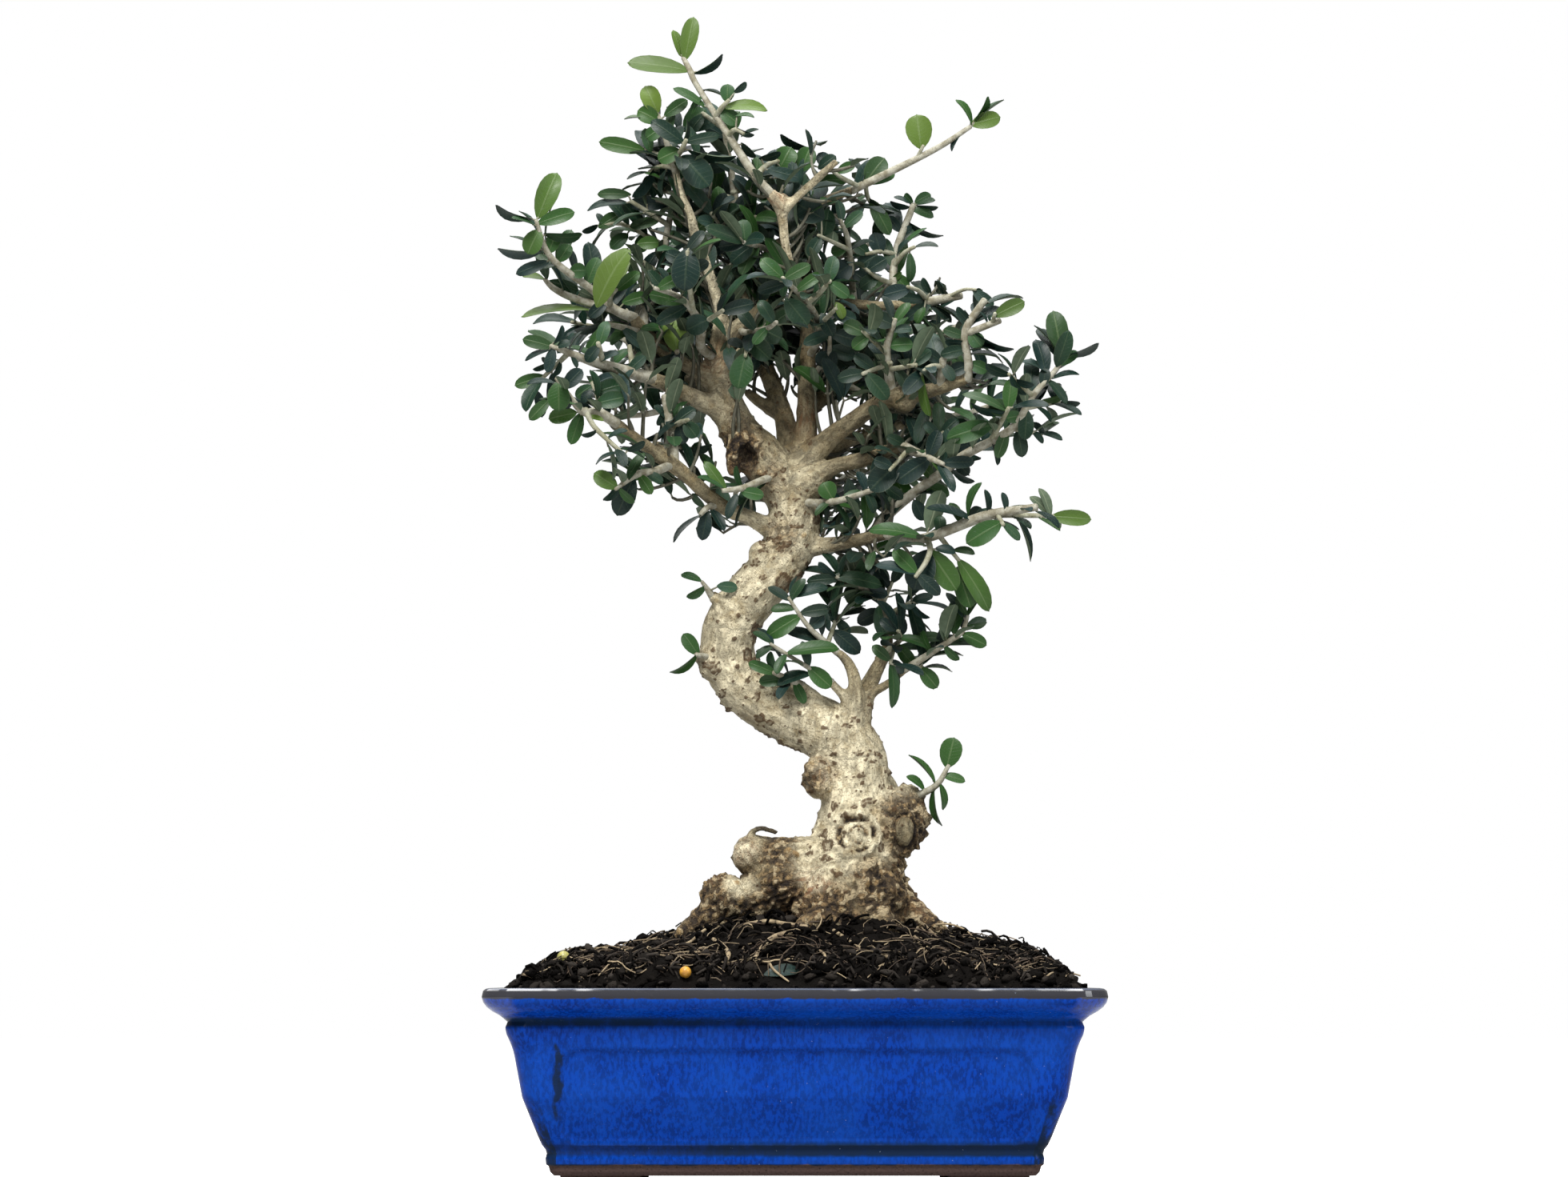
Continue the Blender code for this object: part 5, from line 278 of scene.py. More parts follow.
# Leafy stems, each a list of twigs as (x, y, z, radius), the first one starting on the wood.
TWIGS = {
    "apex": [
        [(-8, -25.5, 323.5, 1.8), (-14.5, -26, 331.5, 1.5), (-32, -20.5, 359, 1), (-35, -19, 365, 1.1),
         (-37.5, -17.5, 370, 0.8)],
        [(-26.5, -22.5, 350, 1), (-24.5, -25.5, 353, 0.9), (-22, -27, 355.5, 0.7)],
        [(-22.5, -23.5, 343, 1), (-20, -28, 345.5, 0.8), (-17, -30.5, 344, 0.6)],
        [(-13, -26, 329.5, 1.1), (-9, -19, 333.5, 0.9), (-3, -13.5, 335, 0.8), (4, -11, 334, 0.7)],
        [(-24, -23, 346, 1), (-31, -9, 351, 0.7)],
    ],
    "upper_left": [
        [(-40, -16, 331, 1.3), (-46, -16, 350.5, 0.7)],
        [(-41, -16, 334.5, 1), (-38, -22, 338.5, 0.9), (-36.5, -24.5, 342, 0.7)],
        [(-41.5, -16, 335, 1), (-46, -12, 337, 0.8), (-51, -10, 338.5, 0.7)],
        [(-40.5, -16, 332.5, 0.9), (-45, -11, 333, 0.8), (-49, -8, 331, 0.6)],
        [(-42.5, -16, 338.5, 0.9), (-37, -4, 346.5, 0.6)],
    ],
    "left_rise": [
        [(-51, -8, 277, 1.8), (-50, -5, 285, 1.6), (-45, 2, 299, 1.4), (-42, 3, 315, 1.1), (-40.5, 2, 320, 0.9)],
        [(-44, 2.5, 306, 1), (-57, 9.5, 313, 0.8), (-64, 11.5, 313, 0.7)],
        [(-42.5, 2.5, 313, 1), (-55, -1.5, 321, 0.7)],
        [(-46, 1, 297, 1), (-52, -3, 301, 0.9), (-55, -6, 305, 0.7)],
    ],
    "left_top": [
        [(-54, -9, 281.5, 1.9), (-60, -10, 284, 1.6), (-68, -12, 291, 1.4), (-82, -20.5, 302, 1.1),
         (-87, -26, 314.5, 0.7)],
        [(-60, -10, 284, 1.5), (-74, -8, 288, 1.3), (-81, -7, 291.5, 1.1), (-84, -6, 294.5, 0.7)],
        [(-62, -9.5, 285.5, 1.1), (-62, -18, 288.5, 0.9), (-60, -23.5, 291, 0.7)],
    ],
    "left_high": [[(-50, -8, 276, 1.4), (-59, -16, 278.5, 1), (-64, -19, 279.5, 0.7)]],
    "left_low": [
        [(-48, -17.5, 261, 2.3), (-66, -29, 266, 1.7), (-78, -36, 270.5, 1), (-82, -37, 272, 0.7)],
        [(-64, -27.5, 265, 1.2), (-66, -34.5, 273, 0.8)],
        [(-54, -21.5, 262.5, 1.2), (-55.5, -18.5, 272, 0.8)],
        [(-76, -34.5, 269.5, 1), (-80, -31.5, 265.5, 0.8), (-89, -29, 257, 0.6)],
    ],
    "left_bottom": [
        [(-60, -34.5, 246, 1.9), (-66, -38.5, 249.5, 1.7), (-71.5, -43, 250, 1.3), (-80, -48.5, 261, 0.7)],
        [(-70, -41.5, 250, 1.1), (-67.5, -45.5, 245, 0.9), (-63, -48.5, 240.5, 0.8), (-57, -50, 235, 0.7)],
        [(-66, -39, 249.5, 1), (-66, -33.5, 254.5, 0.9), (-68, -30.5, 259.5, 0.7)],
    ],
    "left_under": [[(-41, -21, 232, 1.6), (-47, -32, 229.5, 1.4), (-53, -37.5, 228.5, 1.2), (-60, -45, 223.5, 0.6)]],
    "left_riser": [
        [(-40.5, -21, 231.5, 1.9), (-41, -16, 240, 1.8), (-43.5, -15, 255, 1.3)],
        [(-41.5, -15.5, 243.5, 1), (-38.5, -22, 246, 0.9), (-35.5, -26, 247, 0.6)],
        [(-41, -17, 239.5, 1), (-37, -11.5, 237.5, 0.9), (-31, -8.5, 236.5, 0.6)],
    ],
    "left_inner": [[(-5, -2, 228.5, 1.5), (-11, -12, 226.5, 1.3), (-17, -16, 224, 1.2), (-24, -19, 223, 0.8)]],
    "left_drop": [[(-25, -9.5, 218.5, 1.3), (-29, -13.5, 217.5, 1.1), (-31.5, -16, 215, 0.8)]],
    "left_front": [
        [(-27, -5, 268, 1.8), (-31.5, -12, 272, 1.7), (-31.5, -20.5, 279, 1.5), (-38, -31.5, 288, 1),
         (-47, -40, 291.5, 0.7)],
        [(-34, -26, 283.5, 1), (-35, -37, 290, 0.9), (-36, -44, 297, 0.8), (-36, -48.5, 304, 0.7)],
        [(-31.5, -20.5, 279, 1), (-24, -33, 284, 0.7)],
    ],
    "left_bright": [[(-39, -5, 267.5, 1.3), (-39.5, -14, 270, 0.9)]],
    "center_left": [
        [(-19, -4, 277.5, 1.3), (-16, -10, 276.5, 1.1), (-9, -27.5, 278, 0.9), (-6, -34.5, 280, 0.7)],
        [(-15, -13.5, 276.5, 0.9), (-16.5, -24.5, 268.5, 0.6)],
    ],
    "center_front": [
        [(4.5, 5, 268, 1.4), (8, -3, 274, 1.3), (7.5, -12, 281, 1.2), (4, -23, 287, 1), (-4, -44, 295, 0.7)],
        [(8, -9, 278.5, 1), (14, -21.5, 284.5, 0.7)],
        [(4.5, -22.5, 286.5, 1), (9, -29, 290.5, 0.9), (12, -36, 294, 0.7)],
    ],
    "mast_side": [[(4.5, 4.5, 260, 1.6), (8.5, -1, 264, 1.4), (11.5, -4, 267.5, 1), (12, -8, 277.5, 0.6)]],
    "upper_mid": [
        [(-20, 8, 318, 1.4), (-20.5, 8, 326, 1.3), (-23.5, 4, 344, 0.9)],
        [(-20, 8, 322, 1), (-27, 11, 323, 0.8), (-33, 13, 321, 0.7)],
        [(-20.5, 7.5, 324, 1), (-7, 14.5, 329, 0.7)],
    ],
    "upper_dark": [
        [(-18.5, 7, 302, 1.2), (-28, -11, 317, 0.7)],
        [(-22, 0, 307, 0.9), (-17, -6, 311, 0.8), (-13, -10, 316, 0.6)],
    ],
    "diagonal_front": [[(-8, 4, 303, 1.3), (-10, -5, 305, 1.1), (-17, -26, 307, 0.7)]],
    "right_top": [
        [(20, -2, 325, 1.5), (47, -8, 338.5, 1.1), (59.5, -10, 346.5, 0.8)],
        [(41.5, -7, 336, 0.7), (43.5, -9, 340, 0.6)],
        [(22, -2.5, 326, 0.9), (16, -8, 329, 0.8), (12, -11, 332, 0.6)],
        [(24, -3, 327.5, 0.8), (24.5, 3, 323, 0.8), (26, 8, 320, 0.6)],
    ],
    "right_inner_twig": [
        [(20, 4, 286, 1.3), (19.5, 3, 293, 1.1), (18, -9, 308, 0.9), (15.5, -15, 314.5, 0.7)],
        [(18.5, -6, 304.5, 0.9), (8, -19, 309.5, 0.6)],
    ],
    "right_star": [
        [(33, 0, 285.5, 1.4), (34, 8, 303, 1.3), (40, 11, 319.5, 1.1)],
        [(34, 7.5, 303, 0.9), (29, 5.5, 304, 0.8), (24, 3.5, 303, 0.6)],
        [(33.5, 6, 299, 0.9), (37, 3, 303.5, 0.8), (40.5, 1, 305.5, 0.6)],
        [(33, 3.5, 293, 0.9), (28, -1.5, 295, 0.8), (24, -4.5, 298, 0.6)],
    ],
    "right_high_tip": [
        [(43, -3, 286.5, 1.8), (56, -7, 289, 1.4)],
        [(45, -3.5, 287, 1), (42, -9, 290.5, 0.8), (38, -14, 292, 0.6)],
        [(52, -6, 288.5, 0.8), (57, -11, 291, 0.6), (61, -15, 291, 0.5)],
    ],
    "right_fork": [
        [(58, -22, 261, 1.8), (58.5, -24, 266, 1.5), (57.5, -26, 277, 1.4), (64, -28, 287.5, 1.2)],
        [(57.5, -25.5, 276, 1.3), (69, -30.5, 280.5, 1.1)],
        [(66.5, -29.5, 279.5, 0.7), (67.5, -33.5, 283, 0.6)],
    ],
    "right_mid_up": [
        [(33, -15, 254.5, 1.8), (31, -17.5, 270, 1.4), (34, -23, 281, 0.7)],
        [(32, -16.5, 264, 1), (41, -28.5, 265.5, 0.7)],
        [(32, -17, 266, 1), (23, -29, 262.5, 0.7)],
        [(31, -17.5, 269.5, 1), (23, -29, 277, 0.7)],
    ],
    "right_light": [
        [(49, -20.5, 257.5, 1.5), (50, -24.5, 267.5, 1.3)],
        [(49.5, -23.5, 265, 0.9), (45.5, -28.5, 265, 0.8), (42.5, -31.5, 262.5, 0.6)],
    ],
    "right_end": [
        [(26, -11, 207.5, 1.9), (31, -10, 214.5, 1.8), (39, -15, 221.5, 1.7), (50, -24.5, 229.5, 1.7),
         (57, -29, 235, 1.6), (73, -36, 244, 1.4), (80, -37, 255, 1.1), (88, -36, 264, 0.9), (90, -34.5, 268.5, 0.7)],
        [(66, -33, 240, 1.1), (72, -45.5, 251, 0.7)],
        [(78, -37, 251, 0.9), (89, -30, 253, 0.6)],
        [(57, -29, 235, 1), (64, -15, 240, 0.6)],
        [(80, -37, 255, 0.9), (72, -47, 262.5, 0.6)],
        [(73, -35.5, 244, 0.9), (83, -29.5, 242, 0.6)],
    ],
    "right_mid_low": [
        [(36, -17.5, 238, 2), (50, -33, 232, 0.7)],
        [(38.5, -20, 237, 1), (32, -34, 230, 0.6)],
        [(43, -25.5, 235, 0.8), (50, -24.5, 243, 0.6)],
    ],
    "right_mid_back": [
        [(42, 15, 246.5, 1.5), (58, 20, 249, 1), (66, 21, 252, 0.7)],
        [(46, 16.5, 247, 0.9), (49, 7, 257, 0.6)],
    ],
    "right_small": [[(-1, -1, 219, 1.6), (14, -15, 219.5, 1.2), (31, -22, 225, 0.8)]],
    "right_low": [
        [(31, -15, 208.5, 2), (39, -20.5, 206.5, 1.9), (47, -26, 208, 1.7), (64, -36, 214.5, 1.8),
         (81, -44, 217.5, 1.3)],
        [(66, -37, 215, 1.1), (87, -34.5, 214.5, 0.7)],
        [(44, -24, 207.5, 1.1), (45.5, -30, 203.5, 1), (44, -33, 199, 0.9), (40.5, -34.5, 194, 0.7)],
        [(48, -26.5, 208.5, 1), (55.5, -23, 199, 0.7)],
        [(68, -38, 215, 0.9), (70, -44, 211.5, 0.7)],
    ],
    "shoot_a_top": [
        [(31, 3, 178, 1.6), (30, 1, 184, 1.3), (27, -2, 188, 1), (14, -8, 194, 0.7)],
        [(30.5, 2, 181, 1), (39, -7, 185.5, 0.7)],
        [(29.5, 0, 185, 0.9), (33, 10.5, 193, 0.6)],
    ],
    "shoot_a_side": [
        [(30, 4, 168.5, 1.2), (35.5, -7, 173, 0.8), (34.5, -11, 176, 0.6)],
        [(33.5, -2.5, 171, 0.8), (32, -13, 165, 0.6)],
    ],
    "shoot_b_top": [
        [(14, -7, 169, 1.3), (5, -11, 177, 0.9), (-2, -13.5, 187, 0.6)],
        [(11, -8, 171.5, 0.9), (14.5, -1.5, 181, 0.7)],
    ],
    "shoot_c_top": [[(12, -7, 159, 1.3), (4, -11, 164, 0.8), (-8, -15, 171.5, 0.6)]],
    "shoot_d_top": [[(2, -7, 158, 1.4), (-7, -13.5, 162, 0.8)]],
    "shoot_e_top": [
        [(37, -8, 163, 1.3), (51, -13.5, 172, 1), (56, -15, 175.5, 0.9), (58, -16, 181, 0.6)],
        [(39, -8.5, 164, 0.9), (43, -5, 163.5, 0.7)],
    ],
    "bend_snag_twig": [[(-27.5, -6, 187.5, 1.4), (-31, -9, 192.5, 0.6)]],
    "bend_left_twig": [[(-22, -1, 166, 1.4), (-33, -9, 168, 0.8)]],
    "sprout": [[(36.5, -2.5, 119, 1.5), (47, -8, 124, 1.1), (51.5, -9, 131, 0.7)]],
    "back_left_end": [
        [(-50, 38, 271, 1.6), (-58, 44, 275, 1.3), (-73, 51, 286, 0.7)],
        [(-58, 44, 275, 1), (-55, 57, 289, 0.7)],
        [(-62, 46, 277.5, 0.9), (-75, 33, 280, 0.6)],
    ],
    "back_left_mid": [
        [(-37, 21, 261, 1.5), (-35, 30, 276, 1.1), (-33, 33, 285, 0.7)],
        [(-35.5, 27.5, 271, 0.9), (-23, 36.5, 278, 0.6)],
    ],
    "back_left_low": [
        [(-32, 15, 257.5, 1.5), (-40, 19, 252, 1.3), (-49, 24, 249, 1.1), (-58, 28, 248, 0.7)],
        [(-45, 22, 250, 0.9), (-46, 31, 253, 0.8), (-48, 39, 257, 0.6)],
    ],
    "back_mast_top": [
        [(-17, 34, 289, 1.7), (-22, 47, 307, 1.1), (-25, 50, 315, 0.7)],
        [(-19, 38.5, 295, 1), (-4, 49.5, 303, 0.7)],
        [(-21, 43.5, 302, 1), (-30, 43.5, 305, 0.8), (-38, 41.5, 308, 0.6)],
    ],
    "back_mast_mid": [
        [(-13, 24, 275, 1.5), (-10, 33, 280, 1.3), (0, 50, 289, 0.7)],
        [(-8, 36.5, 281.5, 0.9), (-13, 45, 282, 0.8), (-18, 53, 284, 0.6)],
    ],
    "back_right_end": [
        [(37, 43, 270, 1.6), (45, 46, 274, 1.3), (54, 47, 278, 1.1), (62, 47, 283, 0.7)],
        [(43, 45, 273, 1), (42, 52, 279, 0.9), (41, 58, 286, 0.7)],
        [(50, 46.5, 276, 0.9), (65, 34, 272, 0.6)],
    ],
    "back_right_mid": [
        [(21, 26, 261.5, 1.5), (20, 32.5, 273, 1.1), (18, 35, 280, 0.7)],
        [(21, 28.5, 266, 0.9), (7, 39.5, 270, 0.6)],
    ],
    "back_right_low": [
        [(17, 21, 259, 1.5), (26, 24, 254, 1.3), (36, 29, 251, 1.1), (46, 34, 250, 0.7)],
        [(30, 26, 252.5, 0.9), (31, 36, 254, 0.8), (32, 45, 257, 0.6)],
    ],
    "back_low_end": [
        [(14, 41, 225, 1.5), (25, 54, 233, 1.1), (32, 58, 238, 0.7)],
        [(17, 45, 227.5, 0.9), (1, 55.5, 233, 0.6)],
        [(21, 50, 230.5, 0.9), (29, 47, 228, 0.8), (37, 45, 227, 0.6)],
    ],
    "top_back": [
        [(3, 31, 307, 1.4), (4, 37, 313, 1.2), (8, 43, 327, 0.7)],
        [(3.5, 34, 310, 0.9), (11, 38, 311, 0.8), (19, 40, 313, 0.6)],
        [(4, 35.5, 312, 0.9), (-4, 34.5, 316, 0.8), (-11, 32.5, 321, 0.6)],
    ],
    "top_back_mid": [
        [(4, 18, 298.5, 1.3), (20, 24, 304, 0.9), (28, 26, 308, 0.7)],
        [(14, 22, 301.5, 0.8), (18, 28, 296, 0.7), (23, 33, 292, 0.6)],
    ],
}

# Leaves that the front view shows edge-on: x and z of the base, x and z of the tip, width as seen, then the
# tone where it is not that of an old leaf, and how far ahead of its stem the leaf stands.
EDGE_ON_LEAVES = {
    "apex": [
        (-34, 364.5, -24, 371, 1.6), (-31, 359, -24, 357, 1.2), (-20.5, 358, -16, 361.5, 2.2),
        (-20, 350, -13.5, 350, 1.8, 0.3), (-20, 346, -13.5, 343.5, 1.6), (-18, 343, -12, 345.5, 1.6),
        (-18, 341, -13, 336, 2.4), (5, 339, -5, 343.5, 2), (-12, 335.5, -4.5, 337.5, 2.2), (-12, 330, -20, 335.5, 2),
        (-31, 357, -35, 350.5, 2.4, 0.3),
    ],
    "upper_left": [
        (-51, 349.5, -57.5, 349, 1.4, -1), (-51, 339, -38, 339.5, 2.6), (-36, 338.5, -19.5, 336, 1.6),
        (-49, 331, -56.5, 328.5, 1.6), (-43, 332, -45, 323, 2), (-47, 332.5, -55, 322.5, 2.6),
        (-50, 337, -44, 334, 1.8),
    ],
    "left_rise": [
        (-42, 318, -53, 312.5, 1.6, 0.2), (-66, 313, -71.5, 310.5, 2), (-64, 312, -66.5, 317, 2.4),
        (-44, 307, -40.5, 311, 2, 0.3),
    ],
    "left_top": [
        (-66.5, 285, -56, 305, 9.6, 0.9, 17), (-88, 315, -101, 319, 1.8), (-84.5, 310, -71.5, 309, 2.6, 0.2),
        (-85, 304, -100, 305, 1.8), (-84, 294.5, -91.5, 296, 2.6, 0.8), (-78, 299, -85, 298, 2, 0.2),
    ],
    "left_high": [(-64, 280, -74, 277, 2.2)],
    "left_low": [
        (-81, 272.5, -78, 279, 1.6), (-80, 271.5, -75, 273, 2.8), (-76, 270, -71.5, 277, 1.2),
        (-72.5, 268.5, -69, 274.5, 1.2), (-82, 266.5, -88, 264, 1.6), (-78.5, 267, -81, 261.5, 1.8),
        (-77, 271, -74, 276.5, 1.6), (-75, 268.5, -73, 264.5, 1.8), (-66, 266.5, -59, 270, 2.8),
        (-80, 265.5, -85, 268, 1.8),
    ],
    "left_bottom": [
        (-62, 247.5, -51, 253, 2.6, -1), (-58, 236, -67, 232.5, 1.6), (-56.5, 236.5, -50, 239.5, 2.4),
        (-66, 243.5, -71.5, 241.5, 1.4), (-70, 248, -64, 246.5, 2, 0.9), (-63, 240.5, -56, 243.5, 2),
    ],
    "left_under": [(-59, 224, -53.5, 219, 2.6, 0.3), (-58, 225.5, -64, 219.5, 2.4)],
    "left_riser": [
        (-42.5, 244, -50, 240, 2), (-43, 250.5, -46, 245, 2.8), (-38, 237, -27.5, 238, 2.4, 0.1),
        (-42.5, 247, -47, 252, 2.6), (-31, 235.5, -27, 231.5, 2.6, 0.3),
    ],
    "left_inner": [(-24, 224, -32.5, 228, 2.6, 0.3), (-17.5, 224, -19.5, 231.5, 2.2, 0.2)],
    "left_drop": [(-31, 215, -41, 206, 2.2), (-30, 217.5, -34.5, 222, 2.4, 0.2)],
    "left_bright": [(-39.5, 269.5, -48, 266.5, 2.4)],
    "right_top": [
        (60, 347, 55, 356, 2.6, 0.5), (60.5, 348, 66, 356.5, 2, 0.3), (61, 348, 71, 355.5, 2, 0.2),
        (24.5, 322.5, 33.5, 316.5, 1.6), (26, 320, 17.5, 316.5, 2.2), (56, 344, 53, 338, 1.8),
    ],
    "right_inner_twig": [(19, 304.5, 26.5, 308, 2.2), (16, 313.5, 8, 315, 2)],
    "right_star": [
        (39, 319, 32, 320.5, 1.8), (39.5, 320, 33.5, 322.5, 1.8), (40, 320.5, 37, 323.5, 2.8, 0.2),
        (41, 320, 47.5, 321.5, 2.6, 0.2), (41, 319.5, 48.5, 319, 1.4), (38, 314, 50, 308.5, 1.2),
        (40.5, 305.5, 48.5, 306, 2.2), (36, 310, 39.5, 312.5, 2.4), (32.5, 294, 36, 297, 2, 0.6),
        (34, 302, 38.5, 308, 1.8),
    ],
    "right_high_tip": [
        (50, 289, 48, 294.5, 1.4), (52, 289, 48, 294, 1.4), (46, 289.5, 43, 295, 2.6), (47, 286, 57, 279, 1.8),
        (55, 288.5, 49, 285, 2.6),
    ],
    "right_fork": [
        (60, 276.5, 73.5, 270, 1.4), (58.5, 270.5, 67.5, 271, 1.4), (58.5, 269, 69, 268, 1.8),
        (58, 273, 50.5, 273.5, 2.6, 0.1), (59, 280, 54.5, 285, 2.8), (59.5, 281, 57, 284, 1.2),
        (65, 279.5, 62.5, 283.5, 1.2), (66, 280, 65.5, 282.5, 1),
    ],
    "right_light": [(43, 262.5, 46, 248, 2.8, 0.7)],
    "right_end": [
        (89.5, 268.5, 80.5, 279, 2, 0.1), (90, 268.5, 102.5, 272.5, 1.6), (86, 262.5, 76, 267, 2.6),
        (83, 253.5, 91.5, 256, 2, 0.6), (89, 253, 96, 252.5, 2), (86, 252.5, 96.5, 248.5, 2.4),
        (81, 251.5, 86.5, 246.5, 2), (82, 242.5, 90, 240, 2.4), (80, 243, 83.5, 239, 2.4), (66, 240, 68, 231.5, 2),
        (73, 262, 64, 265.5, 2.6, 0.1), (74, 260.5, 80.5, 258.5, 2.2, 0.1), (72.5, 262.5, 77.5, 255, 2),
        (71, 249.5, 59, 252, 2), (52, 231, 60, 225.5, 1.6), (84, 242, 79.5, 246, 2.6),
    ],
    "right_mid_low": [(46, 233.5, 50, 229, 2.8, 0.6)],
    "right_small": [(12, 219.5, 7, 214.5, 2.6, 0.3), (13, 219.5, 18.5, 209, 2.2, 0.2), (30.5, 225, 36.5, 230, 2.4)],
    "right_low": [
        (65, 215, 64, 223.5, 2.4), (67, 215.5, 76, 217.5, 2.6), (71, 216, 69.5, 222.5, 2.4), (74.5, 214, 79, 199, 2),
        (53, 203, 60.5, 202, 2.8, 0.3),
    ],
    "shoot_a_top": [(39, 185.5, 45, 180, 2), (14, 194, 8, 199, 2.6), (15, 194, 19.5, 203, 2.4)],
    "shoot_c_top": [(-8, 172, -14, 175.5, 2.6, 0.2), (-7, 171, -13, 167, 2.8, 0.2)],
    "shoot_d_top": [(-6, 162, -8.5, 169, 2.8, 0.2)],
    "shoot_e_top": [
        (57.5, 177.5, 64.5, 178.5, 2, 0.4), (46, 168.5, 42.5, 176, 2.6, 0.3), (58, 181, 54.5, 188, 2.6, 0.5),
        (58, 181, 62.5, 187, 2, 0.5), (50, 171, 55, 166, 2.8, 0.4), (51, 172, 48.5, 178.5, 2, 0.4),
    ],
    "bend_snag_twig": [(-31, 192.5, -38, 195, 2.8, 0.3), (-29.5, 191, -36, 187, 2.6, 0.3)],
    "bend_left_twig": [(-32.5, 168, -41.5, 161.5, 2.2, 0.3)],
    "sprout": [
        (47, 125, 38, 134.5, 2, 0.5), (43.5, 122.5, 37.5, 127.5, 2.6, 0.4), (48.5, 125, 50, 116, 2.6, 0.4),
        (46.5, 123.5, 48.5, 110.5, 1.8, 0.4),
    ],
}

# Tips, in the front view, of the leaves that aren't dark, with their tone: 1 is young, -1 a pale underside.
TONES = [
    (-34, 384, 0.8), (-41, 379.5, 0.8), (-56.5, 368, 0.8), (-41, 359.5, 0.3), (-9, 352.7, 0.85), (-22.5, 361, 0.35),
    (-1, 339.5, 0.4), (5.5, 339.5, 0.4), (-50.5, 360.5, 0.95), (-53, 352, 0.55), (-36, 355.5, 0.3),
    (-66, 341.2, 0.55), (-46, 335, 0.5), (-50, 342.5, 0.35), (-50.5, 346, 0.3), (-33.5, 325, 0.25), (-41, 352, 0.25),
    (-66.5, 323.5, 0.35), (-55.5, 312.3, 0.45), (-45.5, 307, 0.6), (-62, 305, 0.3), (-37, 306, 0.25), (-80, 331, 0.7),
    (-74, 317.5, 0.4), (-89.8, 303, 0.62), (-75.5, 306.5, 0.45), (-56, 305.5, 0.95), (-49, 289, 0.5), (-52, 297, 0.5),
    (-92, 281.8, 0.8), (-67, 288, -1), (-66, 302, 0.35), (-70, 297.5, 0.3), (-75, 311.5, 0.3), (-91.5, 274.3, 0.42),
    (-79.5, 267.5, 0.35), (-94, 258.4, 0.5), (-60.5, 266.3, 0.3), (-89, 246.9, 0.5), (-82.6, 247.3, 0.6),
    (-57, 254.5, 0.25), (-67.3, 229, 0.7), (-47.8, 221.8, 0.55), (-30.4, 233, 0.65), (-10.2, 221.3, 0.45),
    (-49, 289.3, 0.35), (-41, 281.8, 1), (-19, 257.4, 0.25), (13.3, 290.8, 0.6), (16.3, 281, 0.85),
    (-25.3, 334.5, 0.38), (-29.5, 312, 0.4), (-33.5, 311, 0.5), (41.2, 350.6, 0.85), (69.6, 349.8, 0.8),
    (30.5, 335.8, 0.4), (34, 330.3, 0.35), (32.2, 309.5, 0.35), (7.5, 328.2, 0.4), (20.5, 333.8, 0.3),
    (46, 323.4, 0.25), (38.3, 291, 0.35), (77.5, 287, 0.75), (39, 286.5, 0.3), (87, 284, 0.5), (95.3, 270, 0.3),
    (68, 233.8, 0.4), (73, 261, 0.35), (43, 231.5, 0.6), (9.5, 225.8, 0.45), (24.3, 222, 0.3), (57.5, 205.3, 0.4),
    (99.6, 213.4, 0.75), (79, 221.2, -1), (82.3, 224, -1), (65.5, 182.6, 0.62), (54.3, 189.5, 0.6), (59, 183.5, 0.5),
    (17.5, 185.5, 0.35), (45.6, 170.6, 0.4), (33, 150, 0.25), (-9.3, 174, 0.4), (-8, 183, 0.3), (12.3, 157, 0.4),
    (-6, 161.3, 0.25), (-15.5, 165.3, 0.3), (-12, 158.8, 0.25), (3.5, 151.5, 0.3), (64.3, 171, 0.5),
    (47.8, 156.8, 0.5), (-19, 190.3, 0.25), (-37.3, 175, 0.3), (53.3, 140.3, 0.5), (57, 125.5, 0.5),
]

# Parts of the front view that stay open sky between the leaves, as (x, z, half width, half height).
OPEN_SKY = [
    (-6, 253, 6, 9), (-13, 262, 2, 3), (22, 250.5, 4, 3), (55, 285, 5, 3), (66, 275, 8, 5), (-60, 271, 6, 3),
    (-50, 247, 5, 6), (-62, 243, 3, 3), (53, 250, 2, 1), (64, 253, 4, 3), (-24, 233, 5, 5), (0, 180, 8, 9),
    (20, 229, 6, 3), (31, 300, 2, 2), (44, 300, 8, 6), (12, 303, 4, 3), (24, 313, 4, 5), (30, 325, 6, 4),
    (50, 325, 14, 12), (-75, 262, 3, 2), (-90, 290, 8, 6), (-60, 331, 6, 3), (-10, 348, 8, 8), (36, 195, 4, 6),
    (75, 230, 10, 6), (60, 200, 12, 8), (-80, 235, 14, 10), (-45, 215, 10, 10), (0, 255, 3, 6), (10, 240, 3, 2),
    (-8, 234, 5, 7), (-18, 235, 5, 6),
]

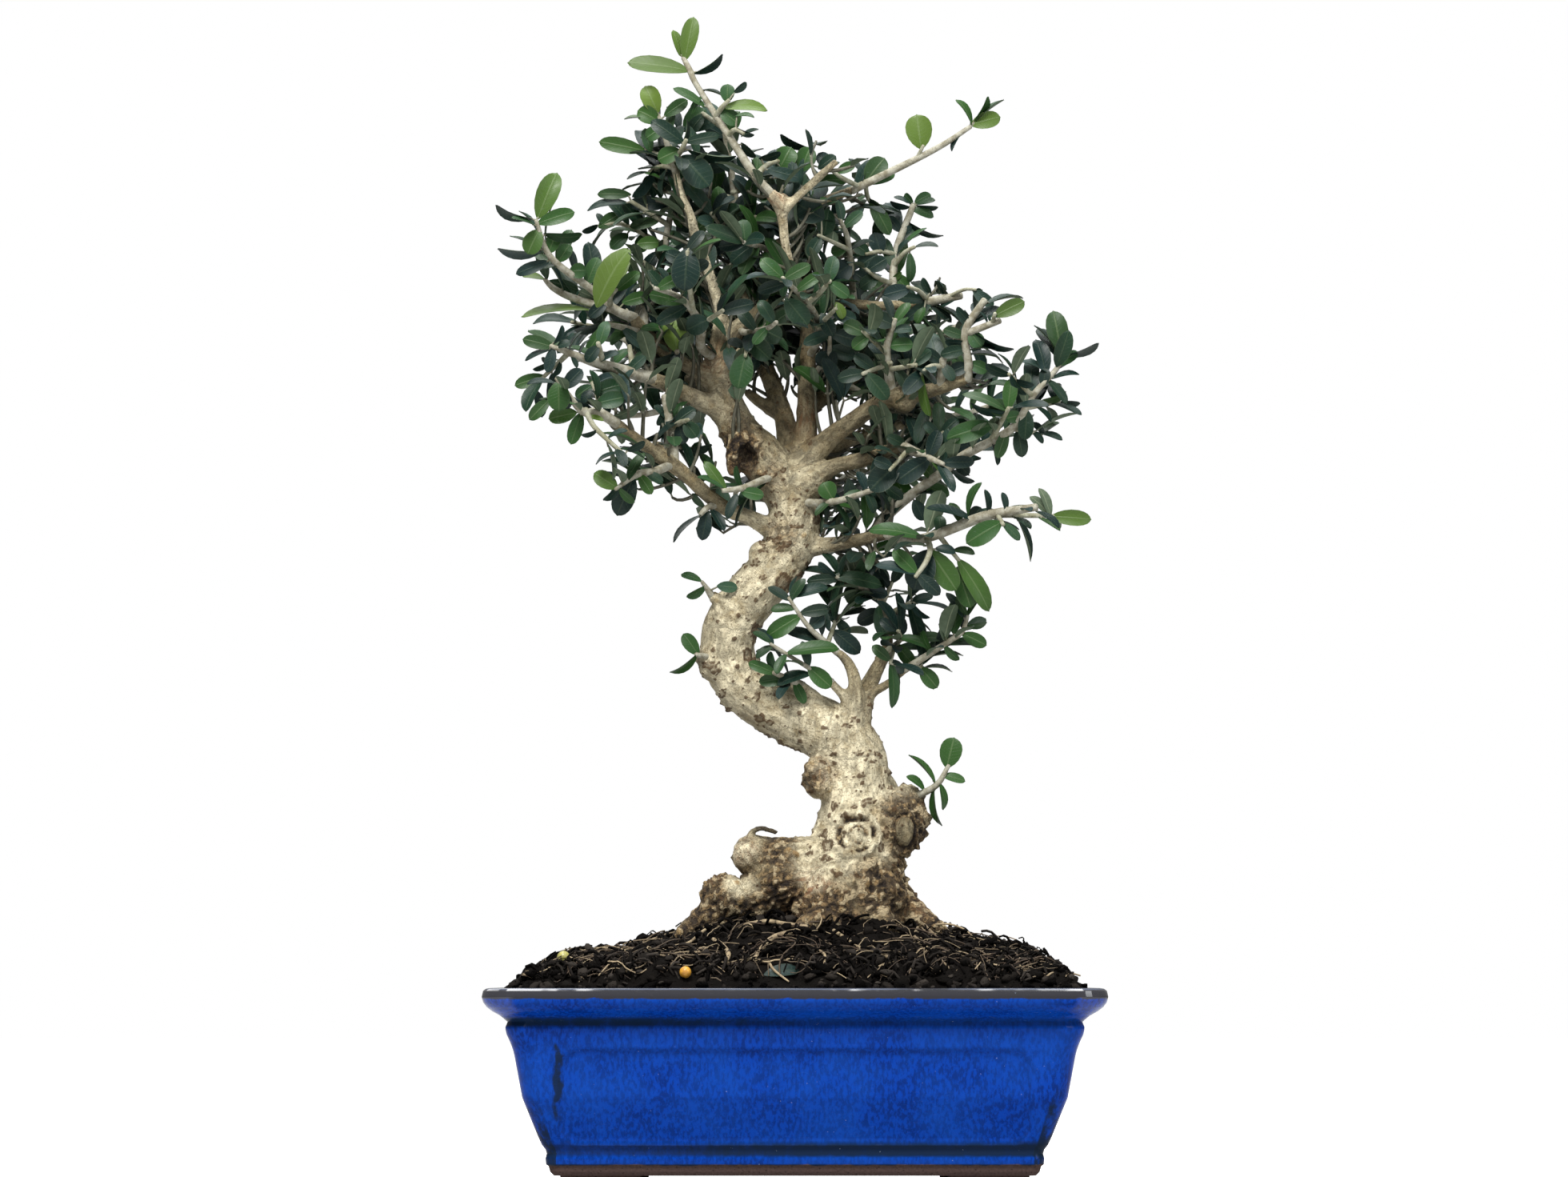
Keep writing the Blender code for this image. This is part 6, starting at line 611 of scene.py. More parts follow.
# Parts of the wood that are pale, rough, ruddy or deep in shade, as (x, y, z, reach, strength).
WOOD_TINTS = {
    "pale": [
        (19, -12, 122, 22, 1.0), (12, -10, 104, 15, 1.0), (8, -14, 95, 8, 1.0), (6, -8, 146, 18, 0.9),
        (-18, -6, 162, 18, 0.9), (-16, -8, 184, 18, 0.9), (-3, -8, 206, 17, 0.75), (-18, -16, 91.5, 6, 0.9),
        (-19, -12, 103, 7, 0.9), (-23, -6, 256, 15, 0.35), (0, -8, 226, 12, 0.4), (-36, -14, 318, 16, 0.9),
        (-28, -10, 292, 14, 0.9), (-4, -22, 312, 22, 0.7),
    ],
    "rough": [
        (-20, -10, 84, 15, 0.9), (-4, -10, 88, 12, 0.9), (12, -14, 83, 12, 0.9), (27, -12, 88, 12, 1.0),
        (36, -4, 110, 13, 1.0), (22, -14, 98, 8, 0.9), (-4, -8, 100, 9, 0.9), (36, -2, 92, 14, 0.9),
        (7, -6, 127, 7.5, 0.6), (22, 8, 92, 20, 0.6), (-18, -8, 237, 8, 0.9), (-17, -8, 100, 9, 0.6),
        (-32, -12, 86, 10, 0.8), (-30, -2, 166, 5, 0.5), (-5, -8, 208, 8, 0.5), (-8, -8, 228, 6, 0.45),
        (-17, -8, 243, 7, 0.5), (-29, -12, 84, 8, 0.9),
    ],
    "ruddy": [
        (8, -6, 127, 7, 0.5), (5, -14, 84, 12, 0.7), (-27, -6, 268, 6, 0.5), (-6, -24, 322, 4, 0.8),
        (-17, -12, 102, 6, 0.35), (4, 2, 246, 8, 0.4), (42, -8, 84, 8, 0.8), (-18, -8, 230, 5, 0.7),
    ],
    "deep": [
        (-11, -10, 110.2, 3.2, 0.9), (-6.5, -9, 108.6, 2.8, 0.9), (30, -10, 206, 18, 0.3), (30, -10, 236, 16, 0.25),
    ],
}
RING_SCAR = (20.5, -14.5, 107.9, 6.4)
CUT_FACE = (36.8, -10, 109.0, 3.8, 5.8)
# Brown scabs on the trunk as the front view shows them, as (x, z, half width, half height).
SCABS = [
    (-24.2, 242, 0.8, 0.8), (-20.8, 248.8, 0.9, 0.7), (5, 239.3, 1, 0.9), (-3.9, 230, 1, 1), (-6.7, 228.8, 1, 0.9),
    (-9.8, 227.3, 1.8, 1.7), (-6.8, 222.8, 1.2, 0.5), (-6.5, 218, 1, 0.9), (-5, 215, 1.3, 1.1),
    (0.8, 211.2, 2.6, 0.7), (7.2, 213.3, 1.2, 1.5), (0.2, 214.8, 1, 0.6), (3.6, 204.6, 0.8, 0.7),
    (-5.6, 206.4, 1.3, 1.2), (-4.5, 203.3, 1.4, 1.1), (-2.5, 205.2, 1.4, 1), (-10.5, 193.7, 1.1, 1),
    (-4, 192.3, 2.5, 2.9), (-10.3, 189.5, 0.8, 0.7), (-16.5, 187.3, 1, 0.6), (-12.7, 186, 0.6, 1.1),
    (-15.8, 179.7, 0.8, 0.7), (-18.2, 181.5, 0.7, 0.7), (0.6, 220, 1.2, 0.5), (4, 215.3, 1, 0.6), (-8, 206.6, 1, 0.8),
    (-28.5, 164.6, 2.2, 1.2), (-12.8, 154, 1.1, 1.7), (-3, 150.6, 1.2, 0.6), (-11.5, 147, 1.6, 1.3),
    (-8, 145.3, 1.2, 0.8), (10.2, 143.6, 1.1, 0.7), (13.2, 134.6, 1.5, 0.8), (21.3, 135, 1.3, 0.8),
    (26, 132.2, 2, 0.4), (22.3, 127.7, 1.3, 0.8), (18.5, 127, 1.2, 0.4), (22.8, 125, 0.8, 0.6), (28.8, 124, 0.9, 1.1),
    (13, 117.5, 0.8, 1.6), (19.9, 117, 1, 0.6), (10.6, 107.7, 0.8, 1.6), (11.5, 104, 1.9, 1.6),
    (5.3, 101.6, 1.1, 0.7), (10.5, 99.7, 1.8, 0.8), (28.7, 103.7, 1.1, 1.4), (30.5, 108.5, 1, 2),
    (17, 113.4, 1.2, 0.5), (25, 119, 2.2, 0.8), (17.5, 144, 1.8, 0.8), (20, 146, 1.4, 1.2), (24.8, 153.5, 0.8, 0.6),
    (24.6, 151.4, 1.2, 0.6), (-12.5, 175.5, 2.2, 2.6), (-16, 168, 1.4, 2.2), (-14.3, 165, 1.2, 1.7),
    (-6, 154.8, 1.4, 0.8), (-24, 155, 1, 1.4), (-25.5, 151.5, 1.4, 0.8), (-13.5, 142, 2, 1.1),
    (-9.5, 140.8, 1.4, 0.9), (-5, 138.7, 1.2, 1), (-3, 137.2, 1.2, 1), (-1, 136.2, 1.1, 0.9), (1, 135.4, 1, 0.8),
    (-26.8, 153.7, 1, 1.1), (-22.3, 149.6, 1.2, 0.9), (30.8, 128.8, 0.9, 1), (27.3, 134.8, 0.8, 0.8),
    (28.6, 133.8, 0.7, 0.7), (31.8, 123.3, 0.8, 0.8), (26, 143, 0.7, 0.7), (26.2, 150.8, 0.8, 0.8),
    (-12.7, 199.5, 1.1, 0.8), (-10.6, 203.5, 0.8, 1.2), (-13.2, 197.8, 1, 0.7), (-10.8, 205.5, 0.9, 1),
    (4.8, 198.2, 1.4, 0.9), (2, 195, 1, 0.9), (6, 199.4, 1, 0.8), (8.6, 209.8, 0.7, 0.8), (-27.4, 245.8, 0.9, 1),
]
WARTS = 900
KNOBS = 380


# What every colour setting has in common.
COLOUR = {"subtype": "COLOR", "size": 3, "min": 0, "max": 1}


class PotLook(bpy.types.PropertyGroup):
    glaze: FloatVectorProperty(
        name="Glaze", description="Colour of the thick glaze", default=(0.0010, 0.042, 0.345), **COLOUR)
    thin_glaze: FloatVectorProperty(
        name="Thin glaze", description="Colour where the glaze breaks on an edge",
        default=(0.030, 0.030, 0.036), **COLOUR)
    clay: FloatVectorProperty(
        name="Bare clay", description="Colour of the unglazed foot", default=(0.085, 0.055, 0.048), **COLOUR)
    bare_to: FloatProperty(
        name="Bare up to", description="Height at which the glaze starts", unit="LENGTH",
        default=BARE_CLAY_TOP * MM, min=0, max=0.02,
    )


class SoilLook(bpy.types.PropertyGroup):
    colour: FloatVectorProperty(
        name="Soil", description="Colour of the damp soil", default=(0.0016, 0.0014, 0.0013), **COLOUR)
    clump: FloatProperty(
        name="Clump height", description="How high the clumps of soil stand", unit="LENGTH",
        default=0.0013, min=0, max=0.003,
    )
    crumbs: IntProperty(name="Crumbs", description="Number of loose crumbs on the soil", default=1250, min=0)
    fibres: IntProperty(name="Fine roots", description="Number of fine roots on the soil", default=850, min=0)
    shreds: IntProperty(name="Shreds", description="Number of dark shreds in the soil", default=2900, min=0)


class WoodLook(bpy.types.PropertyGroup):
    bark: FloatVectorProperty(
        name="Bark", description="Colour of the sound bark", default=(0.31, 0.265, 0.16), **COLOUR)
    pale: FloatVectorProperty(
        name="Bleached bark", description="Colour of the bleached bark", default=(0.84, 0.76, 0.54), **COLOUR)
    grain: FloatProperty(
        name="Mesh size", description="Size of the wood's mesh", unit="LENGTH", default=0.0008, min=0.0005,
        max=0.003,
    )
    relief: FloatProperty(
        name="Relief", description="Height of the bark's bumps on the trunk", unit="LENGTH", default=0.0009,
        min=0, max=0.003,
    )


class CrownLook(bpy.types.PropertyGroup):
    dark: FloatVectorProperty(
        name="Old leaf", description="Colour of an old leaf", default=(0.0035, 0.0165, 0.0135), **COLOUR)
    mid: FloatVectorProperty(
        name="Grown leaf", description="Colour of a grown leaf", default=(0.024, 0.074, 0.014), **COLOUR)
    young: FloatVectorProperty(
        name="Young leaf", description="Colour of a young leaf", default=(0.095, 0.155, 0.024), **COLOUR)
    under: FloatVectorProperty(
        name="Underside", description="Colour of a leaf's underside", default=(0.10, 0.14, 0.085), **COLOUR)
    thickness: FloatProperty(
        name="Leaf thickness", description="Thickness of a leaf", unit="LENGTH", default=0.0004, min=0.0002,
        max=0.001,
    )
    spacing: FloatProperty(
        name="Pair spacing", description="Distance between the pairs of leaves on a twig", unit="LENGTH",
        default=0.0033, min=0.002, max=0.02,
    )


class StudioLook(bpy.types.PropertyGroup):
    floor: FloatVectorProperty(
        name="Floor", description="Colour of the floor", default=(0.5, 0.5, 0.5), **COLOUR)
    key: FloatProperty(name="Key light", description="Power of the key light", unit="POWER", default=40.0, min=0)
    fill: FloatProperty(name="Fill light", description="Power of the fill light", unit="POWER", default=7.0, min=0)
    top: FloatProperty(name="Top light", description="Power of the top light", unit="POWER", default=22.0, min=0)
    front: FloatProperty(name="Front light", description="Power of the front light", unit="POWER", default=6.0, min=0)
    back: FloatProperty(name="Back light", description="Power of the back light", unit="POWER", default=4.0, min=0)
    around: FloatProperty(name="Surroundings", description="Brightness of the room", default=0.22, min=0)


def seen(x, y, z):
    """The place that the front view shows at x and z and that lies at depth y."""
    scale = (EYE_DISTANCE + y) / EYE_DISTANCE
    return np.array(((x - EYE_X) * scale + EYE_X, y, (z + TREE_LIFT - EYE_Z) * scale + EYE_Z))


def viewed(places):
    """The x and z at which the front view shows places."""
    places = np.asarray(places, float)
    scale = EYE_DISTANCE / (EYE_DISTANCE + places[..., 1])
    across = (places[..., 0] - EYE_X) * scale + EYE_X
    return np.stack((across, (places[..., 2] - EYE_Z) * scale + EYE_Z - TREE_LIFT), -1)


def unit(vectors):
    """Vectors of length one."""
    vectors = np.asarray(vectors, float)
    return vectors / np.maximum(np.linalg.norm(vectors, axis=-1, keepdims=True), 1e-9)


def smooth_line(stations, step):
    """Places and radii about a step apart on a smooth curve through (x, y, z, radius) stations of the view."""
    return rounded_line(np.array([(*seen(*station[:3]), station[3]) for station in stations]), step)


def rounded_line(points, step):
    """Places and radii about a step apart on a smooth curve through places."""
    points = np.vstack((2 * points[0] - points[1], points, 2 * points[-1] - points[-2]))
    fine = []
    for a, b, c, d in zip(points, points[1:], points[2:], points[3:]):
        for t in np.arange(0, 1, 0.05):
            fine.append(0.5 * (2 * b + (c - a) * t + (2 * a - 5 * b + 4 * c - d) * t**2
                               + (3 * b - a - 3 * c + d) * t**3))
    fine = np.array([*fine, points[-2]])
    gone = np.concatenate(([0], np.cumsum(np.linalg.norm(np.diff(fine[:, :3], axis=0), axis=1))))
    count = max(2, round(gone[-1] / step) + 1)
    at = np.linspace(0, gone[-1], count)
    line = np.stack([np.interp(at, gone, fine[:, k]) for k in range(4)], -1)
    line[:, 3] = np.maximum(line[:, 3], 0.3)
    return line


def frames_along(line):
    """Directions along a line and two across it, which turn as little as they can."""
    way = unit(np.gradient(line[:, :3], axis=0))
    side = unit(np.cross(way[0], (0.3, 0.1, 1) if abs(way[0][2]) < 0.9 else (1, 0.1, 0.2)))
    sides = []
    for direction in way:
        side = unit(side - direction * np.dot(side, direction))
        sides.append(side)
    sides = np.array(sides)
    return way, sides, np.cross(way, sides)


def paint(mesh, name, values):
    """Keeps a value at each point of a mesh, or a vector where there are three numbers for each."""
    kind, entry = ("FLOAT_VECTOR", "vector") if values.ndim == 2 else ("FLOAT", "value")
    layer = mesh.attributes.new(name, kind, "POINT")
    layer.data.foreach_set(entry, values.astype(np.float32).ravel())


class Form:
    """Points, faces and per-point values of a mesh in the making."""

    def __init__(self):
        self.points, self.faces, self.finish, self.values = [], [], [], {}
        self.count = 0

    def add(self, points, faces, finish=0, **values):
        """Takes in more points and faces, with one finish and a value or a list of values under each name."""
        points = np.asarray(points, float).reshape(-1, 3)
        for name, value in values.items():
            self.values.setdefault(name, []).append(
                np.broadcast_to(np.asarray(value, float).reshape(-1), (len(points),)))
        self.points.append(points)
        self.faces.extend(tuple(int(i) + self.count for i in face) for face in faces)
        self.finish.extend([finish] * len(faces))
        self.count += len(points)

    def piece(self, name, finishes, smooth_to=180.0):
        """The finished object, linked to the scene."""
        mesh = bpy.data.meshes.new(name)
        mesh.from_pydata((np.vstack(self.points) * MM).tolist(), [], self.faces)
        for finish in finishes:
            mesh.materials.append(finish)
        mesh.polygons.foreach_set("material_index", self.finish)
        for label, parts in self.values.items():
            paint(mesh, label, np.concatenate(parts))
        mesh.shade_smooth()
        if smooth_to < 180:
            mesh.set_sharp_from_angle(angle=math.radians(smooth_to))
        obj = bpy.data.objects.new(name, mesh)
        bpy.context.scene.collection.objects.link(obj)
        return obj


def grid_faces(rows, columns, wrap=False, flip=False):
    """Faces between rows of points."""
    faces = []
    for row in range(rows - 1):
        for i in range(columns if wrap else columns - 1):
            j = (i + 1) % columns
            face = (row * columns + i, row * columns + j, (row + 1) * columns + j, (row + 1) * columns + i)
            faces.append(face[::-1] if flip else face)
    return faces


def closed_faces(rows, columns):
    """Faces between rings of points, and one over each end."""
    last = (rows - 1) * columns
    return [*grid_faces(rows, columns, wrap=True), tuple(range(columns))[::-1], tuple(range(last, last + columns))]


def tube(line, sides):
    """Points and faces of a closed tube with rounded ends."""
    way, first, second = frames_along(line)
    rings = [(line[0, :3] - way[0] * line[0, 3] * push, line[0, 3] * share, 0)
             for push, share in ((0.45, 0.3), (0.35, 0.7))]
    rings += [(place[:3], place[3], i) for i, place in enumerate(line)]
    rings += [(line[-1, :3] + way[-1] * line[-1, 3] * push, line[-1, 3] * share, len(line) - 1)
              for push, share in ((0.35, 0.7), (0.45, 0.3))]
    turn = np.arange(sides) / sides * 2 * math.pi
    points = np.concatenate([
        centre + radius * (np.outer(np.cos(turn), first[i]) + np.outer(np.sin(turn), second[i]))
        for centre, radius, i in rings
    ])
    return points, closed_faces(len(rings), sides)


def ball(fineness):
    """Points and faces of a round ball of radius one."""
    form = bmesh.new()
    bmesh.ops.create_icosphere(form, subdivisions=fineness, radius=1)
    points = np.array([vert.co for vert in form.verts])
    faces = [tuple(vert.index for vert in face.verts) for face in form.faces]
    form.free()
    return points, faces


def lumps(places, size, seed):
    """Smooth noise between -1 and 1 at each place, with lumps of a given size."""
    shift = Vector((seed * 17.3, seed * 5.1, -seed * 9.7))
    return np.array([noise.noise(Vector(place) / size + shift) for place in places])


def settle(obj, *nodes, slot):
    """Puts a finished piece on the tree in place of its CAD nodes."""
    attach(obj, "root")
    if nodes:
        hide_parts(*nodes)
    return obj


class Nodes:
    """A node tree that is filled line by line."""

    def __init__(self, tree):
        self.tree = tree

    def add(self, kind, **settings):
        """A new node with its settings."""
        node = self.tree.nodes.new(kind)
        for name, value in settings.items():
            setattr(node, name, value)
        return node

    def feed(self, socket, value):
        """Links a socket to another one, or sets it to a constant."""
        if isinstance(value, bpy.types.NodeSocket):
            self.tree.links.new(value, socket)
        elif socket.type == "RGBA":
            socket.default_value = (*tuple(value)[:3], 1)
        else:
            socket.default_value = value

    def shade(self, **settings):
        """Feeds inputs of the material's shader by their names."""
        inputs = self.tree.nodes["Principled BSDF"].inputs
        for label, value in settings.items():
            self.feed(inputs[label.replace("_", " ").title().replace("Ior", "IOR")], value)

    def math(self, operation, *values, clamp=False):
        """The result of one operation."""
        node = self.add("ShaderNodeMath", operation=operation, use_clamp=clamp)
        for socket, value in zip(node.inputs, values):
            self.feed(socket, value)
        return node.outputs[0]

    def times(self, first, second, clamp=False):
        """One value times the other."""
        return self.math("MULTIPLY", first, second, clamp=clamp)

    def plus(self, first, second):
        """One value plus the other."""
        return self.math("ADD", first, second)

    def minus(self, first, second):
        """The first value minus the second."""
        return self.math("SUBTRACT", first, second)

    def mix(self, share, first, second):
        """Two colours, mixed by the second one's share."""
        node = self.add("ShaderNodeMix", data_type="RGBA")
        for key, value in (("Factor", share), (6, first), (7, second)):
            self.feed(node.inputs[key], value)
        return node.outputs[2]

    def coats(self, colour, *coats):
        """A colour under coats of (share, colour), the last one on top."""
        for share, coat in coats:
            colour = self.mix(share, colour, coat)
        return colour

    def between(self, value, low, high, first=0.0, second=1.0):
        """A soft step from first to second, taken while the value goes from low to high."""
        node = self.add("ShaderNodeMapRange", interpolation_type="SMOOTHSTEP")
        names = ("Value", "From Min", "From Max", "To Min", "To Max")
        for name, entry in zip(names, (value, low, high, first, second)):
            self.feed(node.inputs[name], entry)
        return node.outputs[0]

    def stretched(self, place, scale):
        """A place with its three values scaled."""
        node = self.add("ShaderNodeVectorMath", operation="MULTIPLY")
        self.feed(node.inputs[0], place)
        node.inputs[1].default_value = scale
        return node.outputs[0]

    def value(self, name, output="Fac"):
        """A value that the mesh keeps at its points."""
        return self.add("ShaderNodeAttribute", attribute_name=name).outputs[output]

    def place(self):
        """The place on the object in millimetres."""
        return self.stretched(self.add("ShaderNodeTexCoord").outputs["Object"], (1 / MM,) * 3)

    def texture(self, kind, place, size, cells_per_size=1.0, **settings):
        """A texture whose features have a size."""
        node = self.add(kind, **settings)
        self.feed(node.inputs["Vector"], place)
        self.feed(node.inputs["Scale"], self.math("DIVIDE", cells_per_size, size))
        return node

    def group(self, tree, **values):
        """The outputs of a shared effect."""
        node = self.add("ShaderNodeGroup", node_tree=tree)
        for name, value in values.items():
            self.feed(node.inputs[name], value)
        return node.outputs

    def patches(self, place, size, level, softness):
        """A mask of patches."""
        return self.group(patches_effect(), Place=place, Size=size, Level=level, Softness=softness)[0]

    def grit(self, place, size, pits):
        """The height of grit, and the mask of its pits."""
        return self.group(grit_effect(), Place=place, Size=size, Pits=pits)

    def leaf_marks(self):
        """The masks of a leaf's midrib, veins and rim."""
        return self.group(leaf_marks_effect(), Along=self.value("along"), Across=self.value("across"))

    def bump(self, height, distance, strength=1.0, normal=None):
        """The normal of small relief, whose distance is in millimetres."""
        node = self.add("ShaderNodeBump")
        node.inputs["Strength"].default_value = strength
        node.inputs["Distance"].default_value = distance * MM
        self.feed(node.inputs["Height"], height)
        if normal:
            self.feed(node.inputs["Normal"], normal)
        return node.outputs[0]


def effect(name, inputs, outputs):
    """A new node group with named inputs, a vector where the start is None, and its first and last nodes."""
    tree = bpy.data.node_groups.new(name, "ShaderNodeTree")
    for label, start in inputs.items():
        kind = "NodeSocketVector" if start is None else "NodeSocketFloat"
        socket = tree.interface.new_socket(label, in_out="INPUT", socket_type=kind)
        if start is not None:
            socket.default_value = start
    for label in outputs:
        tree.interface.new_socket(label, in_out="OUTPUT", socket_type="NodeSocketFloat")
    nodes = Nodes(tree)
    return nodes, nodes.add("NodeGroupInput").outputs, nodes.add("NodeGroupOutput").inputs


def patches_effect():
    """Soft-edged patches: a mask of where noise of a size in millimetres lies above a level."""
    if "Patches" in bpy.data.node_groups:
        return bpy.data.node_groups["Patches"]
    nodes, given, result = effect("Patches", {"Place": None, "Size": 5.0, "Level": 0.5, "Softness": 0.1}, ["Mask"])
    cloud = nodes.texture("ShaderNodeTexNoise", given["Place"], given["Size"])
    cloud.inputs["Detail"].default_value = 5
    cloud.inputs["Roughness"].default_value = 0.6
    low = nodes.minus(given["Level"], given["Softness"])
    high = nodes.plus(given["Level"], given["Softness"])
    nodes.feed(result["Mask"], nodes.between(cloud.outputs[0], low, high))
    return nodes.tree


def grit_effect():
    """Fine and coarse grit as a height between 0 and 1, with pits where the mask is low."""
    if "Grit" in bpy.data.node_groups:
        return bpy.data.node_groups["Grit"]
    nodes, given, result = effect("Grit", {"Place": None, "Size": 1.0, "Pits": 0.5}, ["Height", "Pit mask"])
    cloud = nodes.texture("ShaderNodeTexNoise", given["Place"], given["Size"])
    cloud.inputs["Detail"].default_value = 6
    cell = nodes.texture("ShaderNodeTexVoronoi", given["Place"], given["Size"], 0.6, feature="F1")
    pit = nodes.between(cell.outputs["Distance"], 0.12, 0.3, 1.0, 0.0)
    nodes.feed(result["Pit mask"], pit)
    nodes.feed(result["Height"], nodes.minus(cloud.outputs[0], nodes.times(pit, given["Pits"])))
    return nodes.tree


# Colours of the marks on each finish.
TINTS = {
    "glaze cloud": (0.006, 0.070, 0.40), "pooled glaze and shade": (0.006, 0.018, 0.050), "glaze stain": (0.006, 0.016, 0.034),
    "glaze speck": (0.30, 0.38, 0.50), "painted lip highlight": (0.085, 0.10, 0.145),
    "dry crumb": (0.042, 0.036, 0.031), "soil fleck": (0.09, 0.065, 0.042),
    "old root": (0.040, 0.028, 0.019), "fresh root": (0.52, 0.41, 0.25), "root stain": (0.07, 0.04, 0.022),
    "golden bark": (0.34, 0.26, 0.13), "bark streak": (0.20, 0.15, 0.08), "bark crease": (0.12, 0.08, 0.045),
    "ruddy bark": (0.24, 0.10, 0.04), "dark crust": (0.055, 0.035, 0.018), "tan crust": (0.22, 0.145, 0.068),
    "painted crust highlight": (0.58, 0.47, 0.29), "painted crevice shade": (0.018, 0.012, 0.008), "brown knob": (0.30, 0.20, 0.09),
    "painted pale knob highlight": (0.50, 0.39, 0.22), "pore": (0.12, 0.07, 0.03), "wart": (0.085, 0.047, 0.02),
    # Near black, for the painted shade inside the hollow and in deep places.
    "hollow": (0.02, 0.014, 0.01),
    "pale twig": (0.44, 0.42, 0.36), "brown twig": (0.19, 0.16, 0.12), "twig pit": (0.10, 0.07, 0.05),
    "green twig": (0.20, 0.25, 0.10), "inner twig shade": (0.045, 0.045, 0.028),
    "leaf bloom and sheen": (0.050, 0.090, 0.095), "dull leaf": (0.02, 0.03, 0.022), "leaf scratch": (0.12, 0.16, 0.14),
    "leaf vein": (0.20, 0.26, 0.13), "leaf rim": (0.12, 0.14, 0.08), "midrib below": (0.30, 0.34, 0.22),
    "screen": (0.012, 0.012, 0.012), "screen dust": (0.06, 0.045, 0.03),
}


def scaled(colour, share):
    """A colour that is darker or lighter by a share."""
    return tuple(share * part for part in colour)


def new_finish(name, **settings):
    """A material and its nodes, with settings of its shader."""
    finish = bpy.data.materials.new(name)
    finish.use_nodes = True
    nodes = Nodes(finish.node_tree)
    nodes.shade(**settings)
    return finish, nodes


def glaze_finish(look):
    """Cobalt glaze with runs, thin and brown on edges, over bare clay at the foot, with painted shade under the rim
    and a painted highlight along the lip.
    """
    finish, nodes = new_finish("glazed_stoneware", coat_ior=1.8, coat_roughness=0.05, specular_ior_level=0.06)
    place = nodes.place()
    split = nodes.add("ShaderNodeSeparateXYZ")
    nodes.feed(split.inputs[0], place)
    height = split.outputs["Z"]
    runs = nodes.patches(nodes.stretched(place, (1, 1, 0.4)), 1.1, 0.5, 0.1)
    clouds = nodes.patches(place, 22.0, 0.5, 0.2)
    specks = nodes.patches(place, 1.3, 0.73, 0.02)
    ragged = nodes.patches(nodes.stretched(place, (1, 1, 0.6)), 4.0, 0.5, 0.3)
    worn = nodes.times(nodes.value("edge"), nodes.plus(0.55, ragged), clamp=True)
    # The groove mask darkens pooled glaze at the panel edges, dark bands low on the wall, and painted shade under the
    # rim.
    pooled = nodes.times(nodes.value("groove"), nodes.plus(0.8, nodes.times(ragged, 0.4)), clamp=True)
    smudged = nodes.times(nodes.value("smudge"), nodes.plus(0.25, ragged))
    # A painted highlight: the top of the lip is painted a lighter blue-grey, in broad patches.
    outer = nodes.times(nodes.between(height, *LIP_PAINTED_HIGHLIGHT), nodes.between(nodes.value("edge"), 0.7, 0.98))
    shine = nodes.times(outer, nodes.plus(0.25, nodes.patches(place, 45.0, 0.45, 0.1)))
    colour = nodes.coats(
        look.glaze,
        (runs, scaled(look.glaze, 0.5)),
        (nodes.times(clouds, 0.45), TINTS["glaze cloud"]),
        (nodes.between(worn, 0.3, 0.6), look.thin_glaze),
        (nodes.between(pooled, 0.05, 0.9), TINTS["pooled glaze and shade"]),
        (nodes.between(smudged, 0.3, 0.7, 0.0, 0.9), TINTS["glaze stain"]),
        (nodes.times(specks, 0.5), TINTS["glaze speck"]),
        (nodes.between(shine, 0.1, 1.0), TINTS["painted lip highlight"]),
    )
    line = nodes.plus(height, nodes.times(nodes.patches(place, 7.0, 0.5, 0.3), 0.9))
    bare = nodes.between(line, look.bare_to / MM + 0.2, look.bare_to / MM + 0.8, 1.0, 0.0)
    bare = nodes.math("MAXIMUM", bare, nodes.value("inside"))
    grain = nodes.grit(place, 0.8, 0.4)[0]
    clay = nodes.mix(grain, scaled(look.clay, 0.55), scaled(look.clay, 1.35))
    scuffs = nodes.patches(nodes.stretched(place, (0.3, 0.3, 1)), 1.1, 0.62, 0.08)
    gloss = nodes.plus(0.16, nodes.times(scuffs, 0.18))
    coat = nodes.plus(0.015, nodes.times(nodes.value("rim"), 0.95))
    swell = nodes.patches(nodes.stretched(place, (1, 1, 0.5)), 5.0, 0.5, 0.5)
    rough = nodes.times(grain, nodes.plus(bare, 0.04))
    nodes.shade(
        base_color=nodes.mix(bare, colour, clay),
        roughness=nodes.plus(gloss, nodes.times(bare, 0.62)),
        coat_weight=nodes.times(nodes.minus(1.0, bare), coat),
        normal=nodes.bump(rough, 0.25, 0.8, nodes.bump(swell, 0.10, 0.6)),
    )
    return finish


def soil_finish(look, name="damp_soil", light=1.0):
    """Damp, nearly black soil with lighter crumbs and flecks."""
    finish, nodes = new_finish(name, specular_ior_level=0.03)
    place = nodes.place()
    damp = nodes.patches(place, 9.0, 0.5, 0.2)
    flecks = nodes.patches(place, 0.7, 0.68, 0.04)
    dark = scaled(look.colour, light)
    colour = nodes.coats(
        dark,
        (damp, scaled(dark, 1.9)),
        (nodes.value("luck"), TINTS["dry crumb"]),
        (nodes.times(flecks, 0.25), TINTS["soil fleck"]),
    )
    nodes.shade(base_color=colour, roughness=nodes.plus(0.72, nodes.times(damp, 0.2)),
                normal=nodes.bump(nodes.grit(place, 0.9, 0.6)[0], 0.6, 1.0))
    return finish


def root_finish():
    """Fine roots, from fresh and pale to old and dark by their luck."""
    finish, nodes = new_finish("fine_root")
    place = nodes.place()
    tone = nodes.patches(place, 3.0, 0.5, 0.25)
    colour = nodes.coats(
        TINTS["old root"],
        (nodes.value("luck"), TINTS["fresh root"]),
        (nodes.times(tone, 0.7), TINTS["root stain"]),
    )
    nodes.shade(base_color=colour, roughness=nodes.plus(0.7, nodes.times(tone, 0.2)),
                normal=nodes.bump(nodes.grit(place, 0.4, 0.2)[0], 0.1))
    return finish


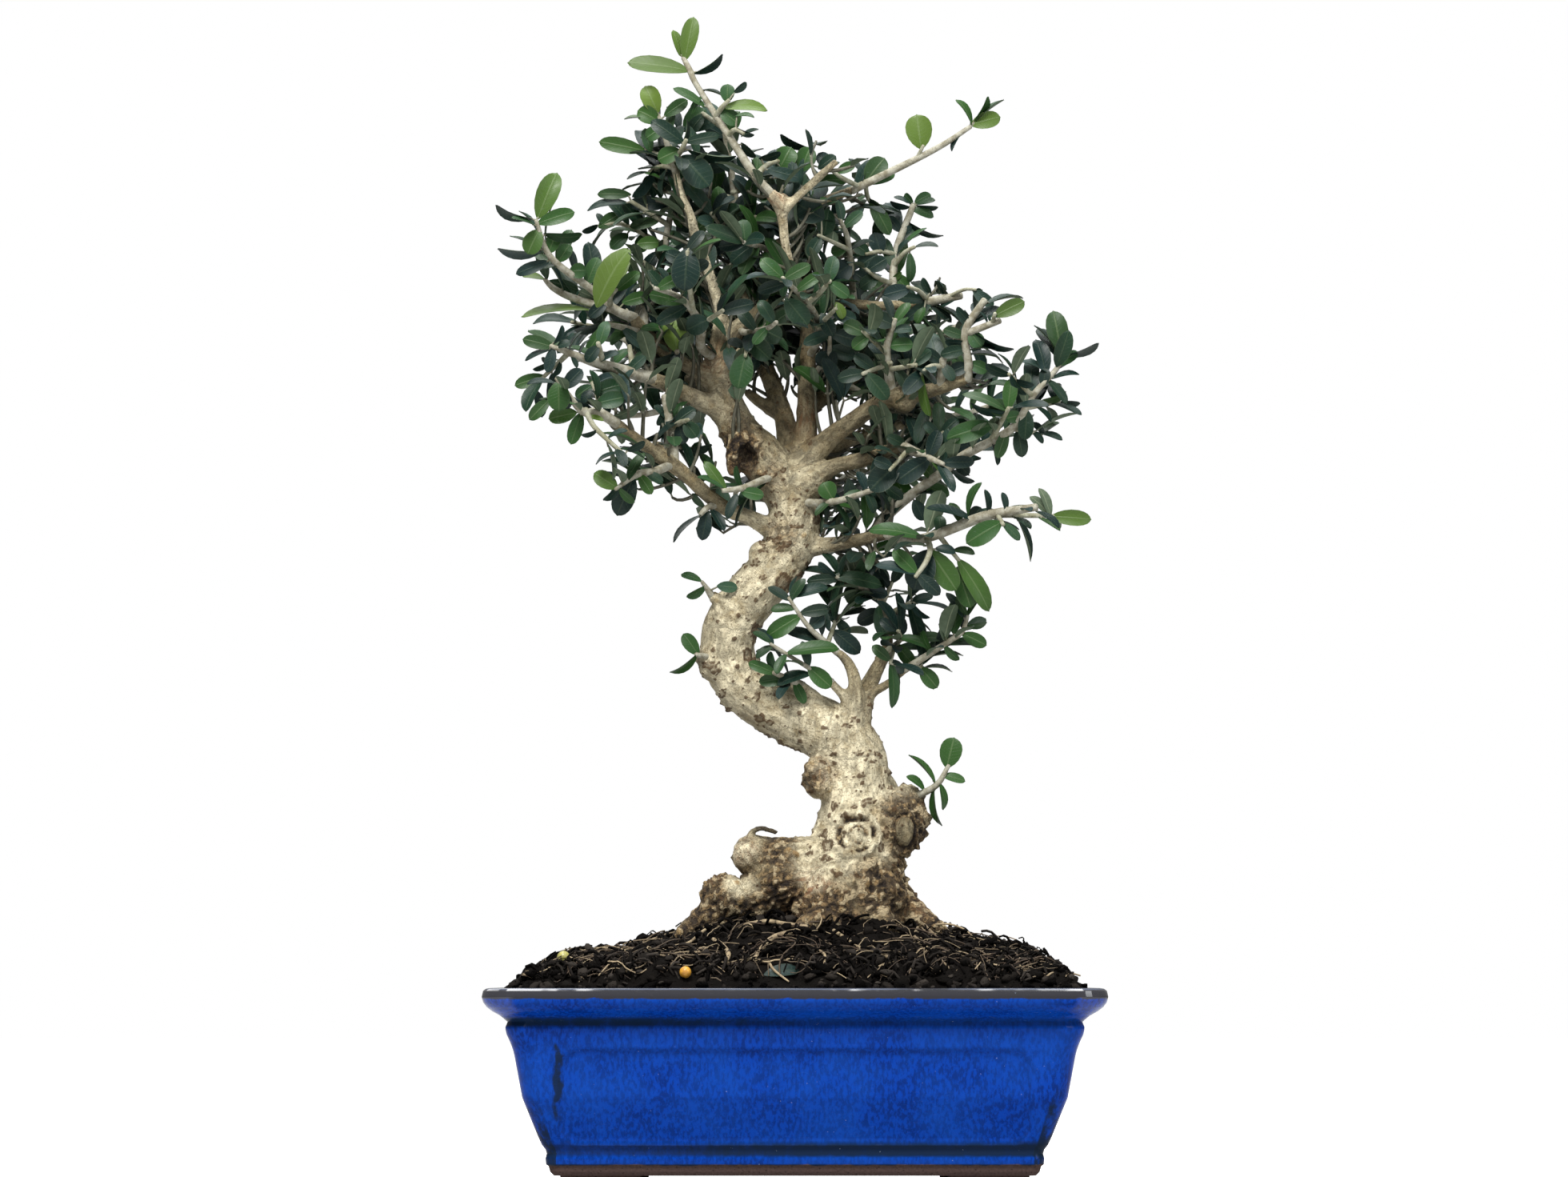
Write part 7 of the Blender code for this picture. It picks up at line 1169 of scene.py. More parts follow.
def bark_finish(look):
    """Tan bark, bleached on the trunk, with streaks along the wood, warts, pores and ruddy scars, painted highlights
    on crust ridges and knob tops, and painted shade in crevices, ruts, the hollow and deep places.
    """
    finish, nodes = new_finish("olive_bark", specular_ior_level=0.3)
    grain = nodes.value("grain", "Vector")
    place = nodes.place()
    streaks = nodes.patches(nodes.stretched(grain, (1, 1, 0.3)), 1.6, 0.55, 0.12)
    creases = nodes.patches(nodes.stretched(grain, (1, 1, 2.4)), 1.1, 0.63, 0.03)
    pores = nodes.patches(nodes.stretched(grain, (1, 1, 1.8)), 0.8, 0.64, 0.02)
    mottles = nodes.patches(nodes.stretched(grain, (1, 1, 0.5)), 2.6, 0.5, 0.12)
    clouds = nodes.patches(place, 9.0, 0.5, 0.18)
    flakes = nodes.patches(place, 1.8, 0.52, 0.05)
    golden = nodes.patches(place, 5.5, 0.58, 0.12)
    spotty = nodes.plus(nodes.times(clouds, 0.4), nodes.times(mottles, 0.5))
    rough, cavity = nodes.value("rough"), nodes.value("cavity")
    crust = nodes.mix(flakes, TINTS["dark crust"], TINTS["tan crust"])
    # Painted highlight: the raised crust, where the cavity value is low, is painted cream.
    crust = nodes.mix(nodes.between(cavity, 0.0, 0.2, 0.7, 0.0), crust, TINTS["painted crust highlight"])
    # Painted highlight: the tops of the knobs are painted lighter, pale or brown in patches.
    top = nodes.times(nodes.value("knob"), nodes.between(clouds, 0.0, 1.0, 0.9, 0.35))
    colour = nodes.coats(
        look.bark,
        (mottles, scaled(look.bark, 0.36)),
        (nodes.times(nodes.value("pale"), nodes.minus(1.2, spotty), clamp=True), look.pale),
        (nodes.times(golden, nodes.plus(0.25, nodes.times(mottles, 0.45))), TINTS["golden bark"]),
        (nodes.times(streaks, 0.38), TINTS["bark streak"]),
        (nodes.times(creases, 0.65), TINTS["bark crease"]),
        (nodes.times(nodes.value("ruddy"), nodes.plus(0.25, streaks), clamp=True), TINTS["ruddy bark"]),
        (nodes.between(rough, 0.15, 0.7, 0.0, 0.9), crust),
        # Painted shade in the crevices of the crust, in the ruts of the ring scar and at the rim of the cut face.
        (nodes.between(nodes.times(cavity, rough, clamp=True), 0.35, 0.8), TINTS["painted crevice shade"]),
        (nodes.between(top, 0.35, 0.85), nodes.mix(flakes, TINTS["brown knob"], TINTS["painted pale knob highlight"])),
        (nodes.times(pores, 0.8), TINTS["pore"]),
        (nodes.between(nodes.value("wart"), 0.4, 0.8, 0.0, 0.9), TINTS["wart"]),
        # Painted shade: the inside of the hollow and the deep places of the table are painted near black.
        (nodes.times(nodes.value("deep"), 0.9), TINTS["hollow"]),
    )
    relief = nodes.plus(nodes.minus(1.0, streaks), nodes.minus(1.0, creases))
    normal = nodes.bump(nodes.minus(relief, mottles), 0.3, 0.6)
    depth = nodes.times(nodes.plus(flakes, nodes.grit(place, 0.7, 0.7)[0]), nodes.plus(0.5, rough))
    nodes.shade(base_color=colour, roughness=nodes.plus(0.66, nodes.times(clouds, 0.2)),
                normal=nodes.bump(depth, 0.45, 0.9, normal))
    return finish


def twig_finish():
    """Grey young bark, greener on soft twigs and stalks, with painted shade darkening the twigs inside the crown."""
    finish, nodes = new_finish("young_bark", specular_ior_level=0.3)
    place = nodes.place()
    clouds = nodes.patches(place, 2.5, 0.5, 0.2)
    height, pits = nodes.grit(place, 0.5, 0.6)
    colour = nodes.coats(
        TINTS["pale twig"],
        (clouds, TINTS["brown twig"]),
        (nodes.times(pits, 0.4), TINTS["twig pit"]),
        (nodes.times(nodes.value("green"), 0.5), TINTS["green twig"]),
        # Painted shade on the twigs inside the crown, by their luck.
        (nodes.times(nodes.value("luck"), 0.8), TINTS["inner twig shade"]),
    )
    nodes.shade(base_color=colour, roughness=nodes.plus(0.65, nodes.times(clouds, 0.15)),
                normal=nodes.bump(height, 0.12, 0.7))
    return finish


def leaf_marks_effect():
    """The midrib, side veins and rim of a leaf, from its values along and across."""
    if "Leaf marks" in bpy.data.node_groups:
        return bpy.data.node_groups["Leaf marks"]
    nodes, given, result = effect("Leaf marks", {"Along": 0.0, "Across": 0.0}, ["Midrib", "Veins", "Rim"])
    off = nodes.math("ABSOLUTE", given["Across"])
    slant = nodes.minus(nodes.times(given["Along"], 9.0), nodes.times(off, 1.6))
    near = nodes.math("ABSOLUTE", nodes.minus(nodes.math("FRACT", slant), 0.5))
    nodes.feed(result["Midrib"], nodes.between(off, 0.03, 0.12, 1.0, 0.0))
    nodes.feed(result["Veins"], nodes.between(near, 0.02, 0.12, 1.0, 0.0))
    nodes.feed(result["Rim"], nodes.between(off, 0.90, 0.97))
    return nodes.tree


def leaf_finish(look):
    """Waxy upper side: dark, grown or young by its tone, with a pale midrib, faint veins, and a grey-blue bloom that
    is partly a painted sheen.
    """
    finish, nodes = new_finish("leaf_top", coat_roughness=0.3, coat_weight=0.06, specular_ior_level=0.22)
    place = nodes.place()
    tone, luck = nodes.value("tone"), nodes.value("luck")
    marks = nodes.leaf_marks()
    bloom = nodes.patches(place, 4.0, 0.5, 0.2)
    # A grey-blue bloom on some darker leaves, partly a painted blue sheen.
    grey = nodes.times(nodes.between(luck, 0.45, 1.0), nodes.plus(0.05, nodes.times(bloom, 0.3)))
    scratches = nodes.patches(nodes.stretched(place, (0.25, 1, 1.3)), 0.5, 0.66, 0.04)
    colour = nodes.coats(
        look.dark,
        (nodes.between(tone, 0.05, 0.36), look.mid),
        (nodes.between(tone, 0.45, 1.0), look.young),
        (nodes.times(grey, nodes.between(tone, 0.2, 0.6, 1.0, 0.0)), TINTS["leaf bloom and sheen"]),
        (nodes.times(nodes.between(luck, 0.0, 0.3, 1.0, 0.0), 0.45), TINTS["dull leaf"]),
        (nodes.times(scratches, 0.25), TINTS["leaf scratch"]),
    )
    lighter = nodes.mix(0.5, colour, TINTS["leaf vein"])
    colour = nodes.coats(
        colour,
        (nodes.times(marks["Midrib"], nodes.between(tone, 0.0, 0.6, 0.12, 0.5)), lighter),
        (nodes.times(marks["Veins"], 0.07), lighter),
        (nodes.times(marks["Rim"], 0.2), TINTS["leaf rim"]),
    )
    ribs = nodes.plus(marks["Midrib"], nodes.times(marks["Veins"], 0.35))
    nodes.shade(base_color=colour, roughness=nodes.plus(0.38, nodes.times(bloom, 0.16)),
                normal=nodes.bump(nodes.minus(1.0, ribs), 0.12, 0.6))
    return finish


def underside_finish(look):
    """Pale and mealy underside with a raised midrib."""
    finish, nodes = new_finish("leaf_under", specular_ior_level=0.3)
    midrib = nodes.leaf_marks()["Midrib"]
    bloom = nodes.patches(nodes.place(), 2.0, 0.5, 0.25)
    colour = nodes.coats(
        look.under,
        (bloom, scaled(look.under, 0.75)),
        (nodes.between(nodes.value("tone"), 0.5, 1.0, 0.0, 0.7), look.young),
        (nodes.times(midrib, 0.5), TINTS["midrib below"]),
    )
    nodes.shade(base_color=colour, roughness=nodes.plus(0.62, nodes.times(bloom, 0.12)),
                normal=nodes.bump(midrib, 0.15, 0.6))
    return finish


def pellet_finish(name, light, dark):
    """The smooth skin of a fertiliser pellet, dusty in patches."""
    finish, nodes = new_finish(name, coat_weight=0.4, coat_roughness=0.2)
    place = nodes.place()
    dusty = nodes.patches(place, 1.2, 0.5, 0.2)
    nodes.shade(base_color=nodes.mix(dusty, light, dark), roughness=nodes.plus(0.35, nodes.times(dusty, 0.25)),
                normal=nodes.bump(nodes.grit(place, 0.5, 0.5)[0], 0.1, 0.6))
    return finish


def screen_finish():
    """Black plastic with soil dust."""
    finish, nodes = new_finish("screen_plastic")
    place = nodes.place()
    dust = nodes.patches(place, 3.0, 0.55, 0.15)
    nodes.shade(base_color=nodes.mix(dust, TINTS["screen"], TINTS["screen dust"]),
                roughness=nodes.plus(0.4, nodes.times(dust, 0.35)),
                normal=nodes.bump(nodes.grit(place, 0.5, 0.3)[0], 0.05))
    return finish


def rounded_outline(half_x, half_y, corner, long_points=96, short_points=76, corner_points=8):
    """Points round a rounded rectangle, closer together near its corners."""
    points = []
    for quarter in range(4):
        sign_x = 1 if quarter in (0, 3) else -1
        sign_y = 1 if quarter in (0, 1) else -1
        centre = np.array((sign_x * (half_x - corner), sign_y * (half_y - corner)))
        for i in range(corner_points):
            angle = math.pi / 2 * (quarter + i / corner_points)
            points.append(centre + corner * np.array((math.cos(angle), math.sin(angle))))
        count = long_points if quarter % 2 == 0 else short_points
        for i in range(count):
            share = math.cos(math.pi * i / count)
            if quarter % 2 == 0:
                points.append((sign_x * (half_x - corner) * share, sign_y * half_y))
            else:
                points.append((sign_x * half_x, sign_y * (half_y - corner) * share))
    return np.array([tuple(point) for point in points])


def tree_of(points):
    """A search tree of points."""
    tree = kdtree.KDTree(len(points))
    for i, point in enumerate(points):
        tree.insert(point, i)
    tree.balance()
    return tree


def changed(obj, kind, **settings):
    """Applies one modifier to an object."""
    modifier = obj.modifiers.new(kind, kind)
    for name, value in settings.items():
        setattr(modifier, name, value)
    mesh = bpy.data.meshes.new_from_object(obj.evaluated_get(bpy.context.evaluated_depsgraph_get()))
    mesh.name = obj.name
    old = obj.data
    obj.modifiers.clear()
    obj.data = mesh
    bpy.data.meshes.remove(old)


def joined(obj, other, operation):
    """Adds another object to an object or cuts it out, and removes it."""
    changed(obj, "BOOLEAN", operation=operation, solver="MANIFOLD", object=other)
    bpy.data.objects.remove(other)


def step_between(value, low, high):
    """A soft step from 0 to 1 while the value goes from low to high."""
    share = np.clip((value - low) / (high - low), 0, 1)
    return share * share * (3 - 2 * share)


def panel_share(along, half, z):
    """How far a point of a side lies in its sunken panel, from 0 to 1."""
    middle, half_z = (PANEL_LOW + PANEL_HIGH) / 2, (PANEL_HIGH - PANEL_LOW) / 2
    over_x = np.abs(along) - (half - PANEL_CORNER)
    over_z = np.abs(z - middle) - (half_z - PANEL_CORNER)
    outside = np.hypot(np.maximum(over_x, 0), np.maximum(over_z, 0))
    edge = outside + np.minimum(np.maximum(over_x, over_z), 0) - PANEL_CORNER
    return 1 - step_between(edge, -PANEL_SLOPE, 0)


def wall_profile(stations, step):
    """Height and inset of the wall at close steps, following the stations."""
    stations = np.array(stations)
    gone = np.concatenate(([0], np.cumsum(np.hypot(*np.diff(stations, axis=0).T))))
    at = np.unique(np.concatenate((gone, np.arange(0, gone[-1], step))))
    return [(np.interp(s, gone, stations[:, 0]), np.interp(s, gone, stations[:, 1])) for s in at]


def band(value, low, full, fall, gone):
    """A soft rise from 0 to 1 and, further up, a soft fall back to 0."""
    return step_between(value, low, full) * (1 - step_between(value, fall, gone))


def at_height(ring, z):
    """Points of a flat outline, put at a height."""
    return np.column_stack((ring, np.full(len(ring), z)))


def wall_ring(z, inset, corner_loss):
    """The wall's outline at an inset from the rim, whose corners tighten with it, and its half sizes."""
    half_x, half_y = RIM_HALF_X - inset, RIM_HALF_Y - inset
    ring = rounded_outline(half_x, half_y, max(3.0, RIM_CORNER - inset * corner_loss))
    return ring, half_x, half_y


def outer_ring(z, inset):
    """A ring of the outside, sunk at the panels and flared at the corners, and the values for its glaze."""
    ring, half_x, half_y = wall_ring(z, inset, 0.35)
    near_y = np.abs(ring[:, 1]) > half_y - 0.01
    near_x = np.abs(ring[:, 0]) > half_x - 0.01
    share = np.where(near_y, panel_share(ring[:, 0], PANEL_HALF_LONG, z), 0)
    ring[:, 1] -= np.sign(ring[:, 1]) * share * PANEL_DEPTH
    share_x = np.where(near_x, panel_share(ring[:, 1], PANEL_HALF_SHORT, z), 0)
    ring[:, 0] -= np.sign(ring[:, 0]) * share_x * PANEL_DEPTH
    turned = 1 - np.clip(near_x + near_y, 0, 1)
    flare = CORNER_FLARE * math.exp(-((z - CORNER_FLARE_AT) / CORNER_FLARE_HEIGHT) ** 2)
    placed = at_height(ring, z)
    placed[:, :2] += (turned * flare)[:, None] * np.sign(ring)
    steep = 4 * (share * (1 - share) + share_x * (1 - share_x))
    low_side = 1 - step_between(z, PANEL_LOW + 2, PANEL_LOW + 9)
    side_end = step_between(np.abs(ring[:, 0]) + 1000 * near_x, PANEL_HALF_LONG - 12, PANEL_HALF_LONG - 3)
    pooled = steep * np.maximum(0.9 * low_side, np.maximum(0.35, 0.75 * side_end))
    to_right = step_between(ring[:, 0], -70, 20)
    # Dark bands: one low on the wall, and one under the rim that is painted shade, strongest on the left.
    lines = np.maximum(band(z, *BELT) * (0.55 + 0.4 * to_right), band(z, *UNDER_RIM) * (0.85 - 0.35 * to_right))
    dark = np.maximum(np.maximum(0.45 * pooled, 0.8 * (1 - step_between(z, *LOW_LINE))), lines)
    wander = lumps(placed, 7.0, 31) + 0.5 * lumps(placed, 2.5, 32)
    beside = np.abs(ring[:, 0]) - PANEL_HALF_LONG + 0.5 + STAIN_WIDTH * wander
    high = z + 9 * lumps(placed, 5.0, 33)
    stain = np.exp(-(beside / STAIN_WIDTH) ** 2) * step_between(high, *STAIN_FOOT)
    stain = stain * (1 - step_between(high, *STAIN_TOP)) * near_y * np.where(ring[:, 0] < 0, 1.0, 0.45)
    corner_stain = turned * (0.35 + 0.5 * (1 - step_between(z, *CORNER_STAIN))) * (z < CORNER_STAIN_TOP)
    return placed, {
        "edge": step_between(z, *LIP_EDGE), "groove": np.clip(dark, 0, 1), "inside": 0,
        "rim": np.maximum(step_between(z, *LIP_COAT), 0.5 * turned * step_between(z, *CORNER_COAT)),
        "smudge": np.maximum(stain, corner_stain),
    }


def inner_ring(z, inset):
    """A ring of the inside, and the values for its glaze."""
    return at_height(wall_ring(z, inset, 0.25)[0], z), {
        "edge": step_between(z, *INNER_EDGE) * 0.5, "groove": 0,
        "inside": 1 - step_between(z, *BARE_INSIDE), "rim": 1,
        "smudge": 0,
    }


def make_pot(look):
    """The pot's wall with its sunken panels, the four feet and the drain holes."""
    rows = [outer_ring(*station) for station in reversed(wall_profile(POT_OUTSIDE, 1.4))]
    rows += [inner_ring(*station) for station in wall_profile(POT_INSIDE, 6.0)]
    count = len(rows[0][0])
    values = {name: np.concatenate([np.broadcast_to(marks[name], count) for _, marks in rows]) for name in rows[0][1]}
    form = Form()
    form.add(np.vstack([ring for ring, _ in rows]), closed_faces(len(rows), count), **values)
    pot = form.piece("pot_glazed", [glaze_finish(look)], SHARP_ANGLE)
    feet, drains = Form(), Form()
    half_long, half_short = FOOT_SIZE[0] / 2, FOOT_SIZE[1] / 2
    for sign_x in (-1, 1):
        for sign_y in (-1, 1):
            centre = np.array((sign_x * (RIM_HALF_X - FOOT_INSET - half_long),
                               sign_y * (RIM_HALF_Y - FOOT_INSET - half_short)))
            foot = [at_height(rounded_outline(half_long - shrink, half_short - shrink, 3.5, 6, 6, 6) + centre, z)
                    for z, shrink in ((0, 1.6), (0.5, 0.6), (1.4, 0.1), (4.5, 0), (FLOOR_BOTTOM + 0.8, 0))]
            feet.add(np.vstack(foot), closed_faces(len(foot), len(foot[0])))
        turn = np.arange(48) / 48 * 2 * math.pi
        hole = np.column_stack((DRAIN_RADIUS * np.cos(turn) + sign_x * DRAIN_X, DRAIN_RADIUS * np.sin(turn)))
        drains.add(np.vstack([at_height(hole, z) for z in (2.0, 16.0)]), closed_faces(2, 48))
    joined(pot, feet.piece("feet", []), "UNION")
    joined(pot, drains.piece("drains", []), "DIFFERENCE")
    if len(pot.data.polygons) < 1000:
        raise RuntimeError("the pot lost its wall")
    pot.data.set_sharp_from_angle(angle=math.radians(SHARP_ANGLE))
    return settle(pot, "pot", slot="glaze")


def soil_height(x, y):
    """Height of the mound over the pot's inside."""
    half_x, half_y = RIM_HALF_X - SOIL_EDGE_INSET, RIM_HALF_Y - SOIL_EDGE_INSET
    share = np.maximum(np.where(x > MOUND_X, (x - MOUND_X) / (half_x - MOUND_X), (MOUND_X - x) / (half_x + MOUND_X)),
                       np.abs(y) / half_y)
    from_edge = np.maximum(0, 1 - share) * RIM_HALF_Y
    heap = MOUND_HEIGHT * np.exp(-((x - MOUND_X) / MOUND_SPREAD[0]) ** 2 - (y / MOUND_SPREAD[1]) ** 2)
    rise = EDGE_RISE * (1 - np.exp(-from_edge / EDGE_SPREAD))
    swell = SWELL * np.sin(x * 0.13 + y * 0.08)
    height = SOIL_EDGE_TOP + rise + heap * np.minimum(1, from_edge / HEAP_START) + swell
    return np.where(share > 1, np.maximum(height, RIM_TOP), height)


def heap():
    """Rows of points over the mound, from the pot's wall inward."""
    outline = rounded_outline(RIM_HALF_X - SOIL_EDGE_INSET, RIM_HALF_Y - SOIL_EDGE_INSET, RIM_CORNER, 90, 64, 8)
    rows = []
    for share in np.concatenate((np.linspace(1, 0.9, 12), np.linspace(0.885, 0.03, 62))):
        x = outline[:, 0] * share + MOUND_X * (1 - share)
        y = outline[:, 1] * share
        rows.append(np.column_stack((x, y, soil_height(x, y))))
    return outline, rows


def surface_at(x, y):
    """Height of the mound at one place."""
    return float(soil_height(np.array(x), np.array(y)))


def clumped(points, look):
    """Points of the mound with clumps, which flatten where small things lie and next to the wall."""
    height = look.clump / MM
    rise = height * (lumps(points, 8.0, 1) + 0.8 * lumps(points, 3.4, 2) + 0.6 * lumps(points, 1.5, 3) - 0.25)
    rise = np.where([near_small_things(x, y) for x, y, _ in points], np.minimum(rise, 0) - 0.3, rise)
    settled = np.clip((points[:, 2] - SOIL_EDGE_TOP) / 5, 0.15, 1)
    points[:, 2] += rise * settled
    outward = unit(points[:, :2] * (1, 1.6))
    points[:, :2] += outward * (0.9 * rise * settled)[:, None]
    points[:, 0] += 0.5 * lumps(points, 2.1, 4)
    points[:, 1] += 0.5 * lumps(points, 2.1, 5)
    return points


def add_crumbs(form, count, rng):
    """Loose crumbs, pressed a little into the soil."""
    pebble, faces = ball(2)
    for _ in range(count):
        x, y = place_on_soil(rng)
        size = rng.choice(CRUMB_SIZES)
        if near_small_things(x, y):
            continue
        centre = np.array((x, y, surface_at(x, y) + size * 0.25))
        shape = pebble * size * (rng.uniform(0.7, 1.7), rng.uniform(0.5, 1.0), rng.uniform(0.35, 0.8))
        shape *= (1 + 0.5 * lumps(pebble + centre, 0.7, 7))[:, None]
        turned = Euler([rng.uniform(-0.7, 0.7), rng.uniform(-0.7, 0.7), rng.uniform(0, 6.3)]).to_matrix()
        form.add(shape @ np.array(turned) + centre, faces, luck=rng.random() ** 3)


def add_fibre(form, dark, rng):
    """A fine root or a dark shred that winds over the soil."""
    x, y = place_on_soil(rng)
    turn = rng.uniform(0, 2 * math.pi)
    if near_small_things(x, y):
        return
    thick = rng.uniform(0.15, 0.6) if dark else rng.choice(FIBRE_WIDTHS)
    arch = rng.uniform(0.5, 2.2) if dark else rng.uniform(0.4, 2.6)
    count = rng.randint(3, 5) if dark else rng.randint(6, 16)
    lean = rng.uniform(-0.7, 0.9) if dark else 0.0
    line = []
    for k in range(count):
        turn += rng.uniform(-0.55, 0.55)
        x, y = x + FIBRE_STEP * math.cos(turn), y + FIBRE_STEP * math.sin(turn)
        if abs(x) > SOIL_REACH[0] or abs(y) > SOIL_REACH[1]:
            break
        lift = arch * math.sin(math.pi * k / (count - 1)) + lean * k - 0.1
        line.append((x, y, surface_at(x, y) + lift, thick))
    if len(line) > 2:
        form.add(*tube(np.array(line), 4), luck=rng.random() ** (4 if dark else 2.5))


def make_soil(look):
    """The heaped soil with clumps and loose crumbs, its fine roots and its dark shreds."""
    rng = random.Random(5)
    outline, rows = heap()
    points = clumped(np.vstack(rows), look)
    points[:len(outline), :2] = outline
    skirt = at_height(rows[0][:, :2] * 0.985, SKIRT_BOTTOM)
    form = Form()
    form.add(np.vstack((skirt, points)), closed_faces(len(rows) + 1, len(outline)), luck=0.1)
    add_crumbs(form, look.crumbs, rng)
    soil = settle(form.piece("soil_heaped", [soil_finish(look)]), "soil", slot="soil")
    fibres, shreds = Form(), Form()
    for _ in range(look.fibres):
        add_fibre(fibres, False, rng)
    for _ in range(look.shreds):
        add_fibre(shreds, True, rng)
    for stations in SURFACE_ROOTS:
        line = rounded_line(np.array([(*on_soil(x, z), radius) for x, z, radius in stations]), 1.5)
        line[:, 3] *= 0.78
        fibres.add(*tube(line, 8), luck=rng.uniform(0.45, 1.0))
    settle(fibres.piece("fine_roots", [root_finish()]), slot="bark")
    settle(shreds.piece("soil_shreds", [soil_finish(look, "dark_shreds", 1.6)]), slot="soil")
    return soil


def place_on_soil(rng):
    """A place on the soil, most often on its steep front edge."""
    half_x, half_y = RIM_HALF_X - SOIL_EDGE_INSET, RIM_HALF_Y - SOIL_EDGE_INSET
    share = 1.015 - 0.2 * rng.random() ** 1.6
    kind = rng.random()
    if kind < 0.45:
        return rng.uniform(-half_x, half_x), (-half_y if kind < 0.32 else half_y) * share
    if kind < 0.62:
        return rng.choice((-1, 1)) * half_x * share, rng.uniform(-half_y, half_y)
    return rng.uniform(-88, 88), rng.uniform(-63, 63)


def near_small_things(x, y):
    """Whether a place is under the fallen leaf or a pellet, which lie free."""
    return any(low[0] - 3 < x < high[0] + 3 and low[1] - 3 < y < high[1] + 3 for low, high in SMALL_BOXES)


def on_soil(x, z):
    """The place on the soil that the front view shows at x and z."""
    for y in np.arange(-70, 30, 0.5):
        place = seen(x, y, z)
        if soil_height(place[0], place[1]) > place[2] - 0.4:
            return place
    return seen(x, -10, z)


WART_SIZES = (0.4, 0.45, 0.55, 0.7, 0.9)
KNOB_SIZES = (0.7, 1.6)
LINE_STEP = 2.5
# Heights below which the wood wears crust, and below which bleached bark stays free of it.
CRUST_TOP = 97
PALE_TOP = 114


def read(parts, entry):
    """Rows of three numbers, read from parts of a mesh."""
    values = np.zeros(len(parts) * 3)
    parts.foreach_get(entry, values)
    return values.reshape(-1, 3)


def wood_lines():
    """Every limb of the wood as places and radii, at close steps."""
    return [smooth_line(stations, LINE_STEP) for stations in (TRUNK_LINE, *WOOD.values())]


def grown_together(lines, look):
    """The limbs and swellings as one closed surface with the hollow cut out."""
    form, hole = Form(), Form()
    for line in lines:
        form.add(*tube(line, 24 if line[:, 3].max() > 6 else 16))
    points, faces = ball(4)
    for target, (x, y, z, *half) in [(form, burl) for burl in BURLS] + [(hole, HOLLOW)]:
        target.add(seen(x, y, z) + points * np.array(half), faces)
    wood = form.piece("wood", [])
    changed(wood, "REMESH", mode="VOXEL", voxel_size=look.grain, adaptivity=0)
    changed(wood, "SMOOTH", factor=0.5, iterations=5)
    joined(wood, hole.piece("hollow", []), "DIFFERENCE")
    if len(wood.data.polygons) < 5000:
        raise RuntimeError("the wood was lost while it grew together")
    return wood


def wood_grain(lines, points):
    """Where each point lies across and along the nearest limb, and how far it is from that limb's middle."""
    samples = np.vstack(lines)[:, :3]
    ways, firsts, seconds = (np.vstack(parts) for parts in zip(*(frames_along(line) for line in lines)))
    reach = np.concatenate([np.arange(len(line)) * LINE_STEP + 100 * i for i, line in enumerate(lines)])
    tree = tree_of(samples)
    near = np.array([tree.find(point)[1] for point in points])
    off = points - samples[near]
    across = [np.sum(off * way[near], 1) for way in (firsts, seconds)]
    return np.column_stack((*across, reach[near] + np.sum(off * ways[near], 1))), np.linalg.norm(off, axis=1)


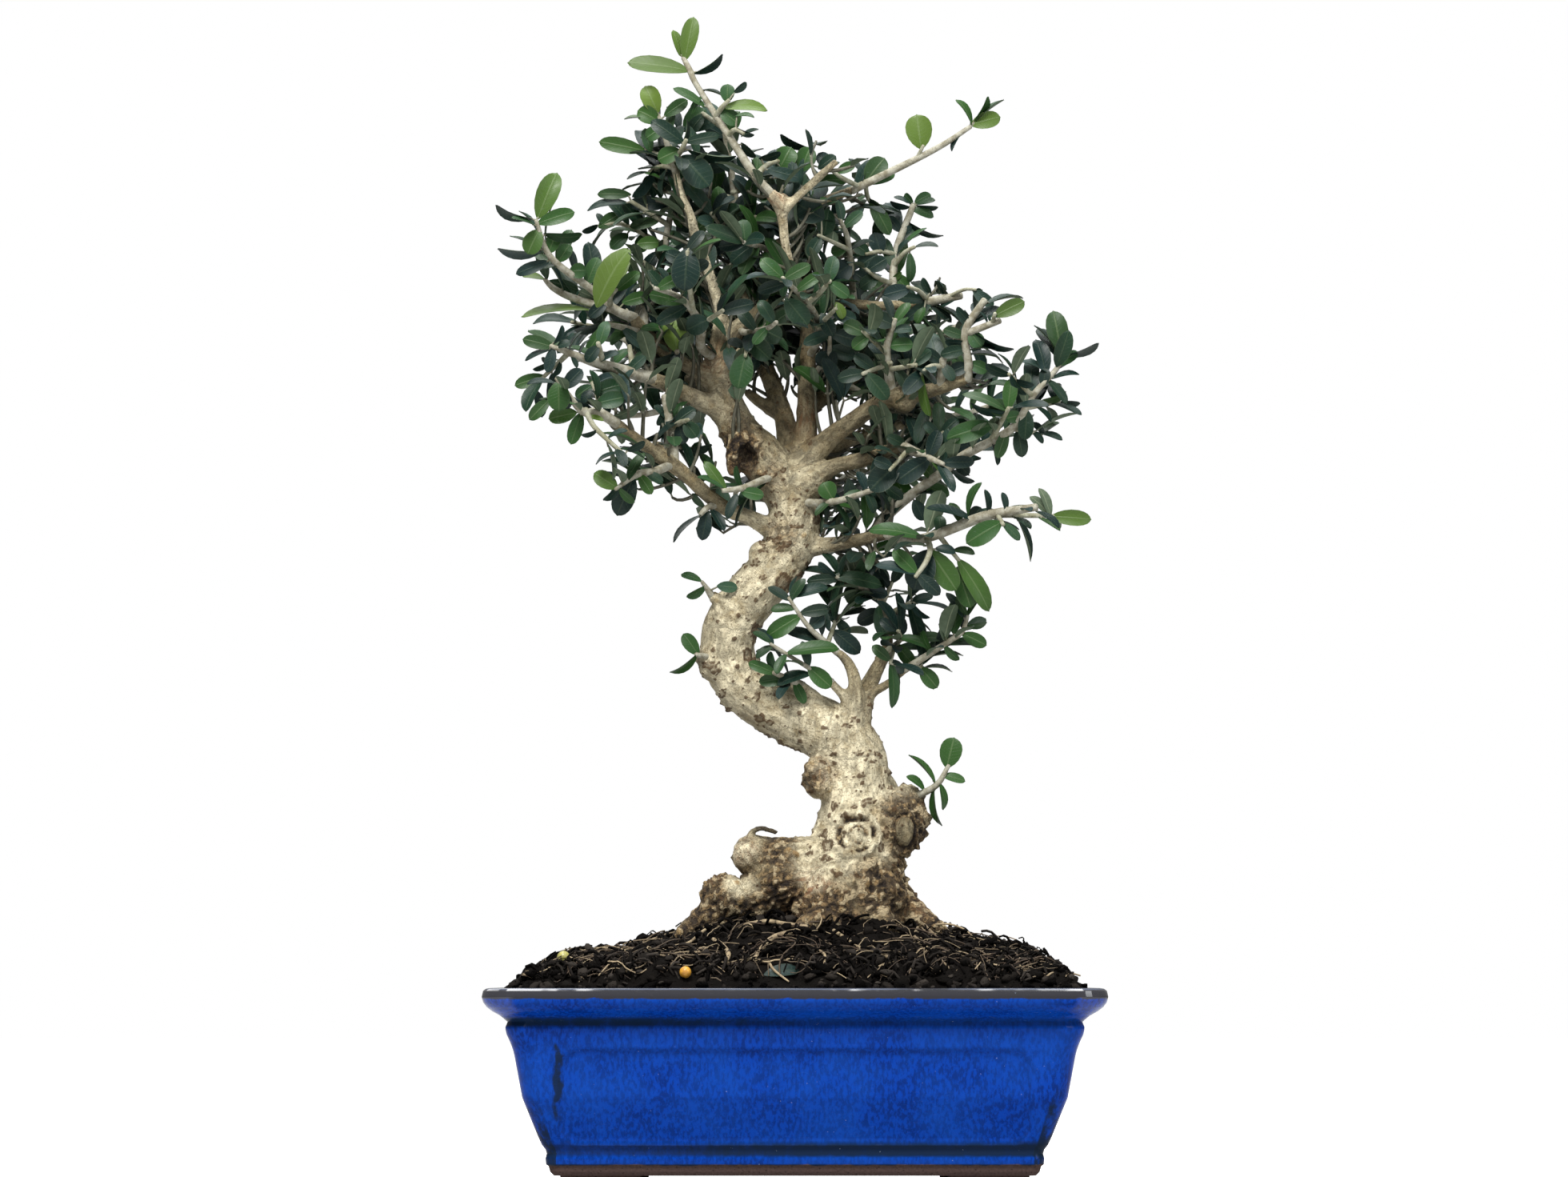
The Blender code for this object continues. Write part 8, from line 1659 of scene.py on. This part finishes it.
class Bark:
    """How far the bark rises at each point of the wood, and the values for its colours."""

    def __init__(self, points, normals, girth):
        self.points, self.normals, self.girth = points, normals, girth
        self.rise = np.zeros(len(points))
        self.ragged = 1 + 0.45 * lumps(points, 0.9, 18)
        self.tints = {kind: np.zeros(len(points)) for kind in (*WOOD_TINTS, "cavity", "knob", "wart")}
        for kind, spots in WOOD_TINTS.items():
            for x, y, z, span, strength in spots:
                distance = np.linalg.norm(points - seen(x, y, z), axis=1)
                self.tints[kind] = np.maximum(self.tints[kind], strength * np.exp(-(distance / span) ** 4))

    def change(self, kind, places, values):
        """Sets a value at some of the points."""
        self.tints[kind] = np.where(places, values, self.tints[kind])

    def add_crust(self, look):
        """Low relief everywhere, and thick crust near the soil, at the back and where the bark is rough."""
        points, tints = self.points, self.tints
        behind = np.clip((points[:, 1] - 6) / 12, 0, 1) * 0.35
        sunk = np.clip((CRUST_TOP - points[:, 2] + 7 * lumps(points, 11.0, 22)) / 12, 0, 1)
        sunk *= 1 - 0.35 * step_between(points[:, 1], 0, 14)
        tints["rough"] = np.maximum(tints["rough"], np.maximum(behind, sunk))
        tints["rough"] *= 1 - 0.8 * tints["pale"] * (points[:, 2] < PALE_TOP)
        size = np.clip(self.girth / 14, 0.08, 1) * look.relief / MM
        self.rise = size * (0.8 * lumps(points, 8.0, 11) + 0.35 * lumps(points, 2.6, 13))
        crust = 2.2 * np.abs(lumps(points, 5.0, 14)) + 1.6 * np.abs(lumps(points, 2.4, 15)) - 0.8
        crust += 0.9 * lumps(points, 1.5, 16)
        self.rise += tints["rough"] * np.clip(self.girth / 9, 0.25, 1.1) * crust * 1.2
        # Cavity marks the low places of the crust, which the bark finish paints dark as shade; where it is zero, it
        # paints a highlight.
        tints["cavity"] = np.clip(0.5 - 1.0 * crust, 0, 1)

    def add_ring_scar(self):
        """Two broken ruts round an old cut, with a lip outside them."""
        points = self.points
        scar = np.linalg.norm((points - seen(*RING_SCAR[:3]))[:, (0, 2)], axis=1)
        scar = scar + 1.1 * lumps(points, 5.5, 17) + 0.6 * lumps(points, 1.7, 19)
        broken = np.clip(0.75 + 1.6 * lumps(points, 4.0, 20), 0.1, 1)
        in_front = (points[:, 1] < -6) & (scar < 12)
        lip = np.exp(-((scar - RING_SCAR[3] - 1.0) / 1.2) ** 2) * 1.4
        rut = broken * (np.exp(-((scar - RING_SCAR[3] + 0.7) / 0.8) ** 2) + 0.8 * np.exp(-((scar - 2.8) / 0.7) ** 2))
        self.rise += np.where(in_front, lip - 1.3 * rut, 0)
        self.change("pale", in_front, np.maximum(self.tints["pale"], 0.9))
        # The ruts are marked as cavities, which the bark finish paints dark as shade.
        self.change("cavity", in_front, np.minimum(rut, 1))
        self.change("rough", in_front & (scar < 8), np.clip(rut, 0.1, 1))

    def add_cut_face(self):
        """A flat face with a sunk rim, where a limb was sawn off."""
        points = self.points
        cut = (points - seen(*CUT_FACE[:3]))[:, (0, 2)] / CUT_FACE[3:]
        cut = np.linalg.norm(cut, axis=1) + 0.12 * lumps(points, 2.5, 21)
        facing_us = (points[:, 1] < -2) & (cut < 1.6)
        rim = np.exp(-((cut - 1) / 0.16) ** 2)
        self.rise = np.where(facing_us & (cut < 1.1), -0.3 - 0.8 * rim, self.rise)
        # Its sunk rim is marked as a cavity, which the bark finish paints dark as shade where the bark is rough.
        self.change("cavity", facing_us & (cut < 1.3), rim)
        self.change("rough", facing_us & (cut < 0.85), 0.25)
        self.change("pale", facing_us & (cut < 1.1), 0)

    def add_scabs(self):
        """The brown scabs of the front view."""
        shown = viewed(self.points)
        for x, z, half_x, half_z in SCABS:
            off = np.hypot((shown[:, 0] - x) / half_x, (shown[:, 1] - z) / half_z) * self.ragged
            brown = np.maximum(np.exp(-((off - 0.9) / 0.35) ** 2), 0.62 * (1 - step_between(off, 0.8, 1.1)))
            brown *= self.normals[:, 1] < 0.3
            self.tints["wart"] = np.maximum(self.tints["wart"], brown)
            self.rise += 0.45 * min(half_x, half_z, 1.2) * brown

    def add_warts(self, rng):
        """Small warts on all the wood, and larger knobs on its rough parts."""
        points, tints, girth = self.points, self.tints, self.girth
        surface = tree_of(points)
        for kind in ["wart"] * WARTS + ["knob"] * KNOBS:
            knob = kind == "knob"
            spot = rng.randrange(len(points))
            while rng.random() > min(1, girth[spot] / 9) * (tints["rough"][spot] if knob else 1):
                spot = rng.randrange(len(points))
            wide = rng.uniform(*KNOB_SIZES) if knob else rng.choice(WART_SIZES) * min(1.2, 0.5 + girth[spot] / 14)
            for _, i, distance in surface.find_range(points[spot], 2.2 * wide):
                share = math.exp(-(distance * self.ragged[i] / wide) ** 2)
                self.rise[i] += (0.55 if knob else 0.85) * wide * share
                tints[kind][i] = max(tints[kind][i], min(1, 1.2 * share))


def make_wood(look):
    """The trunk, roots and limbs grown together, with bark relief and the values for its colours."""
    lines = wood_lines()
    wood = grown_together(lines, look)
    mesh = wood.data
    mesh.materials.clear()
    mesh.materials.append(bark_finish(look))
    points = read(mesh.vertices, "co") / MM
    normals = read(mesh.vertex_normals, "vector")
    grain, girth = wood_grain(lines, points)
    bark = Bark(points, normals, girth)
    bark.add_crust(look)
    bark.add_ring_scar()
    bark.add_cut_face()
    bark.add_scabs()
    bark.add_warts(random.Random(21))
    points = points + normals * bark.rise[:, None]
    mesh.vertices.foreach_set("co", (points * MM).ravel())
    inside = np.linalg.norm((points - seen(*HOLLOW[:3])) / np.array(HOLLOW[3:]), axis=1)
    # The inside of the hollow is painted dark as shade.
    bark.tints["deep"] = np.maximum(bark.tints["deep"], 1 - step_between(inside, 0.9, 1.15))
    for kind, values in bark.tints.items():
        paint(mesh, kind, values)
    paint(mesh, "grain", grain)
    mesh.shade_smooth()
    return settle(wood, "trunk", slot="bark")


# Stems whose every leaf shows against the sky, so that none are added.
SPARSE_STEMS = ("sprout", "bend_left_twig", "bend_snag_twig", "right_high_tip", "apex", "right_top")
LEAF_SHARES = np.array((0.0, 0.06, 0.17, 0.32, 0.5, 0.68, 0.82, 0.92, 0.975, 1.0))
LEAF_WIDTHS = np.array((0.08, 0.34, 0.66, 0.92, 1.06, 1.05, 0.90, 0.66, 0.38, 0.10))
LEAF_SIDES = np.array((-1.0, -0.55, 0.0, 0.55, 1.0))
# The rows and columns of a leaf that a leaf deep in the crown keeps.
PLAIN_ROWS = [0, 2, 3, 5, 7, 9]
PLAIN_COLUMNS = [0, 2, 4]
BLADE_FOLD = 0.16
BLADE_ARCH = 0.05
# A CAD blade's thickness, the rise of its ends from its middle, and its width as a share of its leaf's.
CAD_BLADE = 1.0


CAD_RISE = BLADE_ARCH / math.hypot(0.5, BLADE_ARCH)
CAD_WIDTH = 0.96
# The tone of a leaf seen edge-on, and how far ahead of its stem it stands where it has a tone of its own.
OLD_TONE = 0.1
TONED_AHEAD = 0.1
# Lengths and shapes of added leaves, how close together they grow, and how far out they reach.
ADDED_LENGTHS = (8.5, 15.5)
ADDED_SHAPES = (0.3, 0.42)
LEAF_GAP = 2.3
CROWN_REACH = (101, 74)
CROWN_HEIGHTS = (90, 388)
# How close an added leaf's middle and tip are to the traced leaves, and within what distance it hides behind them.
NEAR_MIDDLE = 7
NEAR_TIP = 6.5
HIDING_SPAN = 3.6


def blades_of(node):
    """Base, tip, width and facing of each blade of a CAD node, read from its mesh."""
    mesh = node.data
    keys, back = np.unique(np.round(read(mesh.vertices, "co") / MM, 3), axis=0, return_inverse=True)
    back = back.ravel()
    mesh.calc_loop_triangles()
    meets = [set() for _ in keys]
    for triangle in mesh.loop_triangles:
        corners = {int(back[i]) for i in triangle.vertices}
        for corner in corners:
            meets[corner] |= corners - {corner}
    tree = tree_of(keys)
    blades = []
    for a, key in enumerate(keys):
        for _, b, distance in tree.find_range(Vector(key), CAD_BLADE + 0.01):
            if b <= a or abs(distance - CAD_BLADE) > 0.01 or len(meets[a] & meets[b]) < 3:
                continue
            face = unit(keys[a] - keys[b])
            around = sorted(meets[a] & meets[b])
            arms = keys[around] - (keys[a] + keys[b]) / 2
            length = np.linalg.norm(arms, axis=1)
            lift = arms @ face / length
            for sign in (1, -1):
                fit = np.abs(lift * sign + CAD_RISE) < 0.004
                if fit.any():
                    far = max(np.flatnonzero(fit), key=lambda i: (round(length[i], 2), keys[around[i]][0]))
                    long = length[far] / math.hypot(0.5, BLADE_ARCH)
                    way = unit(arms[far] + face * sign * BLADE_ARCH * long)
                    tip = keys[around[far]]
                    across = np.cross(way, face)
                    wide = 2 * max(abs(arm @ across) for arm in arms) / CAD_WIDTH
                    blades.append((tip - way * long, tip, wide, face * sign))
                    break
    return blades


def tone_of(tip, rng):
    """The tone of a blade: one of the toned leaves of the front view, or a dark one."""
    x, z = viewed(tip)
    for toned_x, toned_z, tone in TONES:
        if math.hypot(toned_x - x, toned_z - z) < 0.25:
            return tone
    share = rng.random()
    return 0.24 * share if share < 0.75 else 0.18 + 1.1 * (share - 0.75)


def nearest_place(lines, place):
    """The closest station on some lines to a place."""
    return min((line[np.argmin(np.linalg.norm(line[:, :3] - place, axis=1))] for line in lines),
               key=lambda station: np.linalg.norm(station[:3] - place))


def nearest_in_view(lines, x, z):
    """The station that the front view shows closest to x and z."""
    def off(station):
        return math.hypot(*(viewed(station[:3]) - (x, z)))
    return min((line[np.argmin(np.linalg.norm(viewed(line[:, :3]) - (x, z), axis=1))] for line in lines), key=off)


def facing(way, roll):
    """The way that a blade faces, turned about its length by roll from facing the eye."""
    face = np.array((0, -1.0, 0)) - way * -way[1]
    face = unit(face) if np.linalg.norm(face) > 1e-3 else np.array((0, 0, 1.0))
    across = np.cross(way, face)
    if across[2] < 0:
        across = -across
    return unit(face * math.cos(roll) + across * math.sin(roll))


def edge_on_blades(name, lines, rng):
    """The thin leaves of the front view as full leaves that are turned away from the eye."""
    blades = []
    for x0, z0, x1, z1, width, *extra in EDGE_ON_LEAVES.get(name, ()):
        tone = extra[0] if extra else OLD_TONE
        ahead = extra[1] if len(extra) > 1 else TONED_AHEAD if extra else 0
        depth = nearest_in_view(lines, x0, z0)[1] - ahead
        length = math.hypot(x1 - x0, z1 - z0)
        wide = max(width * 1.05, min(6.5, length * 0.42))
        base = seen(x0, depth, z0)
        tip = seen(x1, depth + rng.uniform(-0.25, 0.25) * length, z1)
        roll = rng.choice((-1, 1)) * math.acos(min(1, 0.9 * width / wide))
        blades.append((base, tip, wide, facing(unit(tip - base), roll), tone))
    return blades


class Crowd:
    """Where leaves already are, so that no more of them grow there."""

    def __init__(self, gap):
        self.gap, self.cells = gap, {}

    def cell(self, place):
        """The cell of a grid in which a place lies."""
        return tuple(int(math.floor(v / self.gap)) for v in place)

    def near(self, place):
        """Whether a leaf is closer than the gap."""
        a, b, c = self.cell(place)
        return any(np.linalg.norm(other - place) < self.gap
                   for i in (a - 1, a, a + 1) for j in (b - 1, b, b + 1) for k in (c - 1, c, c + 1)
                   for other in self.cells.get((i, j, k), ()))

    def spots(self, base, tip):
        """The middle of a leaf and a place near its tip."""
        return (base + tip) / 2, base + (tip - base) * 0.8

    def add(self, base, tip):
        """Takes in a leaf."""
        for place in self.spots(base, tip):
            self.cells.setdefault(self.cell(place), []).append(place)

    def has_room(self, base, tip):
        """Whether a leaf may grow here."""
        return not any(self.near(place) for place in self.spots(base, tip))


def fits_the_view(base, tip, traced):
    """Whether an added leaf stays in the crown, clear of the open sky, and behind the traced leaves near it."""
    if abs(tip[0]) > CROWN_REACH[0] or abs(tip[1]) > CROWN_REACH[1]:
        return False
    if not CROWN_HEIGHTS[0] <= tip[2] <= CROWN_HEIGHTS[1]:
        return False
    seen_tips, depths = traced
    middle = (base + tip) / 2
    spot, spot_tip = viewed(middle), viewed(tip)
    if any(abs(p[0] - x) < w and abs(p[1] - z) < h for p in (spot, spot_tip) for x, z, w, h in OPEN_SKY):
        return False
    gap = np.linalg.norm(seen_tips - spot, axis=1)
    if gap.min() > NEAR_MIDDLE or np.linalg.norm(seen_tips - spot_tip, axis=1).min() > NEAR_TIP:
        return False
    return not (depths[gap < HIDING_SPAN] > middle[1]).any()


def more_blades(lines, look, crowd, traced, rng):
    """Further pairs of leaves along the twigs, where the view shows leaves and none of them stands in front."""
    blades = []
    step = look.spacing / MM
    for line in lines:
        way, first, second = frames_along(line)
        gone = 0.0
        turn = rng.uniform(0, math.pi)
        for i in range(1, len(line)):
            gone += np.linalg.norm(line[i, :3] - line[i - 1, :3])
            if gone < step or i < 0.2 * len(line):
                continue
            gone = 0.0
            turn += math.pi / 2 + rng.uniform(-0.3, 0.3)
            for side in (0, math.pi):
                out = math.cos(turn + side) * first[i] + math.sin(turn + side) * second[i]
                angle = rng.uniform(0.6, 1.1)
                along = unit(way[i] * math.cos(angle) + out * math.sin(angle) + np.array((0, 0, 0.12)))
                length = rng.uniform(*ADDED_LENGTHS)
                wide = length * rng.uniform(*ADDED_SHAPES)
                base = line[i, :3] + along * (line[i, 3] + 0.6)
                tip = base + along * length
                if not crowd.has_room(base, tip) or not fits_the_view(base, tip, traced):
                    continue
                upward = np.cross(along, np.cross((0, -0.35, 1.0), along))
                face = unit(upward + rng.uniform(-0.8, 0.8) * np.cross(along, way[i]))
                crowd.add(base, tip)
                tone = rng.uniform(0, 0.2) if rng.random() < 0.8 else rng.uniform(0.2, 0.4)
                blades.append((base, tip, wide, face, tone))
    return blades


def inner_shoots(rng):
    """Short leafy shoots behind the limbs, which fill the inside of the crown."""
    shoots = []
    for stations in WOOD.values():
        line = smooth_line(stations, 4.0)
        if 150 < stations[0][2] < 190 or line[-1, 2] < 190 or len(line) < 4:
            continue
        way, first, second = frames_along(line)
        for i in range(2, len(line)):
            for _ in range(2 if line[i, 3] <= 5 else 0):
                angle = rng.uniform(0, 2 * math.pi)
                out = math.cos(angle) * first[i] + math.sin(angle) * second[i]
                out = unit(out + 0.6 * way[i] + np.array((0, 0.9, 0.2)))
                reach = rng.uniform(10, 20)
                bow = unit(np.array([rng.uniform(-1, 1) for _ in range(3)])) * 2.0
                points = []
                for t in (0, 0.3, 0.65, 1):
                    place = line[i, :3] + out * reach * t + bow * math.sin(math.pi * t) + (0, 0, 2 * t * t)
                    points.append((*place, 0.75 - 0.3 * t))
                shoots.append(rounded_line(np.array(points), 2.0))
    return shoots


def add_leaves(form, blades, look, rng, plain=False):
    """Each leaf as a folded and arched blade with an upper side and an underside."""
    kept, kept_across = (PLAIN_ROWS, PLAIN_COLUMNS) if plain else (slice(None), slice(None))
    s, widths = LEAF_SHARES[kept, None], LEAF_WIDTHS[kept, None]
    c = LEAF_SIDES[None, kept_across]
    rows, columns = s.size, c.size
    for base, tip, wide, face, tone in blades:
        length = np.linalg.norm(tip - base)
        along = unit(tip - base)
        across = np.cross(along, face)
        fold = BLADE_FOLD * rng.uniform(0.6, 1.3)
        curl = rng.uniform(-0.10, 0.04)
        twist = rng.uniform(-0.25, 0.25)
        half = wide / 2 * widths
        turn = twist * (s - 0.4)
        side = half * c * np.cos(turn)
        rise = wide * fold * (np.abs(c) * widths) ** 1.6 + length * BLADE_ARCH * 4 * s * (1 - s)
        rise = rise + half * c * np.sin(turn) + curl * length * np.maximum(0, s - 0.55) ** 2 * 4
        reach = length * s - 0.02 * length * np.abs(c) * s
        middle = base + reach[..., None] * along + side[..., None] * across + rise[..., None] * face
        thick = look.thickness / MM / 2 * (1 - 0.8 * np.abs(c)) * np.ones_like(s)
        values = {
            "along": np.broadcast_to(s, (rows, columns)), "across": np.broadcast_to(c, (rows, columns)),
            "tone": max(tone, 0.0), "luck": rng.random(), "green": 0.0,
        }
        upper, lower = (1, 0) if tone < 0 else (0, 1)
        form.add(middle + thick[..., None] * face, grid_faces(rows, columns, flip=True), upper, **values)
        form.add(middle - thick[..., None] * face, grid_faces(rows, columns), lower, **values)


def add_stalks(form, blades, lines, sides=5):
    """A stalk from the twig to each leaf that is near one."""
    for base, tip, _, _, tone in blades:
        start, along = nearest_place(lines, base)[:3], unit(tip - base)
        end = base + along * min(1.2, 0.1 * np.linalg.norm(tip - base))
        if np.linalg.norm(end - start) > 12:
            continue
        middle = (start + end) / 2 - along * 0.1
        line = np.array(((*start, 0.42), (*middle, 0.34), (*end, 0.26)))
        form.add(*tube(line, sides), 2, along=0, across=0, tone=0, luck=0.4, green=1.0 if tone > 0.4 else 0.5)


def make_crown(look):
    """A finer piece for every leafy stem of the CAD model, and leafy shoots between them."""
    finishes = [leaf_finish(look), underside_finish(look), twig_finish()]
    stems = {name: [smooth_line(twig, 2.0) for twig in twigs] for name, twigs in TWIGS.items()}
    grown = {}
    crowd = Crowd(LEAF_GAP)
    rng = random.Random(11)
    for name, lines in stems.items():
        blades = [(*blade, tone_of(blade[1], rng)) for blade in blades_of(frame["nodes"]["spray_" + name])]
        grown[name] = blades + edge_on_blades(name, lines, rng)
        for base, tip, *_ in grown[name]:
            crowd.add(base, tip)
    middles = np.array([(base + tip) / 2 for blades in grown.values() for base, tip, *_ in blades])
    traced = (viewed(middles), middles[:, 1])
    for name, lines in stems.items():
        for _ in range(0 if name in SPARSE_STEMS else 3 if name.startswith("shoot") else 1):
            grown[name] += more_blades(lines, look, crowd, traced, rng)
    inner = inner_shoots(rng)
    inner_blades = more_blades(inner, look, crowd, traced, rng)
    for name, lines in stems.items():
        form = Form()
        for line in lines:
            before = line[0] + 0.3 * (line[0] - line[1])
            line = np.vstack(((*before[:3], line[0, 3]), line))
            green = 0.3 if line[:, 3].max() > 1.2 else 0.6
            form.add(*tube(line, 8), 2, along=0, across=0, tone=0, luck=0, green=green)
        add_stalks(form, grown[name], lines)
        add_leaves(form, grown[name], look, rng)
        slot = frame["nodes"]["spray_" + name].data.materials[0].name.split(".")[0]
        settle(form.piece("leafy_" + name, finishes), "spray_" + name, slot=slot)
    form = Form()
    bases = np.array([blade[0] for blade in inner_blades])
    for line in inner:
        to_leaf = np.linalg.norm(line[:, None, :3] - bases[None], axis=2).min(axis=1)
        leafy = np.flatnonzero(to_leaf < 1.8)
        if len(leafy) and leafy[-1] > 1:
            # Luck 1 paints these twigs inside the crown dark, as shade.
            form.add(*tube(line[:leafy[-1] + 1], 4), 2, along=0, across=0, tone=0, luck=1, green=0.3)
    add_stalks(form, inner_blades, inner, 3)
    add_leaves(form, inner_blades, look, rng, plain=True)
    settle(form.piece("inner_shoots", finishes), slot="leaf_dark")


# The light and the dark colour of each fertiliser pellet, with the slot of its piece.
PELLETS = {
    "pellet_amber": ("amber_pellet", (0.70, 0.36, 0.035), (0.42, 0.19, 0.02)),
    "pellet_green": ("green_pellet", (0.46, 0.43, 0.13), (0.28, 0.27, 0.07)),
}


def make_small_things(look):
    """The fertiliser pellets, the fallen leaf and the drain screens' finish."""
    points, faces = ball(5)
    for name, (slot, light, dark) in PELLETS.items():
        low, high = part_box(name)
        centre = np.array((low + high) / 2) / MM
        radius = (high.z - low.z) / 2 / MM
        form = Form()
        form.add(centre + points * (radius * (1 + 0.02 * lumps(points, 0.6, 3)))[:, None], faces)
        settle(form.piece(name + "_round", [pellet_finish(slot, light, dark)]), name, slot=slot)
    leaf = [(*blade, 0.04) for blade in blades_of(frame["nodes"]["fallen_leaf"])]
    if not leaf:
        raise RuntimeError("the fallen leaf was not found in the packed model")
    form = Form()
    add_leaves(form, leaf[:1], look, random.Random(3))
    finishes = [bpy.data.materials["leaf_top"], bpy.data.materials["leaf_under"]]
    settle(form.piece("fallen_leaf_fine", finishes), "fallen_leaf", slot="leaf_dark")
    plastic = screen_finish()
    for name in ("drain_screen_left", "drain_screen_right"):
        for slot in frame["nodes"][name].material_slots:
            slot.material = plastic


# Each light's place and size in metres, and its tint. All of them point at the middle of the tree.
LIGHTS = {
    "key": ((-0.4, -1.15, 1.5), (0.7, 0.7), (1.0, 0.98, 0.95)),
    "fill": ((1.2, -0.9, 0.7), (0.6, 1.0), (0.95, 0.98, 1.0)),
    "top": ((0.0, 0.2, 1.6), (1.2, 0.9), (1, 1, 1)),
    "front": ((0.1, -1.1, 1.4), (1.1, 0.3), (1, 1, 1)),
    "back": ((-0.5, 1.3, 1.1), (1.0, 0.8), (1, 1, 1)),
}
LIT_PLACE = (0, 0, 0.2)
FLOOR_REACH = 4000
FLOOR_DROP = 0.2
CAMERA_LENS = 110.1
CAMERA_TILT = 4.65


def soft_light(name, place, size, power, tint):
    """A soft rectangular light that the camera doesn't see."""
    lamp = bpy.data.lights.new(name, "AREA")
    lamp.shape, lamp.size, lamp.size_y = "RECTANGLE", *size
    lamp.energy, lamp.color = power, tint
    obj = bpy.data.objects.new(name, lamp)
    obj.location = place
    obj.rotation_euler = (Vector(LIT_PLACE) - Vector(place)).to_track_quat("-Z", "Y").to_euler()
    obj.visible_camera = False
    bpy.context.scene.collection.objects.link(obj)


def make_studio(look):
    """A pale floor, soft lights, a white surround and the camera."""
    scene = bpy.context.scene
    form = Form()
    side = np.linspace(-FLOOR_REACH, FLOOR_REACH, 17)
    x, y = np.meshgrid(side, side)
    form.add(at_height(np.column_stack((x.ravel(), y.ravel())), -FLOOR_DROP), grid_faces(17, 17))
    finish, nodes = new_finish("pale_floor", roughness=0.8, emission_color=(1, 1, 1))
    tone = nodes.patches(nodes.place(), 90.0, 0.5, 0.4)
    nodes.shade(base_color=nodes.mix(tone, look.floor, scaled(look.floor, 0.985)),
                emission_strength=nodes.add("ShaderNodeLightPath").outputs["Is Camera Ray"])
    form.piece("floor", [finish])
    world = bpy.data.worlds.new("White room")
    world.use_nodes = True
    scene.world = world
    nodes = Nodes(world.node_tree)
    world.node_tree.nodes.clear()
    to_eye = nodes.add("ShaderNodeLightPath").outputs["Is Camera Ray"]
    room = nodes.add("ShaderNodeBackground")
    room.inputs["Color"].default_value = (1, 1, 1, 1)
    nodes.feed(room.inputs["Strength"], nodes.between(to_eye, 0.0, 1.0, look.around, 1.0))
    nodes.feed(nodes.add("ShaderNodeOutputWorld").inputs["Surface"], room.outputs[0])
    for name, (place, size, tint) in LIGHTS.items():
        soft_light(name + "_light", place, size, getattr(look, name), tint)
    lens = bpy.data.cameras.new("camera")
    lens.lens, lens.sensor_width = CAMERA_LENS, 36
    eye = bpy.data.objects.new("camera", lens)
    eye.location = (EYE_X * MM, -EYE_DISTANCE * MM, EYE_Z * MM)
    eye.rotation_euler = (math.radians(90 + CAMERA_TILT), 0, 0)
    scene.collection.objects.link(eye)
    scene.camera = eye
    scene.view_settings.view_transform = "Standard"
    scene.view_settings.look = "None"


class OLIVE_OT_pot(bpy.types.Operator):
    """Builds the glazed pot."""

    bl_idname = "olive.pot"
    bl_label = "Glazed pot"

    def execute(self, context):
        make_pot(context.scene.olive_pot)
        return {"FINISHED"}


class OLIVE_OT_soil(bpy.types.Operator):
    """Builds the heaped soil with its crumbs and fine roots."""

    bl_idname = "olive.soil"
    bl_label = "Soil"

    def execute(self, context):
        make_soil(context.scene.olive_soil)
        return {"FINISHED"}


class OLIVE_OT_wood(bpy.types.Operator):
    """Builds the trunk, roots and limbs."""

    bl_idname = "olive.wood"
    bl_label = "Trunk and limbs"

    def execute(self, context):
        make_wood(context.scene.olive_wood)
        return {"FINISHED"}


class OLIVE_OT_crown(bpy.types.Operator):
    """Builds the leafy stems."""

    bl_idname = "olive.crown"
    bl_label = "Leafy stems"

    def execute(self, context):
        make_crown(context.scene.olive_crown)
        return {"FINISHED"}


class OLIVE_OT_small_things(bpy.types.Operator):
    """Builds the pellets and the fallen leaf, and finishes the drain screens."""

    bl_idname = "olive.small_things"
    bl_label = "Pellets, fallen leaf and screens"

    def execute(self, context):
        make_small_things(context.scene.olive_crown)
        return {"FINISHED"}


class OLIVE_OT_studio(bpy.types.Operator):
    """Sets up the floor, the lights and the camera."""

    bl_idname = "olive.studio"
    bl_label = "Studio"

    def execute(self, context):
        make_studio(context.scene.olive_studio)
        return {"FINISHED"}


LOOKS = {
    "olive_pot": PotLook, "olive_soil": SoilLook, "olive_wood": WoodLook, "olive_crown": CrownLook,
    "olive_studio": StudioLook,
}
OPERATORS = (OLIVE_OT_pot, OLIVE_OT_soil, OLIVE_OT_wood, OLIVE_OT_crown, OLIVE_OT_small_things, OLIVE_OT_studio)


class OLIVE_PT_panel(bpy.types.Panel):
    """The looks and the pieces of the bonsai."""

    bl_idname = "OLIVE_PT_panel"
    bl_label = "Olive bonsai"
    bl_space_type = "VIEW_3D"
    bl_region_type = "UI"
    bl_category = "Olive bonsai"

    def draw(self, context):
        for name, kind in LOOKS.items():
            box = self.layout.box()
            box.label(text=name.split("_")[1].capitalize())
            for prop in kind.__annotations__:
                box.prop(getattr(context.scene, name), prop)
        for operator in OPERATORS:
            self.layout.operator(operator.bl_idname)


def register():
    """Makes the settings, the operators and the panel known to Blender."""
    for kind in (*LOOKS.values(), *OPERATORS, OLIVE_PT_panel):
        bpy.utils.register_class(kind)
    for name, kind in LOOKS.items():
        setattr(bpy.types.Scene, name, PointerProperty(type=kind))


def unregister():
    """Takes them out again."""
    for name in LOOKS:
        delattr(bpy.types.Scene, name)
    for kind in reversed((*LOOKS.values(), *OPERATORS, OLIVE_PT_panel)):
        bpy.utils.unregister_class(kind)


def main():
    """Builds every piece and the studio."""
    register()
    bpy.ops.olive.studio()
    bpy.ops.olive.pot()
    bpy.ops.olive.soil()
    bpy.ops.olive.wood()
    bpy.ops.olive.crown()
    bpy.ops.olive.small_things()


if __name__ == "__main__":
    main()
